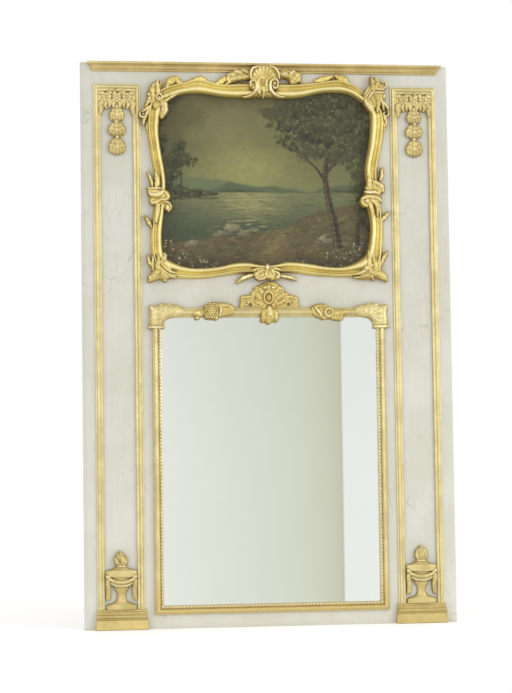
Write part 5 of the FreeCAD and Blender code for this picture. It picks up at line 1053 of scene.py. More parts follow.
def husk_drop(side):
    cx = -494.0 if side < 0 else 499.0
    f = 1 if side < 0 else -1
    cs = []
    c = Carving(cx - 76, cx + 76, 1668, 1766, sight=10)
    X = lambda v: cx + f * v
    # full head of roses and leaves
    c.plate([(X(-56), 1722), (X(-60), 1738), (X(-48), 1750), (X(-30), 1752), (X(-14), 1748), (X(0), 1754), (X(16), 1748), (X(34), 1752), (X(52), 1748),
             (X(60), 1734), (X(54), 1720), (X(34), 1714), (X(20), 1708), (X(0), 1704), (X(-20), 1708), (X(-38), 1714)], 3, 6.5, rim=5)
    for s in (-1, 1):
        leaf(c, [(X(s * 38), 1742), (X(s * 50), 1750), (X(s * 62), 1746)], [7, 8, 3], [9.5, 11, 7], 2, e=[4, 4, 3])
        leaf(c, [(X(s * 26), 1742), (X(s * 22), 1752), (X(s * 30), 1759)], [7, 8, 3], [10, 11, 7], 2, e=[4, 4, 3])
        # hanging ends
        leaf(c, [(X(s * 44), 1726), (X(s * 54), 1712), (X(s * 52), 1698), (X(s * 54), 1682)], [8, 10, 10, 6], [10, 12, 11, 8], 3, e=[4, 4, 3.5, 3], lobe=0.14)
        leaf(c, [(X(s * 34), 1722), (X(s * 38), 1710), (X(s * 34), 1700)], [8, 8, 4], [10, 11, 8], 2, e=[4, 4, 3])
        leaf(c, [(X(s * 12), 1728), (X(s * 22), 1718), (X(s * 24), 1704)], [7, 8, 4], [10.5, 11.5, 8], 2, e=[4, 4, 3])
        # rose: cupped petals round a heart
        for k in range(5):
            a = math.radians(90 + 72 * k)
            c.ball(X(s * 33) + 10.5 * math.cos(a), 1735 + 10.5 * math.sin(a), 8.4, 12.2, 6, rz=6.6, ang=math.degrees(a) + 90)
        c.ring(X(s * 33), 1735, 7.5, 2.4, 13.4, 10)
        c.ball(X(s * 33), 1735, 4.6, 14.5, 9)
    leaf(c, [(X(-3), 1738), (X(-7), 1750), (X(-2), 1761)], [7, 8, 3], [11, 13, 8], 2, e=[5, 5, 4])
    leaf(c, [(X(4), 1738), (X(10), 1749), (X(12), 1757)], [6, 7, 3], [11, 12, 8], 2, e=[5, 5, 4])
    for k in range(6):
        a = math.radians(30 + 60 * k)
        c.ball(X(0) + 9.5 * math.cos(a), 1732 + 9.5 * math.sin(a), 7.2, 13.6, 6, rz=5.4, ang=math.degrees(a))
    c.ball(X(0), 1732, 5.2, 15.5, 9)
    leaf(c, [(X(-7), 1724), (X(-11), 1712), (X(-9), 1700)], [7, 8, 4], [11, 12, 9], 2, e=[5, 5, 4])
    leaf(c, [(X(7), 1724), (X(11), 1712), (X(9), 1700)], [7, 8, 4], [11, 12, 9], 2, e=[5, 5, 4])
    cs.append(c)
    # three bellflowers
    for z1, z0, hw, lean in ((1707.0, 1655.0, 23.0, 0.0), (1657.0, 1606.0, 27.0, -1.5), (1606.0, 1545.0, 26.0, 0.5)):
        c = Carving(cx - 38, cx + 38, z0 - 5, z1 + 6, sight=9)
        d = z1 - z0
        c.plate([(X(lean), z1), (X(0.42 * hw), z1 - 0.14 * d), (X(0.82 * hw), z1 - 0.42 * d), (X(0.98 * hw), z1 - 0.64 * d), (X(0.72 * hw), z1 - 0.84 * d),
                 (X(0.28 * hw), z1 - 0.93 * d), (X(-0.28 * hw), z1 - 0.93 * d), (X(-0.72 * hw), z1 - 0.84 * d), (X(-0.98 * hw), z1 - 0.64 * d),
                 (X(-0.82 * hw), z1 - 0.42 * d), (X(-0.42 * hw), z1 - 0.14 * d)], 3, 7.5, rim=7)
        for s in (-1, 1):
            leaf(c, [(X(s * 3 + lean), z1 - 4), (X(s * 0.46 * hw), z1 - 0.30 * d), (X(s * 0.78 * hw), z1 - 0.58 * d), (X(s * hw * 0.80), z0 + 0.14 * d)],
                 [0.2 * hw, 0.36 * hw, 0.34 * hw, 0.12 * hw], [9, 12.5, 12, 7], 3, e=[3, 4.5, 4.5, 3], lobe=0.1, vein=0.8)
            leaf(c, [(X(s * 0.12 * hw + lean), z1 - 0.28 * d), (X(s * 0.36 * hw), z1 - 0.6 * d), (X(s * 0.40 * hw), z0 + 0.06 * d)],
                 [0.18 * hw, 0.28 * hw, 0.10 * hw], [11, 12.5, 7.5], 2, e=[5, 5, 3], lobe=0.08, vein=0.6, groove=1.2)
        leaf(c, [(X(lean), z1 - 2), (X(lean), z1 - 0.34 * d), (X(lean * 0.5), z1 - 0.66 * d), (X(0), z0)],
             [0.24 * hw, 0.42 * hw, 0.38 * hw, 0.08 * hw], [12, 15.5, 14.5, 7.5], 3, e=[6, 7, 6, 3], lobe=0.08, vein=0.8, groove=1.8)
        c.ball(X(lean), z1 - 2, 7.2, 13.5, 5, rz=6)
        cs.append(c)
    return cs

# ---- meshes ----
def to_row(V):
    A = np.empty((len(V), 3), np.float32)
    A[:, 0] = V[:, 0] / 1000.0
    A[:, 1] = (STILE_Y - V[:, 1]) / 1000.0
    A[:, 2] = V[:, 2] / 1000.0
    return A


def raw_mesh(name, V, groups, cav=None, colour=None):
    me = bpy.data.meshes.new(name)
    loops, starts, n = [], [], 0
    for F in groups:
        F = np.asarray(F, np.int32)
        loops.append(F.ravel())
        starts.append(n + np.arange(len(F), dtype=np.int32) * F.shape[1])
        n += F.size
    L, S = np.concatenate(loops), np.concatenate(starts)
    me.vertices.add(len(V))
    me.loops.add(len(L))
    me.polygons.add(len(S))
    me.vertices.foreach_set("co", to_row(V).ravel())
    me.loops.foreach_set("vertex_index", L.astype(np.int32))
    me.polygons.foreach_set("loop_start", S.astype(np.int32))
    me.update(calc_edges=True)
    a = me.attributes.new("cav", "FLOAT", "POINT")
    a.data.foreach_set("value", np.zeros(len(V), np.float32) if cav is None else np.asarray(cav, np.float32))
    if colour is not None:
        c = me.attributes.new("hue", "FLOAT_COLOR", "POINT")
        c.data.foreach_set("color", np.asarray(colour, np.float32).ravel())
    me.validate(clean_customdata=False)
    return me


def tube(R, C=None, closed=True):
    """Skin over rings R[station, point] (closed loops), with a flat face on each end."""
    ns, nt = R.shape[:2]
    i = np.arange(ns * nt).reshape(ns, nt)
    nxt = np.roll(i, -1, axis=1)
    Q = np.stack([i[:-1], nxt[:-1], nxt[1:], i[1:]], -1).reshape(-1, 4)
    caps = [i[0][::-1][None, :], i[-1][None, :]]
    cav = np.zeros(ns * nt) if C is None else np.broadcast_to(C, (ns, nt)).ravel()
    return R.reshape(-1, 3), [Q] + caps, cav, False


def carving_part(c, back, floor=None):
    V, faces, walls, under, C = c.mesh(back, floor)
    return V, list(faces.values()) + [walls], C, True


def crowning(d, o, reach=3.0):
    # how far each point of a section stands above (+) or below (-) what is beside it, mm
    g = np.linspace(o.min() - reach, o.max() + reach, 400)
    m = o.argsort(kind="stable")
    y = np.interp(g, o[m], d[m])
    n = max(1, int(reach / (g[1] - g[0])))
    k = np.ones(2 * n + 1) / (2 * n + 1)
    b = np.convolve(np.pad(y, n, mode="edge"), k, mode="valid")
    return d - np.interp(o, g, b)


PIECES = []


def piece(name, parts, node, material, body="frame", sharp=42, keep_open=False):
    """One object from several closed parts; each (vertices, face groups, hollows, needs its underside filled)."""
    bm = bmesh.new()
    for V, groups, C, fill in parts:
        me = raw_mesh(name + ".part", V, groups, C)
        b = bmesh.new()
        b.from_mesh(me)
        if fill:
            rim = [e for e in b.edges if e.is_boundary]
            bmesh.ops.triangle_fill(b, use_beauty=True, use_dissolve=False, edges=rim)
        bmesh.ops.recalc_face_normals(b, faces=b.faces[:])
        b.to_mesh(me)
        b.free()
        bm.from_mesh(me)
        bpy.data.meshes.remove(me)
    me = bpy.data.meshes.new(name)
    bm.to_mesh(me)
    bm.free()
    me.shade_smooth()
    me.set_sharp_from_angle(angle=math.radians(sharp))
    ob = bpy.data.objects.new(name, me)
    bpy.context.scene.collection.objects.link(ob)
    me.materials.append(material)
    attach(ob, body)
    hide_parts(*([node] if isinstance(node, str) else node))
    PIECES.append(ob)
    return ob


# ---- mouldings ----
def wobble(s, seed, size, amp):
    return amp * fractal(s, np.zeros_like(s) + seed * 3.1, size, seed, 3)


def dense(section, step):
    # points of a section, closer together, corners kept
    out = []
    for (a0, b0), (a1, b1) in zip(section[:-1], section[1:]):
        n = max(1, int(math.ceil(math.hypot(a1 - a0, b1 - b0) / step)))
        for k in range(n):
            f = k / n
            out.append((a0 + (a1 - a0) * f, b0 + (b1 - b0) * f))
    out.append(section[-1])
    return np.array(out)


def rounded(section, step=0.8, n=1):
    # the same, with its corners eased as gesso and leaf ease them
    P = dense(section, step)
    for _ in range(n):
        Q = P.copy()
        Q[1:-1] = 0.25 * P[:-2] + 0.5 * P[1:-1] + 0.25 * P[2:]
        P = Q
    return P


def painting_frame_run(i0, i1, seed):
    """Length of the shaped frame between two stations of its course."""
    N = len(COURSE_O)
    idx = np.arange(i0, i1 + 1) % N
    O, I = COURSE_O[idx], COURSE_I[idx]
    front = np.array(FRAME_SECTION)
    ts = np.concatenate([np.linspace(a, b, 4, endpoint=False) for a, b in zip(front[:-1, 0], front[1:, 0])] + [[1.0]])
    ds = np.interp(ts, front[:, 0], front[:, 1])
    k = np.ones(5) / 5
    ds = np.convolve(np.pad(ds, 2, mode="edge"), k, mode="valid")
    cv = 0.45 * crowning(ds, ts * 42.0, 3.5) + np.interp(ts, *zip(*FRAME_PATINA_AND_SHADING))
    ring_t = np.concatenate([[0.0], ts, [1.0, 0.68, 0.68]])
    ring_d = np.concatenate([[0.0], ds, [-5.4, -5.4, 0.0]])
    # painted shade: the outer foot and the lip that drops to the canvas get lower values, so they are drawn darker
    ring_c = np.concatenate([[cv[0] - 1.5], cv, [-2.5, -2.5, -2.5]])
    s = np.cumsum(np.concatenate([[0], np.hypot(*(np.diff(O, axis=0).T))]))
    h = 1.0 + wobble(s, seed, 70.0, 0.016)
    lean = wobble(s, seed + 5, 50.0, 0.010)
    T = ring_t[None, :] + lean[:, None] * np.sin(math.pi * np.clip(ring_t, 0, 1))[None, :]
    P = np.empty((len(idx), len(ring_t), 3))
    P[..., 0] = O[:, None, 0] * (1 - T) + I[:, None, 0] * T
    P[..., 2] = O[:, None, 1] * (1 - T) + I[:, None, 1] * T
    D = np.repeat(ring_d[None, :], len(idx), 0)
    up = D > 1
    grain = fractal(s[:, None] + 0 * T, T * 40.0 + seed * 77, 5.0, seed + 9, 3)
    P[..., 1] = np.where(up, D * h[:, None] + 0.28 * grain, D)
    return tube(P, ring_c[None, :] + 0.5 * grain)


def straight_run(section, tongue, a, b, place, seed, step=2.0, extra=None, ease=1):
    """A straight moulding. section: (offset in from its outer edge, height); tongue: points that close it behind.
    a(o), b(o): its two ends at an offset; place(o, d, s): where a point is."""
    F = rounded(section, 0.8, ease)
    o = np.concatenate([F[:, 0], [p[0] for p in tongue]])
    d = np.concatenate([F[:, 1], [p[1] for p in tongue]])
    c = np.concatenate([crowning(F[:, 1], F[:, 0], 3.0), [-2.0] * len(tongue)])
    L = abs(b(0.0) - a(0.0))
    n = max(2, int(L / step) + 1)
    f = np.linspace(0, 1, n)[:, None]
    A, B = np.array([a(q) for q in o])[None, :], np.array([b(q) for q in o])[None, :]
    S = A + (B - A) * f
    O = np.repeat(o[None, :], n, 0)
    D = np.repeat(d[None, :], n, 0)
    up = D > 0.5
    fine = fractal(S, O + seed * 31.0, 6.0, seed, 3)
    slow = fractal(S, O * 0.3 + seed * 13.0, 90.0, seed + 3, 2)
    D = np.where(up, D + 0.16 * fine + 0.30 * slow, D)
    C = c[None, :] + 0.5 * fine
    if extra is not None:
        add, addc = extra(S, O)
        D = np.where(up, D + add, D)
        C = C + addc
    P = np.empty((n, len(o), 3))
    P[..., 0], P[..., 1], P[..., 2] = place(O, D, S)
    return tube(P, C)


STRIP = [(0, 0), (0, 4.0), (0.6, 4.6), (3.2, 5.2), (4.6, 6.4), (5.4, 8.6), (7.2, 10.0), (9.4, 10.4), (11.6, 10.0), (13.6, 8.9),
         (14.8, 6.6), (15.6, 5.4), (17.2, 5.0), (22.6, 4.4), (23.3, 3.8)]


def pilaster_runs(side, seed):
    out = []
    for x_out, dirn, t0 in ((571.0, -1, 15.2), (417.5, 1, 12.0)):
        out.append(straight_run(STRIP, [(23.3, -3.95), (t0, -3.95), (t0, 0.0)], lambda o: 64.0, lambda o: 1778.0 - o,
                                lambda O, D, S, x_out=x_out, dirn=dirn: (side * (x_out + dirn * O), D, S), seed, 2.6))
        seed += 1
    out.append(straight_run(STRIP, [(23.3, -3.95), (12.8, -3.95), (12.8, 0.0)], lambda o: 417.5 + o, lambda o: 571.0 - o,
                            lambda O, D, S: (side * S, D, 1778.0 - O), seed, 2.0))
    return out


MF_OUT, MF_TOP, MF_BOT, MF_W, TOP_WIDER = 386.0, 1041.5, 44.5, 30.0, 1.1
MIRROR_SECTION = [(0, 0), (0, 4.4), (0.5, 5.6), (1.3, 8.6), (2.2, 11.6), (3.7, 14.6), (5.8, 17.0), (8.3, 18.9), (10.8, 19.5), (13.4, 19.2),
                  (15.6, 18.0), (17.2, 16.0), (18.2, 13.6), (19.0, 11.8), (20.0, 10.8), (21.2, 10.3), (26.4, 10.0), (27.0, 10.2), (27.8, 8.6),
                  (28.5, 6.0), (29.5, 4.0), (30.0, 2.8), (30.0, 0)]
BEAD_O, BEAD_R, BEAD_PITCH = 23.8, 3.7, 11.2


def beads(phase, seed):
    # a row of low, rubbed pearls, each pair parted by a small gap drawn darker as painted shade
    def add(S, O):
        k = np.round((S - phase) / BEAD_PITCH)
        ds, do = S - phase - k * BEAD_PITCH, O - BEAD_O
        q = (np.abs(ds) / (BEAD_PITCH * 0.46)) ** 3 + (np.abs(do) / BEAD_R) ** 2
        size = 1.0 + 0.14 * np.sin(k * 12.9898 + seed)
        b = 3.2 * size * np.sqrt(np.clip(1 - q, 0, 1))
        gap = np.clip(1 - (np.abs(np.abs(ds) - BEAD_PITCH / 2)) / 1.5, 0, 1) * np.clip(1 - np.abs(do) / 3.4, 0, 1)
        return b, 0.32 * b - 1.5 * gap
    return add


def mirror_runs():
    out = {}
    for side, name in ((-1, "mirror_frame_left"), (1, "mirror_frame_right")):
        out[name] = [straight_run(MIRROR_SECTION, [], lambda o: MF_BOT + o, lambda o: 1000.0 - 0.0 * o,
                                  lambda O, D, S, side=side: (side * (MF_OUT - O), D, S), 41 + side, 1.15, beads(50.0, side), ease=1)]
    out["mirror_frame_bottom"] = [straight_run(MIRROR_SECTION, [], lambda o: -MF_OUT + o, lambda o: MF_OUT - o,
                                               lambda O, D, S: (S, D, MF_BOT + O), 47, 1.15, beads(0.0, 3), ease=1)]
    # the top run is plain: its lower round is smooth
    top = [(0, 0), (0, 4.4), (0.5, 5.6), (1.3, 8.6), (2.6, 11.4), (4.6, 13.4), (7.0, 14.8), (10.0, 17.2), (13.0, 18.8), (15.6, 19.4), (18.0, 18.6),
           (20.2, 16.4), (22.0, 13.2), (23.4, 10.6), (25.0, 9.0), (26.6, 8.2), (28.0, 6.4), (29.2, 4.2), (30.0, 2.8), (30.0, 0)]
    out["mirror_frame_top"] = [straight_run(top, [], lambda o: -346.0, lambda o: 346.0,
                                            lambda O, D, S: (S, D, MF_TOP - O * TOP_WIDER), 53, 1.15, None, ease=1)]
    return out


def mirror_height(X, Z):
    # height of the mirror frame's moulding at any (x, z)
    s = np.array(MIRROR_SECTION)
    o = np.minimum(np.minimum(MF_OUT - np.abs(X), (MF_TOP - Z) / TOP_WIDER), Z - MF_BOT)
    inside = (o >= 0) & (o <= MF_W)
    return np.where(inside, np.interp(o, s[:, 0], s[:, 1]), NONE)


def over_mirror_frame(c):
    f = mirror_height(c.X, c.Z)
    return np.where(f > NONE / 2, f - 0.2, 0.4)


def ringed(levels, steps_front, corner=0.8):
    """A block moulded on its front and two ends. levels: (z, x0, x1, d) from the bottom up, each a rectangle from the
    board out to depth d, its outer corners eased."""
    rings = []
    for z, x0, x1, d in levels:
        c = min(corner, d * 0.4)
        pts = [(x0, 0.0), (x0, d * 0.5), (x0, d - c), (x0 + 0.3 * c, d - 0.3 * c), (x0 + c, d)]
        pts += [(x0 + c + (x1 - x0 - 2 * c) * k / steps_front, d) for k in range(1, steps_front)]
        pts += [(x1 - c, d), (x1 - 0.3 * c, d - 0.3 * c), (x1, d - c), (x1, d * 0.5), (x1, 0.0)]
        rings.append([(x, dd, z) for x, dd in pts])
    return np.array(rings, float)


def ringed_part(levels, steps_front, seed, corner=0.8, reach=3.0):
    R = ringed(levels, steps_front, corner)
    zs, ds = R[:, 0, 2], np.array([l[3] for l in levels], float)
    s = np.concatenate([[0], np.cumsum(np.hypot(np.diff(zs), np.diff(ds)))])
    c = crowning(ds, s, reach)
    n = fractal(R[..., 0], R[..., 2] + seed * 17, 7.0, seed, 3)
    slow = fractal(R[..., 0], R[..., 2] * 0.2 + seed * 5, 120.0, seed + 2, 2)
    front = R[..., 1] > 2.0
    R[..., 1] = np.where(front, R[..., 1] + 0.15 * n + 0.25 * slow, R[..., 1])
    return tube(R, c[:, None] + 0.5 * n)


CORNICE = [(5.0, 1820.5), (6.6, 1821.6), (7.2, 1823.6), (6.8, 1825.2), (6.2, 1826.4), (8.4, 1827.0), (10.4, 1828.0), (11.1, 1829.6), (10.8, 1831.0),
           (9.2, 1832.2), (8.8, 1833.6), (9.0, 1835.4), (10.2, 1837.2), (12.6, 1839.2), (15.6, 1840.9), (18.4, 1842.0), (19.0, 1842.5), (20.8, 1843.0),
           (21.8, 1844.0), (22.0, 1845.2), (22.0, 1849.3), (21.5, 1850.0)]


def cornice_part():
    P = rounded(CORNICE, 0.5, 1)
    P[-1, 1] = 1850.0
    lev = [(z, -(590.0 - (22.0 - d)), 590.0 - (22.0 - d), d) for d, z in P]
    return ringed_part(lev, 420, 61, 0.7, 2.2)


def base_part(side):
    prof = [(37.0, 16.6), (37.4, 17.2), (39.0, 18.6), (41.0, 19.4), (44.0, 19.5), (46.6, 18.2), (48.0, 16.2), (48.6, 14.2), (49.6, 13.4), (51.6, 13.8),
            (53.4, 14.4), (56.0, 13.8), (57.8, 12.2), (58.8, 10.0), (60.0, 9.0), (62.6, 8.8), (64.0, 7.6), (65.4, 6.2)]
    P = rounded(prof, 0.7, 1)
    lev = []
    for z, d in P:
        i = (19.5 - d) * 0.12
        a, b = sorted((side * (412.0 + i), side * (573.5 - i)))
        lev.append((z, a, b, d))
    return ringed_part(lev, 90, 67 + side, 0.8)


def plinth_part(side):
    prof = [(0.0, 22.0), (0.6, 22.8), (2.0, 23.0), (12.0, 21.9), (22.0, 20.9), (29.4, 20.1), (31.0, 19.6), (31.8, 18.0), (32.6, 17.2), (33.6, 17.2), (34.2, 18.2),
            (34.9, 19.2), (36.2, 19.2), (37.0, 18.6)]
    P = rounded(prof, 0.8, 1)
    P[0, 0], P[-1, 0] = 0.0, 37.0
    lev = []
    for z, d in P:
        k = z / 37.0
        i = 3.5 * k + max(0.0, 19.2 + 2.4 * (1 - k) - d) * 0.35
        a, b = sorted((side * (407.0 + i), side * (578.0 - i)))
        lev.append((z, a, b, d))
    return ringed_part(lev, 90, 71 + side, 1.0)


# ---- the picture: an invented lake landscape, laid on in dabs ----
def srgb(r, g, b):
    c = np.array([r, g, b], float) / 255.0
    return np.where(c <= 0.04045, c / 12.92, ((c + 0.055) / 1.055) ** 2.4)


class Picture:
    def __init__(self, half=379.5, z0=1153.5, z1=1792.5, h=2.3):
        self.x = np.linspace(-half, half, int(2 * half / h) + 1)
        self.z = np.linspace(z0, z1, int((z1 - z0) / h) + 1)
        self.X, self.Z = np.meshgrid(self.x, self.z)
        self.K = np.zeros(self.X.shape + (3,))
        self.T = np.zeros(self.X.shape)       # thickness of the paint
        self.rs = np.random.RandomState(2417)

    def wash(self, mask, colour, amount=1.0):
        m = (np.clip(mask, 0, 1) * amount)[..., None]
        self.K = self.K * (1 - m) + np.asarray(colour, float) * m

    def dab(self, x, z, r, rz, ang, colour, strength=0.9, hard=2.0, body=0.25):
        m = max(r, rz)
        i0, i1 = np.searchsorted(self.x, [x - m, x + m])
        j0, j1 = np.searchsorted(self.z, [z - m, z + m])
        if i1 <= i0 or j1 <= j0:
            return
        w = (slice(j0, j1), slice(i0, i1))
        dx, dz = self.X[w] - x, self.Z[w] - z
        c, s = math.cos(ang), math.sin(ang)
        u, v = (dx * c + dz * s) / r, (-dx * s + dz * c) / rz
        q = np.clip((1 - u * u - v * v) * hard, 0, 1)
        q = q * (0.72 + 0.28 * np.sin(v * 9.0 + x))      # streaks left by the bristles
        a = (q * strength)[..., None]
        self.K[w] = self.K[w] * (1 - a) + np.asarray(colour) * a
        self.T[w] = np.maximum(self.T[w] * (1 - 0.4 * q), body * q)

    def foliage(self, cx, cz, rx, rz, dark, mid, light, n, size, lit=(-0.6, 0.8), up=0.0):
        # a clump of leaves: dark dabs first, lighter ones where the light falls
        rs = self.rs
        for k in range(n):
            a, q = rs.uniform(0, 2 * math.pi), rs.uniform(0, 1) ** 0.55
            x, z = cx + rx * q * math.cos(a), cz + rz * q * math.sin(a)
            f = k / n
            face = (math.cos(a) * lit[0] + math.sin(a) * lit[1]) * q
            t = np.clip(0.25 + 0.55 * face + 0.25 * rs.normal() * 0.6, 0, 1) * min(1.0, 0.25 + f * 1.1)
            col = dark * (1 - t) + mid * t if t < 0.6 else mid * (1 - (t - 0.6) / 0.4) + light * ((t - 0.6) / 0.4)
            col = col * rs.uniform(0.86, 1.14)
            s = size * rs.uniform(0.55, 1.25) * (1.25 - 0.55 * f)
            self.dab(x, z, s, s * rs.uniform(0.4, 0.75), rs.uniform(0, math.pi), col, rs.uniform(0.55, 0.95), 2.5, 0.5)

    def trunk(self, pts, w, dark, light):
        P = smooth_line(pts, 2.0)
        L = len(P)
        for i, (x, z) in enumerate(P):
            t = i / L
            ww = w * (1 - 0.62 * t)
            self.dab(x, z, ww, 3.0, 0.0, dark, 0.95, 3.0, 0.4)
            self.dab(x - ww * 0.35, z, ww * 0.35, 2.6, 0.2, light * self.rs.uniform(0.8, 1.2), 0.6, 2.0, 0.6)


def paint_picture():
    P = Picture()
    X, Z, rs = P.X, P.Z, P.rs
    v = (Z - 1153.5) / 639.0
    u = X / 360.0
    n1 = fractal(X, Z, 150.0, 5, 5)
    n2 = fractal(X * 0.5, Z, 60.0, 9, 5)
    n3 = fractal(X * 0.3, Z, 14.0, 13, 4)
    # sky, warm and greenish near the water, greyer above
    top, mid, low, glow = srgb(97, 90, 54), srgb(100, 100, 62), srgb(120, 122, 78), srgb(158, 154, 94)
    hz = 0.43
    t = np.clip((v - hz) / (1 - hz), 0, 1)[..., None]
    P.K = np.where(t < 0.4, low * (1 - t / 0.4) + mid * (t / 0.4), mid * (1 - (t - 0.4) / 0.6) + top * ((t - 0.4) / 0.6))
    g = np.exp(-((u + 0.18) / 0.42) ** 2 - ((v - 0.55) / 0.16) ** 2)
    P.wash(g * 0.85 + 0.12 * n1, glow, 0.75)
    cloud = np.clip(1.9 * (n1 * 0.7 + n2 * 0.5) + 0.25, 0, 1) * np.clip((v - 0.5) * 4, 0, 1)
    P.wash(cloud, srgb(132, 128, 90), 0.42)
    P.wash(np.clip(-1.6 * (n1 + 0.3 * n2) - 0.05, 0, 1) * np.clip((v - 0.55) * 3, 0, 1), srgb(74, 80, 58), 0.5)
    for _ in range(900):
        x, z = rs.uniform(-380, 380), rs.uniform(1153 + 639 * 0.45, 1793)
        i, j = np.searchsorted(P.x, x), np.searchsorted(P.z, z)
        col = P.K[min(j, len(P.z) - 1), min(i, len(P.x) - 1)] * rs.uniform(0.9, 1.1) * np.array([1.0, 1.0, rs.uniform(0.9, 1.05)])
        P.dab(x, z, rs.uniform(12, 34), rs.uniform(3, 8), rs.uniform(-0.35, 0.25), col, 0.6, 1.6, 0.2)
    # far hills
    for k, (base, amp, size, col, s) in enumerate(((0.475, 0.055, 190.0, srgb(100, 110, 80), 21), (0.452, 0.045, 120.0, srgb(82, 94, 68), 22),
                                                   (0.436, 0.022, 60.0, srgb(64, 74, 50), 23))):
        ridge = base + amp * fractal(X, X * 0 + 11.0 * s, size, s, 4) + 0.03 * np.cos((u + 0.7) * 2.2) * (1 if k == 0 else 0)
        m = np.clip((ridge - v) * 90, 0, 1) * (v > 0.40)
        P.wash(m, col * 1.0, 0.93)
        P.wash(m * np.clip(n3 * 1.5, 0, 1), col * 1.25, 0.5)
    # lake
    lake = np.clip((0.425 - v) * 120, 0, 1)
    wt = np.clip((0.425 - v) / 0.2, 0, 1)[..., None]
    water = srgb(118, 122, 82) * (1 - wt) + srgb(68, 78, 56) * wt
    m = lake[..., None]
    P.K = P.K * (1 - m) + water * m
    P.wash(lake * np.exp(-((u + 0.16) / 0.26) ** 2) * np.clip((v - 0.27) * 12, 0, 1), srgb(154, 150, 98), 0.7)
    for _ in range(620):
        x, z = rs.uniform(-380, 330), rs.uniform(1153 + 639 * 0.22, 1153 + 639 * 0.42)
        f = math.exp(-((x / 360.0 + 0.16) / 0.3) ** 2)
        col = srgb(84, 94, 68) * (1 - f) + srgb(176, 170, 118) * f if rs.uniform() < 0.45 else srgb(66, 76, 56)
        P.dab(x, z, rs.uniform(8, 36), rs.uniform(1.2, 2.6), rs.uniform(-0.03, 0.03), col, rs.uniform(0.25, 0.6), 2.0, 0.3)
    # far bank and reeds on the left
    for cx, cz, rx, rz, n in ((-318, 1425, 64, 22, 190), (-250, 1420, 50, 14, 110), (-345, 1462, 42, 34, 170), (-190, 1418, 26, 7, 46)):
        P.foliage(cx, cz, rx, rz, srgb(48, 50, 32), srgb(84, 90, 56), srgb(134, 138, 88), n, 7.0)
    for x in range(-368, -160, 7):
        P.dab(x + rs.uniform(-3, 3), 1403 + rs.uniform(-3, 3), 8, 3, 0.0, srgb(58, 58, 40) * rs.uniform(0.8, 1.2), 0.8)
    # slender trees standing on that bank
    for bx, lean, hgt in ((-322, 12, 150), (-286, 4, 118), (-352, -8, 180)):
        P.trunk([(bx, 1408), (bx + lean * 0.5, 1408 + hgt * 0.5), (bx + lean, 1408 + hgt)], 4.4, srgb(52, 44, 32), srgb(112, 104, 78))
        for q in range(7):
            P.foliage(bx + lean + rs.uniform(-28, 28), 1408 + hgt * rs.uniform(0.66, 1.16), 26, 20, srgb(50, 54, 34), srgb(86, 92, 58), srgb(138, 140, 90), 60, 6.5)
    # dark ground in front
    bank = 0.245 + 0.06 * np.cos((u - 0.9) * 1.9) + 0.030 * fractal(X, X * 0 + 55.0, 90.0, 31, 4) + 0.10 * np.clip(u - 0.1, 0, 1)
    m = np.clip((bank - v) * 60, 0, 1)
    ground = srgb(92, 80, 54)[None, None, :] * (1 + 0.28 * n3[..., None] + 0.2 * n1[..., None])
    P.K = P.K * (1 - m[..., None]) + ground * m[..., None]
    P.wash(np.clip((0.13 - v) * 9, 0, 1), srgb(80, 68, 50), 0.75)
    path = np.exp(-((u + 0.02 - 0.9 * (v - 0.05)) / (0.16 - 0.35 * v)) ** 2) * np.clip((bank - v) * 12, 0, 1)
    P.wash(path, srgb(150, 132, 86), 0.55)
    for _ in range(1500):
        x = rs.uniform(-380, 380)
        z = 1153 + 639 * rs.uniform(0.0, 0.30)
        j, i = min(np.searchsorted(P.z, z), len(P.z) - 1), min(np.searchsorted(P.x, x), len(P.x) - 1)
        if (z - 1153.5) / 639.0 > bank[j, i]:
            continue
        tone = rs.choice(5)
        col = (srgb(66, 58, 38), srgb(106, 94, 58), srgb(92, 94, 54), srgb(132, 118, 76), srgb(80, 68, 50))[tone] * rs.uniform(0.8, 1.2)
        P.dab(x, z, rs.uniform(5, 17), rs.uniform(1.8, 4.5), rs.uniform(-0.3, 0.5), col, rs.uniform(0.35, 0.8), 2.0, 0.4)
    # rocks at the water's edge
    for bx, bz, w in ((-120, 1296, 34), (-76, 1286, 24), (-160, 1284, 22), (196, 1262, 30), (236, 1250, 20), (-246, 1250, 26)):
        for k in range(26):
            a = rs.uniform(0, 2 * math.pi)
            q = rs.uniform(0, 1)
            x, z = bx + w * q * math.cos(a), bz + 0.55 * w * q * math.sin(a)
            f = np.clip(0.5 + 0.5 * (math.sin(a) * q) - 0.3 * math.cos(a) * q, 0, 1)
            P.dab(x, z, w * 0.34, w * 0.18, rs.uniform(-0.6, 0.6), srgb(62, 56, 46) * (1 - f) + srgb(150, 140, 108) * f, 0.8, 2.4, 0.5)
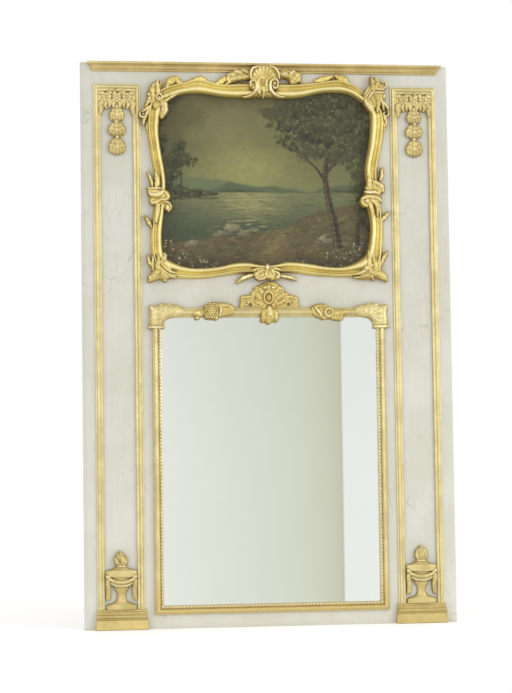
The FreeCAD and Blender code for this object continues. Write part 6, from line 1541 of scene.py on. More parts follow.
    # the large tree on the right, its crown spread towards the middle
    D, M, Lt = srgb(46, 42, 28), srgb(80, 82, 52), srgb(128, 128, 80)
    P.trunk([(236, 1238), (224, 1320), (206, 1400), (196, 1480), (204, 1560), (196, 1640)], 17.0, srgb(50, 40, 28), srgb(120, 104, 74))
    P.trunk([(204, 1440), (170, 1500), (128, 1540), (96, 1580)], 7.5, srgb(52, 42, 30), srgb(112, 98, 70))
    P.trunk([(202, 1490), (248, 1550), (290, 1590)], 7.0, srgb(48, 40, 28), srgb(106, 94, 66))
    P.trunk([(300, 1240), (306, 1330), (322, 1420), (330, 1500)], 9.0, srgb(44, 38, 28), srgb(92, 84, 60))
    crowns = ((196, 1660, 112, 74), (112, 1612, 82, 52), (278, 1618, 92, 76), (60, 1654, 58, 34), (160, 1728, 104, 46), (276, 1722, 98, 56), (330, 1540, 66, 74),
              (334, 1450, 54, 60), (150, 1556, 48, 26), (232, 1540, 44, 30), (90, 1702, 56, 32), (340, 1350, 44, 52), (20, 1690, 36, 18))
    for k, (cx, cz, rx, rz) in enumerate(crowns):
        P.foliage(cx, cz, rx, rz, D, M, Lt, int(rx * rz / 19), 9.5)
    for k, (cx, cz, rx, rz) in enumerate(crowns):
        for q in range(5):
            P.foliage(cx + rs.uniform(-0.8, 0.8) * rx, cz + rs.uniform(-0.8, 0.8) * rz, 22, 12, M * 0.8, M * 1.15, srgb(150, 146, 96), 34, 5.0)
    for k in range(70):           # sky through the leaves
        cx, cz, rx, rz = crowns[rs.choice(9)]
        x, z = cx + rs.uniform(-0.9, 0.9) * rx, cz + rs.uniform(-0.9, 0.9) * rz
        P.dab(x, z, rs.uniform(2.5, 6), rs.uniform(2, 4), rs.uniform(0, 3), srgb(150, 154, 122), 0.6)
    # leafage closing the upper left corner
    for cx, cz, rx, rz, n in ((-352, 1742, 66, 56, 330), (-300, 1776, 80, 28, 230), (-366, 1668, 34, 50, 190), (-228, 1786, 50, 16, 90)):
        P.foliage(cx, cz, rx, rz, srgb(52, 46, 32), srgb(84, 80, 54), srgb(120, 114, 76), n, 9.0, lit=(0.7, -0.3))
    # plants and small flowers in front
    for bx, bz, r in ((-300, 1196, 60), (-214, 1180, 46), (250, 1192, 66), (322, 1226, 50), (120, 1176, 40), (-350, 1240, 40)):
        for k in range(60):
            x = bx + rs.uniform(-r, r)
            z = bz + rs.uniform(-0.4, 0.45) * r
            P.dab(x, z, rs.uniform(6, 17), rs.uniform(1.1, 2.4), math.pi / 2 + rs.uniform(-0.6, 0.6), (srgb(66, 70, 40), srgb(98, 98, 56), srgb(50, 50, 30))[rs.choice(3)], 0.75, 2.2, 0.6)
        for k in range(15):
            x = bx + rs.uniform(-r, r)
            z = bz + rs.uniform(-0.25, 0.6) * r
            col = (srgb(206, 196, 150), srgb(178, 170, 128), srgb(126, 138, 142), srgb(170, 120, 92))[rs.choice(4, p=[0.4, 0.25, 0.2, 0.15])]
            for q in range(3):
                P.dab(x + rs.uniform(-2.6, 2.6), z + rs.uniform(-2.6, 2.6), rs.uniform(2.2, 4.0), rs.uniform(1.7, 2.8), rs.uniform(0, 3), col * rs.uniform(0.85, 1.1), 0.85, 2.5, 1.0)
    # darker towards the edges
    edge = np.clip(1.25 - np.maximum(np.abs(X) / 400.0, np.abs(Z - 1473) / 345.0) ** 3.0, 0.55, 1.0)
    P.K = P.K * (0.97 * edge[..., None]) * (1 + 0.05 * n1[..., None])
    return P


def canvas_object(material):
    P = paint_picture()
    nz, nx = P.X.shape
    front = np.stack([P.X.ravel(), (-6.02 + 0.0 * P.X).ravel(), P.Z.ravel()], 1)
    lift = 0.35 * P.T * np.clip((np.minimum(380 - np.abs(P.X), np.minimum(P.Z - 1154, 1792 - P.Z))) / 20.0, 0, 1)
    front[:, 1] += np.minimum(lift.ravel(), 0.30) - 0.05
    back = front.copy()
    back[:, 1] = -7.48
    rim = np.concatenate([np.arange(nx), np.arange(1, nz) * nx + nx - 1, (nz - 1) * nx + np.arange(nx - 2, -1, -1), np.arange(nz - 2, 0, -1) * nx])
    n0 = nx * nz
    V = np.vstack([front, back[rim]])
    i = np.arange(n0).reshape(nz, nx)
    Q = np.stack([i[:-1, :-1], i[:-1, 1:], i[1:, 1:], i[1:, :-1]], -1).reshape(-1, 4)
    m = len(rim)
    k = np.arange(m)
    W = np.stack([rim[(k + 1) % m], rim[k], n0 + k, n0 + (k + 1) % m], 1)
    cap = (n0 + np.arange(m))[::-1][None, :]
    K = np.ones((len(V), 4), np.float32)
    K[:n0, :3] = np.clip(P.K.reshape(-1, 3), 0.004, 0.95)
    K[n0:, :3] = srgb(150, 128, 92)
    me = raw_mesh("painting_canvas_picture", V, [Q, W, cap], None, K)
    bm = bmesh.new()
    bm.from_mesh(me)
    bmesh.ops.recalc_face_normals(bm, faces=bm.faces[:])
    bm.to_mesh(me)
    bm.free()
    me.shade_smooth()
    me.set_sharp_from_angle(angle=math.radians(40))
    ob = bpy.data.objects.new("painting_canvas_picture", me)
    bpy.context.scene.collection.objects.link(ob)
    me.materials.append(material)
    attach(ob, "frame")
    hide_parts("painting_canvas")
    return ob


# ---- materials ----
class Nodes:
    """Small helper for building a material's nodes."""

    def __init__(self, name):
        self.mat = bpy.data.materials.new(name)
        self.mat.use_nodes = True
        self.t = self.mat.node_tree
        self.t.nodes.clear()
        self.out = self.t.nodes.new("ShaderNodeOutputMaterial")
        self.p = self.t.nodes.new("ShaderNodeBsdfPrincipled")
        self.t.links.new(self.p.outputs[0], self.out.inputs[0])
        self.place = self.t.nodes.new("ShaderNodeTexCoord").outputs["Object"]

    def link(self, a, b):
        self.t.links.new(a, b)

    def value(self, sock, v):
        if isinstance(v, bpy.types.NodeSocket):
            self.link(v, sock)
        elif isinstance(v, (tuple, list)) and len(v) == 3 and sock.type == "RGBA":
            sock.default_value = (*v, 1.0)
        else:
            sock.default_value = v

    def math(self, op, a, b=0.5, clamp=False):
        n = self.t.nodes.new("ShaderNodeMath")
        n.operation = op
        n.use_clamp = clamp
        self.value(n.inputs[0], a)
        self.value(n.inputs[1], b)
        return n.outputs[0]

    def noise(self, scale, detail=3.0, rough=0.55, distort=0.0, vec=None, seed=0.0, lac=2.0):
        n = self.t.nodes.new("ShaderNodeTexNoise")
        n.inputs["Scale"].default_value = scale
        n.inputs["Detail"].default_value = detail
        n.inputs["Roughness"].default_value = rough
        n.inputs["Lacunarity"].default_value = lac
        n.inputs["Distortion"].default_value = distort
        v = self.place if vec is None else vec
        if seed:
            v = self.shift(v, (seed, seed * 0.7, -seed * 1.3))
        self.link(v, n.inputs["Vector"])
        return n.outputs["Fac"]

    def shift(self, v, by, scale=(1, 1, 1)):
        n = self.t.nodes.new("ShaderNodeMapping")
        n.inputs["Location"].default_value = by
        n.inputs["Scale"].default_value = scale
        self.link(v, n.inputs["Vector"])
        return n.outputs[0]

    def voronoi(self, scale, feature="DISTANCE_TO_EDGE", vec=None, rand=1.0):
        n = self.t.nodes.new("ShaderNodeTexVoronoi")
        n.feature = feature
        n.inputs["Scale"].default_value = scale
        n.inputs["Randomness"].default_value = rand
        self.link(self.place if vec is None else vec, n.inputs["Vector"])
        return n.outputs["Distance"]

    def remap(self, v, a, b, c=0.0, d=1.0, smooth=False):
        n = self.t.nodes.new("ShaderNodeMapRange")
        n.interpolation_type = "SMOOTHSTEP" if smooth else "LINEAR"
        self.link(v, n.inputs["Value"])
        for k, x in zip(("From Min", "From Max", "To Min", "To Max"), (a, b, c, d)):
            n.inputs[k].default_value = x
        return n.outputs["Result"]

    def mix(self, f, a, b, mode="MIX"):
        n = self.t.nodes.new("ShaderNodeMix")
        n.data_type = "RGBA"
        n.blend_type = mode
        n.clamp_factor = True
        self.value(n.inputs[0], f)
        self.value(n.inputs[6], a)
        self.value(n.inputs[7], b)
        return n.outputs[2]

    def xyz(self):
        n = self.t.nodes.new("ShaderNodeSeparateXYZ")
        self.link(self.place, n.inputs[0])
        return n.outputs

    def attr(self, name, out="Fac"):
        n = self.t.nodes.new("ShaderNodeAttribute")
        n.attribute_name = name
        return n.outputs[out]

    def ao(self, distance, samples=4, only_local=False):
        n = self.t.nodes.new("ShaderNodeAmbientOcclusion")
        n.samples = samples
        n.only_local = only_local
        n.inputs["Distance"].default_value = distance
        return n.outputs["AO"]

    def bump(self, height, strength, distance, normal=None):
        n = self.t.nodes.new("ShaderNodeBump")
        n.inputs["Strength"].default_value = strength
        n.inputs["Distance"].default_value = distance
        self.link(height, n.inputs["Height"])
        if normal is not None:
            self.link(normal, n.inputs["Normal"])
        return n.outputs[0]

    def set(self, **kw):
        for k, v in kw.items():
            self.value(self.p.inputs[k.replace("_", " ")], v)


def gilt(name, light, body, shade, deep, metal=0.62, rough=(0.34, 0.52), tone_seed=0.0, low=None, wear=0.5):
    """Old toned gilding: `body` on the broad surfaces, `light` where it is rubbed and as painted highlight on crests,
    `shade` and `deep` in the hollows as patina and painted shade.
    """
    m = Nodes(name)
    cav = m.attr("cav")
    patch = m.noise(16.0, 4, 0.6, seed=3.1 + tone_seed)
    mid = m.noise(110.0, 4, 0.62, seed=7.7 + tone_seed)
    fine = m.noise(620.0, 3, 0.6, seed=1.3 + tone_seed)
    # broad colour: leaf laid in patches, toned unevenly
    col = m.mix(m.remap(patch, 0.36, 0.64, 0, 1, True), body, tuple(0.5 * (a + b) for a, b in zip(body, shade)))
    col = m.mix(m.remap(mid, 0.52, 0.74, 0, 0.34, True), col, shade)
    if low is not None:
        # darker and more orange towards the bottom, below the heights given in `low`
        z = m.xyz()[2]
        col = m.mix(m.remap(z, low[1], low[2], 0.0, 1.0, True), low[0], col)
    # hollows keep the toning wash and take painted shade, crests are rubbed bright and take painted highlight
    c2 = m.math("ADD", cav, m.math("MULTIPLY", m.math("SUBTRACT", mid, 0.5), 1.1))
    hollow = m.remap(c2, -0.15, -1.9, 0.0, 0.92, True)
    crest = m.remap(c2, 0.25, 1.7, 0.0, wear, True)
    col = m.mix(crest, col, light)
    col = m.mix(hollow, col, shade)
    # patina and painted shade: the darkest colour where the AO node finds deep crevices
    ao = m.ao(0.012, 6)
    deepness = m.math("MULTIPLY", m.remap(ao, 0.62, 0.18, 0.0, 1.0, True), m.remap(fine, 0.2, 0.8, 0.75, 1.0))
    col = m.mix(deepness, col, deep)
    # small losses that show the ground
    chip = m.remap(m.noise(240.0, 3, 0.7, seed=21.0 + tone_seed), 0.70, 0.76, 0, 0.75, True)
    chipc = m.math("MULTIPLY", chip, m.remap(m.noise(34.0, 2, 0.5, seed=9.0), 0.50, 0.66, 0, 1, True))
    col = m.mix(chipc, col, (0.70, 0.60, 0.42))
    met = m.math("MULTIPLY", m.math("SUBTRACT", 1.0, m.math("MAXIMUM", chipc, m.math("MULTIPLY", deepness, 0.6))), metal)
    r = m.remap(m.math("ADD", m.math("MULTIPLY", mid, 0.6), m.math("MULTIPLY", patch, 0.4)), 0.35, 0.65, rough[0], rough[1])
    r = m.math("ADD", r, m.math("MULTIPLY", hollow, 0.14), True)
    b1 = m.bump(m.noise(300.0, 4, 0.6, seed=5.0), 0.30, 0.0007)
    b2 = m.bump(fine, 0.22, 0.0004, b1)
    m.set(Base_Color=col, Metallic=met, Roughness=r, Normal=b2)
    m.p.inputs["Specular IOR Level"].default_value = 0.45
    return m.mat


def paint_material():
    m = Nodes("paint_old_white")
    base = (0.662, 0.656, 0.592)
    z = m.xyz()
    streak = m.noise(1.0, 5, 0.6, vec=m.shift(m.place, (0, 0, 0), (190, 190, 9)), seed=2.0)
    streak2 = m.noise(1.0, 4, 0.6, vec=m.shift(m.place, (0, 0, 0), (420, 420, 30)), seed=6.0)
    patch = m.noise(5.5, 4, 0.6, seed=4.0)
    warm = m.noise(13.0, 3, 0.6, seed=14.0)
    col = m.mix(m.remap(patch, 0.36, 0.66, 0, 1, True), base, (0.610, 0.600, 0.515))
    col = m.mix(m.remap(warm, 0.55, 0.75, 0, 0.55, True), col, (0.665, 0.600, 0.545))
    col = m.mix(m.remap(streak, 0.42, 0.72, 0, 0.34, True), col, (0.585, 0.570, 0.480))
    col = m.mix(m.remap(streak2, 0.60, 0.80, 0, 0.22, True), col, (0.735, 0.730, 0.665))
    # grime and painted shade beside the mouldings, where the AO node finds occlusion; specks
    ao = m.ao(0.030, 6)
    grime_and_shade = m.remap(m.math("ADD", ao, m.math("MULTIPLY", m.math("SUBTRACT", patch, 0.5), 0.35)), 0.86, 0.26, 0, 0.36, True)
    col = m.mix(grime_and_shade, col, (0.40, 0.35, 0.25))
    speck = m.remap(m.noise(170.0, 3, 0.7, seed=31.0), 0.72, 0.78, 0, 0.55, True)
    speck = m.math("MULTIPLY", speck, m.remap(m.noise(9.0, 2, 0.5, seed=12.0), 0.50, 0.68, 0, 1, True))
    col = m.mix(speck, col, (0.36, 0.28, 0.17))
    crack = m.remap(m.voronoi(34.0, vec=m.shift(m.place, (0, 0, 0), (1, 1, 0.28))), 0.0, 0.028, 1, 0)
    crack = m.math("MULTIPLY", crack, m.remap(m.noise(7.0, 3, 0.6, seed=44.0), 0.50, 0.66, 0, 0.5, True))
    col = m.mix(crack, col, (0.40, 0.35, 0.25))
    # bare wood on the back
    y = z[1]
    raw = m.noise(1.0, 5, 0.65, vec=m.shift(m.place, (0, 0, 0), (60, 60, 2.2)), distort=0.4)
    woodc = m.mix(m.remap(raw, 0.35, 0.68, 0, 1, True), (0.30, 0.185, 0.095), (0.185, 0.105, 0.050))
    edge = m.math("ADD", y, m.math("MULTIPLY", m.math("SUBTRACT", warm, 0.5), 0.010))
    facing = m.t.nodes.new("ShaderNodeSeparateXYZ")
    m.link(m.t.nodes.new("ShaderNodeTexCoord").outputs["Normal"], facing.inputs[0])
    back = m.math("MAXIMUM", m.remap(edge, 0.0192, 0.0212, 0, 1, True), m.remap(facing.outputs[1], 0.5, 0.7, 0, 1))
    col = m.mix(back, col, woodc)
    r = m.remap(streak, 0.3, 0.7, 0.48, 0.66)
    h = m.math("ADD", m.math("MULTIPLY", streak, 1.0), m.math("MULTIPLY", streak2, 0.5))
    b = m.bump(h, 0.35, 0.0006)
    b = m.bump(m.noise(900.0, 2, 0.5), 0.08, 0.0003, b)
    m.set(Base_Color=col, Roughness=r, Normal=b)
    m.p.inputs["Specular IOR Level"].default_value = 0.35
    return m.mat


def wood_material(name="raw_wood_old", a=(0.335, 0.205, 0.105), b=(0.20, 0.115, 0.055), along="x"):
    m = Nodes(name)
    sc = (2.2, 60, 60) if along == "x" else (60, 60, 2.2)
    v = m.shift(m.place, (0, 0, 0), sc)
    g = m.noise(1.0, 6, 0.65, distort=0.5, vec=v)
    g2 = m.noise(1.0, 4, 0.6, vec=m.shift(m.place, (0, 0, 0), tuple(q * 6 for q in sc)), seed=3.0)
    col = m.mix(m.remap(g, 0.36, 0.66, 0, 1, True), a, b)
    col = m.mix(m.remap(g2, 0.5, 0.75, 0, 0.5, True), col, tuple(q * 0.55 for q in b))
    dust = m.remap(m.noise(9.0, 4, 0.6, seed=8.0), 0.42, 0.72, 0, 0.4, True)
    col = m.mix(dust, col, (0.36, 0.30, 0.22))
    # painted shade: nearly black where the AO node finds occlusion
    col = m.mix(m.remap(m.ao(0.02, 4), 0.85, 0.3, 0, 0.7, True), col, (0.07, 0.045, 0.025))
    m.set(Base_Color=col, Roughness=m.remap(g, 0.3, 0.7, 0.62, 0.85), Normal=m.bump(m.math("ADD", g, m.math("MULTIPLY", g2, 0.5)), 0.45, 0.0008))
    m.p.inputs["Specular IOR Level"].default_value = 0.25
    return m.mat


def canvas_material():
    m = Nodes("oil_on_canvas")
    n = m.attr("hue", "Color")
    fine = m.noise(1.0, 4, 0.65, vec=m.shift(m.place, (0, 0, 0), (170, 170, 420)), seed=2.0)
    broad = m.noise(70.0, 5, 0.65, distort=0.8, seed=5.0)
    col = m.mix(m.remap(broad, 0.4, 0.7, 0, 0.28, True), n, (0.14, 0.13, 0.08))
    col = m.mix(m.remap(fine, 0.55, 0.8, 0, 0.25, True), col, (0.32, 0.33, 0.24))
    crack = m.remap(m.voronoi(70.0), 0.0, 0.022, 1, 0)
    crack = m.math("MULTIPLY", crack, m.remap(m.noise(12.0, 3, 0.6, seed=9.0), 0.46, 0.62, 0, 0.55, True))
    col = m.mix(crack, col, (0.035, 0.028, 0.018))
    # turned edges and the back are bare linen
    y = m.xyz()[1]
    bare = m.remap(y, 0.00835, 0.00855, 0, 1)
    col = m.mix(bare, col, m.mix(m.remap(m.noise(500.0, 2), 0.4, 0.6), (0.30, 0.23, 0.14), (0.22, 0.165, 0.10)))
    wx = m.t.nodes.new("ShaderNodeTexWave")
    wx.wave_type, wx.bands_direction = "BANDS", "X"
    wx.inputs["Scale"].default_value = 260.0
    m.link(m.place, wx.inputs["Vector"])
    wz = m.t.nodes.new("ShaderNodeTexWave")
    wz.wave_type, wz.bands_direction = "BANDS", "Z"
    wz.inputs["Scale"].default_value = 260.0
    m.link(m.place, wz.inputs["Vector"])
    weave = m.math("ADD", m.math("MULTIPLY", wx.outputs["Fac"], 0.25), m.math("MULTIPLY", wz.outputs["Fac"], 0.25))
    h = m.math("ADD", weave, m.math("ADD", fine, m.math("MULTIPLY", broad, 1.4)))
    m.set(Base_Color=col, Roughness=m.remap(broad, 0.3, 0.7, 0.34, 0.52), Normal=m.bump(h, 0.35, 0.0007))
    m.p.inputs["Specular IOR Level"].default_value = 0.30
    return m.mat


def mirror_material():
    m = Nodes("silvered_glass")
    x, y, z = m.xyz()
    n = m.noise(6.0, 5, 0.6, seed=2.0)
    fox = m.remap(m.noise(60.0, 5, 0.7, seed=11.0), 0.70, 0.80, 0, 0.5, True)
    edge = m.math("MAXIMUM", m.remap(m.math("ABSOLUTE", x), 0.345, 0.371, 0, 1, True), m.math("MAXIMUM", m.remap(z, 0.088, 0.062, 0, 1, True), m.remap(z, 1.0, 1.026, 0, 1, True)))
    foxed = m.math("MULTIPLY", fox, m.math("ADD", m.math("MULTIPLY", edge, 0.9), m.remap(n, 0.56, 0.72, 0, 0.10, True)), True)
    col = m.mix(foxed, (0.885, 0.900, 0.880), (0.33, 0.29, 0.22))
    col = m.mix(m.remap(n, 0.35, 0.7, 0, 0.35, True), col, (0.860, 0.875, 0.845))
    front = m.remap(y, 0.0030, 0.0042, 1, 0)      # back of the plate and its edges: backing paint
    col = m.mix(front, (0.060, 0.050, 0.045), col)
    m.set(Base_Color=col, Metallic=front, Roughness=m.math("ADD", m.remap(foxed, 0, 0.5, 0.008, 0.22), m.math("MULTIPLY", m.math("SUBTRACT", 1.0, front), 0.5)),
          Normal=m.bump(m.noise(3.2, 2, 0.4, seed=5.0), 0.01, 0.002))
    return m.mat


def metal_material(name, a, b, dirt_and_shade, metal=0.9, rough=(0.32, 0.55)):
    m = Nodes(name)
    n = m.noise(90.0, 5, 0.65, seed=2.0)
    f = m.noise(1.0, 4, 0.6, vec=m.shift(m.place, (0, 0, 0), (1800, 300, 1800)), seed=5.0)
    col = m.mix(m.remap(n, 0.4, 0.64, 0, 1, True), a, b)
    # dirt in noise patches, and painted shade where the AO node finds occlusion
    d = m.math("MAXIMUM", m.remap(m.noise(240.0, 4, 0.7, seed=8.0), 0.58, 0.74, 0, 0.6, True), m.remap(m.ao(0.004, 4), 0.8, 0.35, 0, 0.8, True))
    col = m.mix(d, col, dirt_and_shade)
    m.set(Base_Color=col, Metallic=m.math("MULTIPLY", m.math("SUBTRACT", 1.0, m.math("MULTIPLY", d, 0.6)), metal), Roughness=m.math("ADD", m.remap(n, 0.3, 0.7, rough[0], rough[1]), m.math("MULTIPLY", d, 0.25)),
          Normal=m.bump(m.math("ADD", f, n), 0.25, 0.0003))
    return m.mat


# ---- build ----
CREAM, GOLD, OCHRE, UMBER = (0.88, 0.82, 0.60), (0.66, 0.52, 0.19), (0.43, 0.31, 0.095), (0.16, 0.105, 0.035)
MAT_PAINT_FRAME = gilt("gilt_painting_frame", (0.97, 0.89, 0.53), (0.84, 0.69, 0.22), (0.50, 0.36, 0.085), (0.18, 0.115, 0.035), 0.48, (0.32, 0.50), 0.0)
MAT_CARVED = gilt("gilt_carving", (0.98, 0.92, 0.64), (0.78, 0.635, 0.235), (0.38, 0.26, 0.060), (0.11, 0.068, 0.022), 0.48, (0.30, 0.48), 5.0, wear=0.75)
MAT_MIRROR_FRAME = gilt("gilt_mirror_frame", (0.93, 0.88, 0.66), (0.75, 0.64, 0.31), (0.49, 0.385, 0.15), (0.19, 0.13, 0.055), 0.56, (0.32, 0.50), 9.0,
                        low=((0.66, 0.50, 0.19), 0.08, 0.20), wear=0.6)
MAT_CLASP = gilt("gilt_clasps", (0.95, 0.87, 0.52), (0.72, 0.575, 0.195), (0.37, 0.265, 0.080), (0.11, 0.07, 0.026), 0.52, (0.30, 0.48), 27.0, wear=0.75)
MAT_RELIEF = gilt("gilt_relief", (0.92, 0.86, 0.60), (0.70, 0.575, 0.245), (0.38, 0.28, 0.095), (0.12, 0.078, 0.028), 0.50, (0.32, 0.50), 31.0, wear=0.75)
MAT_PILASTER = gilt("gilt_pilaster", (0.92, 0.86, 0.60), (0.75, 0.65, 0.33), (0.52, 0.42, 0.19), (0.25, 0.18, 0.08), 0.52, (0.36, 0.54), 13.0, wear=0.6)
MAT_PLINTH = gilt("gilt_plinth", (0.78, 0.66, 0.36), (0.64, 0.505, 0.205), (0.43, 0.315, 0.105), (0.20, 0.135, 0.050), 0.52, (0.36, 0.54), 17.0, wear=0.5)
MAT_CORNICE = gilt("gilt_cornice", (0.94, 0.88, 0.64), (0.68, 0.54, 0.24), (0.43, 0.315, 0.125), (0.17, 0.115, 0.045), 0.46, (0.34, 0.52), 21.0, wear=0.85)


def station(x, z):
    return int(((COURSE_O[:, 0] - x) ** 2 + (COURSE_O[:, 1] - z) ** 2).argmin())


N_COURSE = len(COURSE_O)
TL, TR, BR, BL = station(-372, 1748), station(366, 1732), station(372, 1158), station(-368, 1154)
spans = {"painting_frame_top": (TL - N_COURSE, TR), "painting_frame_right": (TR, BR), "painting_frame_bottom": (BR, BL), "painting_frame_left": (BL, TL)}
for k, (name, (a, b)) in enumerate(spans.items()):
    while b < a:
        b += N_COURSE
    while b - a > N_COURSE:
        a += N_COURSE
    group = [painting_frame_run(a, b, 101 + 7 * k)]
    for q in LOOSE_LEAVES[name]:
        c = loose_leaf(**q)
        c.hand(300 + k, 0.3, 7.0).soften(1)
        group.append(carving_part(c, 0.0, under_frame(c)))
    piece(name + "_gilt", group, name, MAT_PAINT_FRAME)


def ornament(name, carvings, floors, back, material, node=None, seed=1, soft=1, rough=0.30):
    group = []
    for k, c in enumerate(carvings):
        c.hand(seed * 31 + k, rough, 6.0).soften(soft)
        f = floors(c) if callable(floors) else np.full(c.X.shape, float(floors))
        group.append(carving_part(c, back, f))
    return piece(name, group, node or name.replace("_gilt", ""), material)


def over_frame_and_cornice(c):
    f = under_frame(c)
    P = np.array(CORNICE)
    k = np.interp(c.Z, P[:, 1], P[:, 0], left=0.4, right=0.4)
    return np.maximum(f, k)


for k, (name, fn) in enumerate((("corner_top_left", corner_top_left), ("corner_top_right", corner_top_right), ("corner_bottom_left", corner_bottom_left),
                                ("corner_bottom_right", corner_bottom_right), ("side_scroll_left", side_scroll_left), ("side_scroll_right", side_scroll_right),
                                ("bottom_scroll", bottom_scroll))):
    ornament(name + "_gilt", [fn()], under_frame, 0.0, MAT_CARVED, seed=11 + k)
ornament("crest_shell_gilt", [crest_shell()], over_frame_and_cornice, 0.0, MAT_CARVED, seed=21)
ornament("crest_sprays_gilt", [spray(-1), spray(1)], over_frame_and_cornice, 0.0, MAT_CARVED, seed=22)

for name, group in mirror_runs().items():
    piece(name + "_gilt", group, name, MAT_MIRROR_FRAME)
sl = corner_sleeve(-1)
ornament("corner_sleeve_left_gilt", [sl], over_mirror_frame, 0.0, MAT_MIRROR_FRAME, seed=31)
sr = corner_sleeve(-1)
sr.hand(32 * 31, 0.30, 6.0).soften(1)
V, groups, C, fill = carving_part(sr, 0.0, over_mirror_frame(sr))
V = V * np.array([-1.0, 1.0, 1.0])
piece("corner_sleeve_right_gilt", [(V, groups, C, fill)], "corner_sleeve_right", MAT_MIRROR_FRAME)
ornament("flower_clasp_left_gilt", [flower_clasp_left()], over_mirror_frame, 0.0, MAT_CLASP, seed=33)
ornament("flower_clasp_right_gilt", [flower_clasp_right()], over_mirror_frame, 0.0, MAT_CLASP, seed=34)
ornament("shell_clasp_gilt", [shell_clasp()], over_mirror_frame, 0.0, MAT_CLASP, seed=35)
ornament("pierced_crest_gilt", [pierced_crest()], over_mirror_frame, 0.0, MAT_CLASP, seed=36)

piece("cornice_gilt", [cornice_part()], "cornice", MAT_CORNICE)
for side, s in (("left", -1), ("right", 1)):
    piece(side + "_pilaster_frame_gilt", pilaster_runs(s, 201 + 10 * s), side + "_pilaster_frame", MAT_PILASTER)
    piece(side + "_pilaster_base_gilt", [base_part(s)], side + "_pilaster_base", MAT_PLINTH)
    piece(side + "_plinth_gilt", [plinth_part(s)], side + "_plinth", MAT_PLINTH)
    ornament(side + "_urn_gilt", [urn(s)], -3.9, -3.95, MAT_RELIEF, seed=41 + s, rough=0.22)
    ornament(side + "_husk_drop_gilt", husk_drop(s), -3.9, -3.95, MAT_RELIEF, seed=45 + s, rough=0.22)

canvas_object(canvas_material())

# ---- CAD pieces that keep their shape ----
MAT_PAINT = paint_material()
MAT_WOOD_X = wood_material("raw_wood_across", along="x")
MAT_WOOD_Z = wood_material("raw_wood_upright", (0.30, 0.185, 0.10), (0.175, 0.10, 0.05), along="z")
MAT_MIRROR = mirror_material()
MAT_BRASS = metal_material("aged_brass", (0.62, 0.46, 0.20), (0.44, 0.30, 0.12), (0.12, 0.09, 0.045))
MAT_STEEL = metal_material("dulled_steel", (0.46, 0.45, 0.43), (0.33, 0.32, 0.31), (0.14, 0.09, 0.055), 0.85)
by_slot = {"paint": MAT_PAINT, "mirror": MAT_MIRROR, "brass": MAT_BRASS, "steel": MAT_STEEL, "raw_wood": MAT_WOOD_X}
for sub in frame["record"]["subparts"]:
    ob = frame["nodes"].get(sub["node"])
    if ob is None or sub["material_slot"] not in by_slot:
        continue
    mat = by_slot[sub["material_slot"]]
    if sub["node"] in ("mirror_back_boards", "stretcher_keys"):
        mat = MAT_WOOD_Z
    ob.data.materials.clear()
    ob.data.materials.append(mat)

# ---- floor, world, lights, camera ----
def plane(name, x0, x1, y0, y1, z):
    me = bpy.data.meshes.new(name)
    me.from_pydata([(x0, y0, z), (x1, y0, z), (x1, y1, z), (x0, y1, z)], [], [(0, 1, 2, 3)])
    ob = bpy.data.objects.new(name, me)
    bpy.context.scene.collection.objects.link(ob)
    return ob


floor = plane("floor", -2.4, 2.4, -1.25, 1.6, -0.0006)
m = Nodes("floor_white")
n = m.noise(2.0, 3, 0.5)
m.set(Base_Color=m.mix(m.remap(n, 0.3, 0.7), (0.93, 0.93, 0.925), (0.95, 0.95, 0.945)), Roughness=0.9)
m.p.inputs["Emission Color"].default_value = (1, 1, 1, 1)
m.p.inputs["Emission Strength"].default_value = 0.30
floor.data.materials.append(m.mat)
floor.visible_glossy = False

world = bpy.data.worlds.new("soft_white_room")
bpy.context.scene.world = world
world.use_nodes = True
wt = world.node_tree
wt.nodes.clear()
wo = wt.nodes.new("ShaderNodeOutputWorld")
bg_seen, bg_lit, lp, mixw = wt.nodes.new("ShaderNodeBackground"), wt.nodes.new("ShaderNodeBackground"), wt.nodes.new("ShaderNodeLightPath"), wt.nodes.new("ShaderNodeMixShader")
bg_seen.inputs[0].default_value = (1, 1, 1, 1)
bg_seen.inputs[1].default_value = 1.0
tc = wt.nodes.new("ShaderNodeTexCoord")
sep = wt.nodes.new("ShaderNodeSeparateXYZ")
wt.links.new(tc.outputs["Generated"], sep.inputs[0])


def wmath(op, a, b):
    n = wt.nodes.new("ShaderNodeMath")
    n.operation = op
    for k, v in enumerate((a, b)):
        if isinstance(v, bpy.types.NodeSocket):
            wt.links.new(v, n.inputs[k])
        else:
            n.inputs[k].default_value = v
    return n.outputs[0]


ahead = wmath("MAXIMUM", wmath("MULTIPLY", sep.outputs[1], -1.0), 0.02)
side_q = wmath("DIVIDE", sep.outputs[0], ahead)        # tangent of the direction to the right of straight ahead
up_q = wmath("DIVIDE", sep.outputs[2], ahead)
# the wall and window in front of the mirror, as it shows them
r1 = wt.nodes.new("ShaderNodeValToRGB")
wt.links.new(wmath("MULTIPLY", wmath("SUBTRACT", side_q, 0.06), 5.0), r1.inputs[0])
stops = [(0.0, (0.885, 0.905, 0.855)), (0.14, (0.885, 0.905, 0.855)), (0.38, (0.79, 0.81, 0.735)), (0.50, (0.735, 0.755, 0.650)), (0.555, (0.69, 0.70, 0.575)),
         (0.585, (0.665, 0.655, 0.525)), (0.594, (0.62, 0.61, 0.49)), (0.597, (0.93, 0.95, 0.94)), (0.72, (0.93, 0.95, 0.94)), (0.85, (0.91, 0.93, 0.92)), (1.0, (0.90, 0.92, 0.91))]
el = r1.color_ramp.elements
while len(el) < len(stops):
    el.new(0.5)
for e, (p, v) in zip(el, stops):
    e.position = p
    e.color = (*v, 1)
r2 = wt.nodes.new("ShaderNodeValToRGB")
wt.links.new(wmath("ADD", wmath("MULTIPLY", up_q, 2.0), 0.5), r2.inputs[0])
el = r2.color_ramp.elements
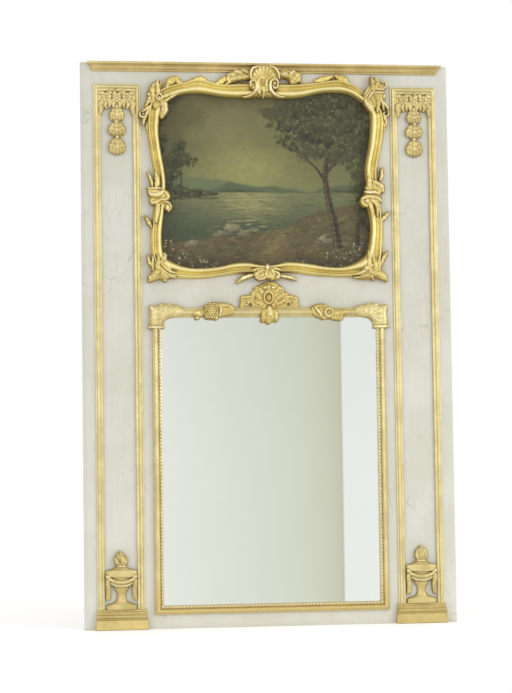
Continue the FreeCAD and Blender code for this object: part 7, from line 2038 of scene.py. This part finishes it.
el[0].position, el[0].color = 0.0, (1.0, 1.0, 1.0, 1)
el[1].position, el[1].color = 1.0, (0.62, 0.62, 0.58, 1)
for p, v in ((0.36, 1.0), (0.52, 0.98), (0.62, 0.94), (0.68, 0.91)):
    e = el.new(p)
    e.color = (v, v, v * 0.985, 1)
mm = wt.nodes.new("ShaderNodeMix")
mm.data_type, mm.blend_type = "RGBA", "MULTIPLY"
mm.inputs[0].default_value = 1.0
wt.links.new(r1.outputs[0], mm.inputs[6])
wt.links.new(r2.outputs[0], mm.inputs[7])
# everything else: pale room, dimmer overhead
r3 = wt.nodes.new("ShaderNodeValToRGB")
wt.links.new(wmath("ADD", wmath("MULTIPLY", sep.outputs[2], 0.5), 0.5), r3.inputs[0])
el = r3.color_ramp.elements
el[0].position, el[0].color = 0.0, (0.60, 0.59, 0.56, 1)
el[1].position, el[1].color = 1.0, (0.62, 0.62, 0.62, 1)
for p, v in ((0.40, 0.80), (0.52, 0.96), (0.66, 0.92), (0.82, 0.76)):
    e = el.new(p)
    e.color = (v, v, v * 0.985, 1)
near = wmath("MULTIPLY", wmath("GREATER_THAN", sep.outputs[1], -2.0), wmath("LESS_THAN", wmath("ABSOLUTE", wmath("SUBTRACT", side_q, 0.14), 0.0), 0.10))
near = wmath("MULTIPLY", near, wmath("LESS_THAN", wmath("ABSOLUTE", up_q, 0.0), 0.16))
near = wmath("MULTIPLY", near, wmath("LESS_THAN", sep.outputs[1], -0.5))
m2 = wt.nodes.new("ShaderNodeMix")
m2.data_type = "RGBA"
wt.links.new(near, m2.inputs[0])
wt.links.new(r3.outputs[0], m2.inputs[6])
wt.links.new(mm.outputs[2], m2.inputs[7])
wt.links.new(m2.outputs[2], bg_lit.inputs[0])
bg_lit.inputs[1].default_value = 1.0
wt.links.new(lp.outputs["Is Camera Ray"], mixw.inputs[0])
wt.links.new(bg_lit.outputs[0], mixw.inputs[1])
wt.links.new(bg_seen.outputs[0], mixw.inputs[2])
wt.links.new(mixw.outputs[0], wo.inputs[0])


def soft_box(name, at, to, w, h, power, colour=(1, 1, 1)):
    L = bpy.data.lights.new(name, "AREA")
    L.shape, L.size, L.size_y, L.energy, L.color = "RECTANGLE", w, h, power, colour
    o = bpy.data.objects.new(name, L)
    bpy.context.scene.collection.objects.link(o)
    o.location = at
    o.rotation_euler = (Vector(to) - Vector(at)).to_track_quat("-Z", "Y").to_euler()
    return o


soft_box("key", (-1.6, -6.4, 1.6), (0, 0, 0.95), 2.6, 2.6, 64.0, (1.0, 0.985, 0.95))
soft_box("side", (4.2, -4.0, 2.2), (0, 0, 1.0), 2.0, 2.4, 60.0, (0.96, 0.985, 1.0))

cam = bpy.data.cameras.new("camera")
cam.sensor_fit, cam.sensor_width, cam.lens = "AUTO", 36.0, 2000.0 / 693.0 * 36.0
cam.clip_start, cam.clip_end = 0.1, 60.0
co = bpy.data.objects.new("camera", cam)
bpy.context.scene.collection.objects.link(co)
right, up, back = (0.99095684, -0.13346163, -0.01387557), (0.00519247, -0.06518992, 0.99785937), (-0.13408048, -0.98890761, -0.0639074)
co.matrix_world = Matrix(((right[0], up[0], back[0], -0.92478485), (right[1], up[1], back[1], -6.49110099), (right[2], up[2], back[2], 0.49338944), (0, 0, 0, 1)))
bpy.context.scene.camera = co
bpy.context.scene.view_settings.view_transform = "Standard"
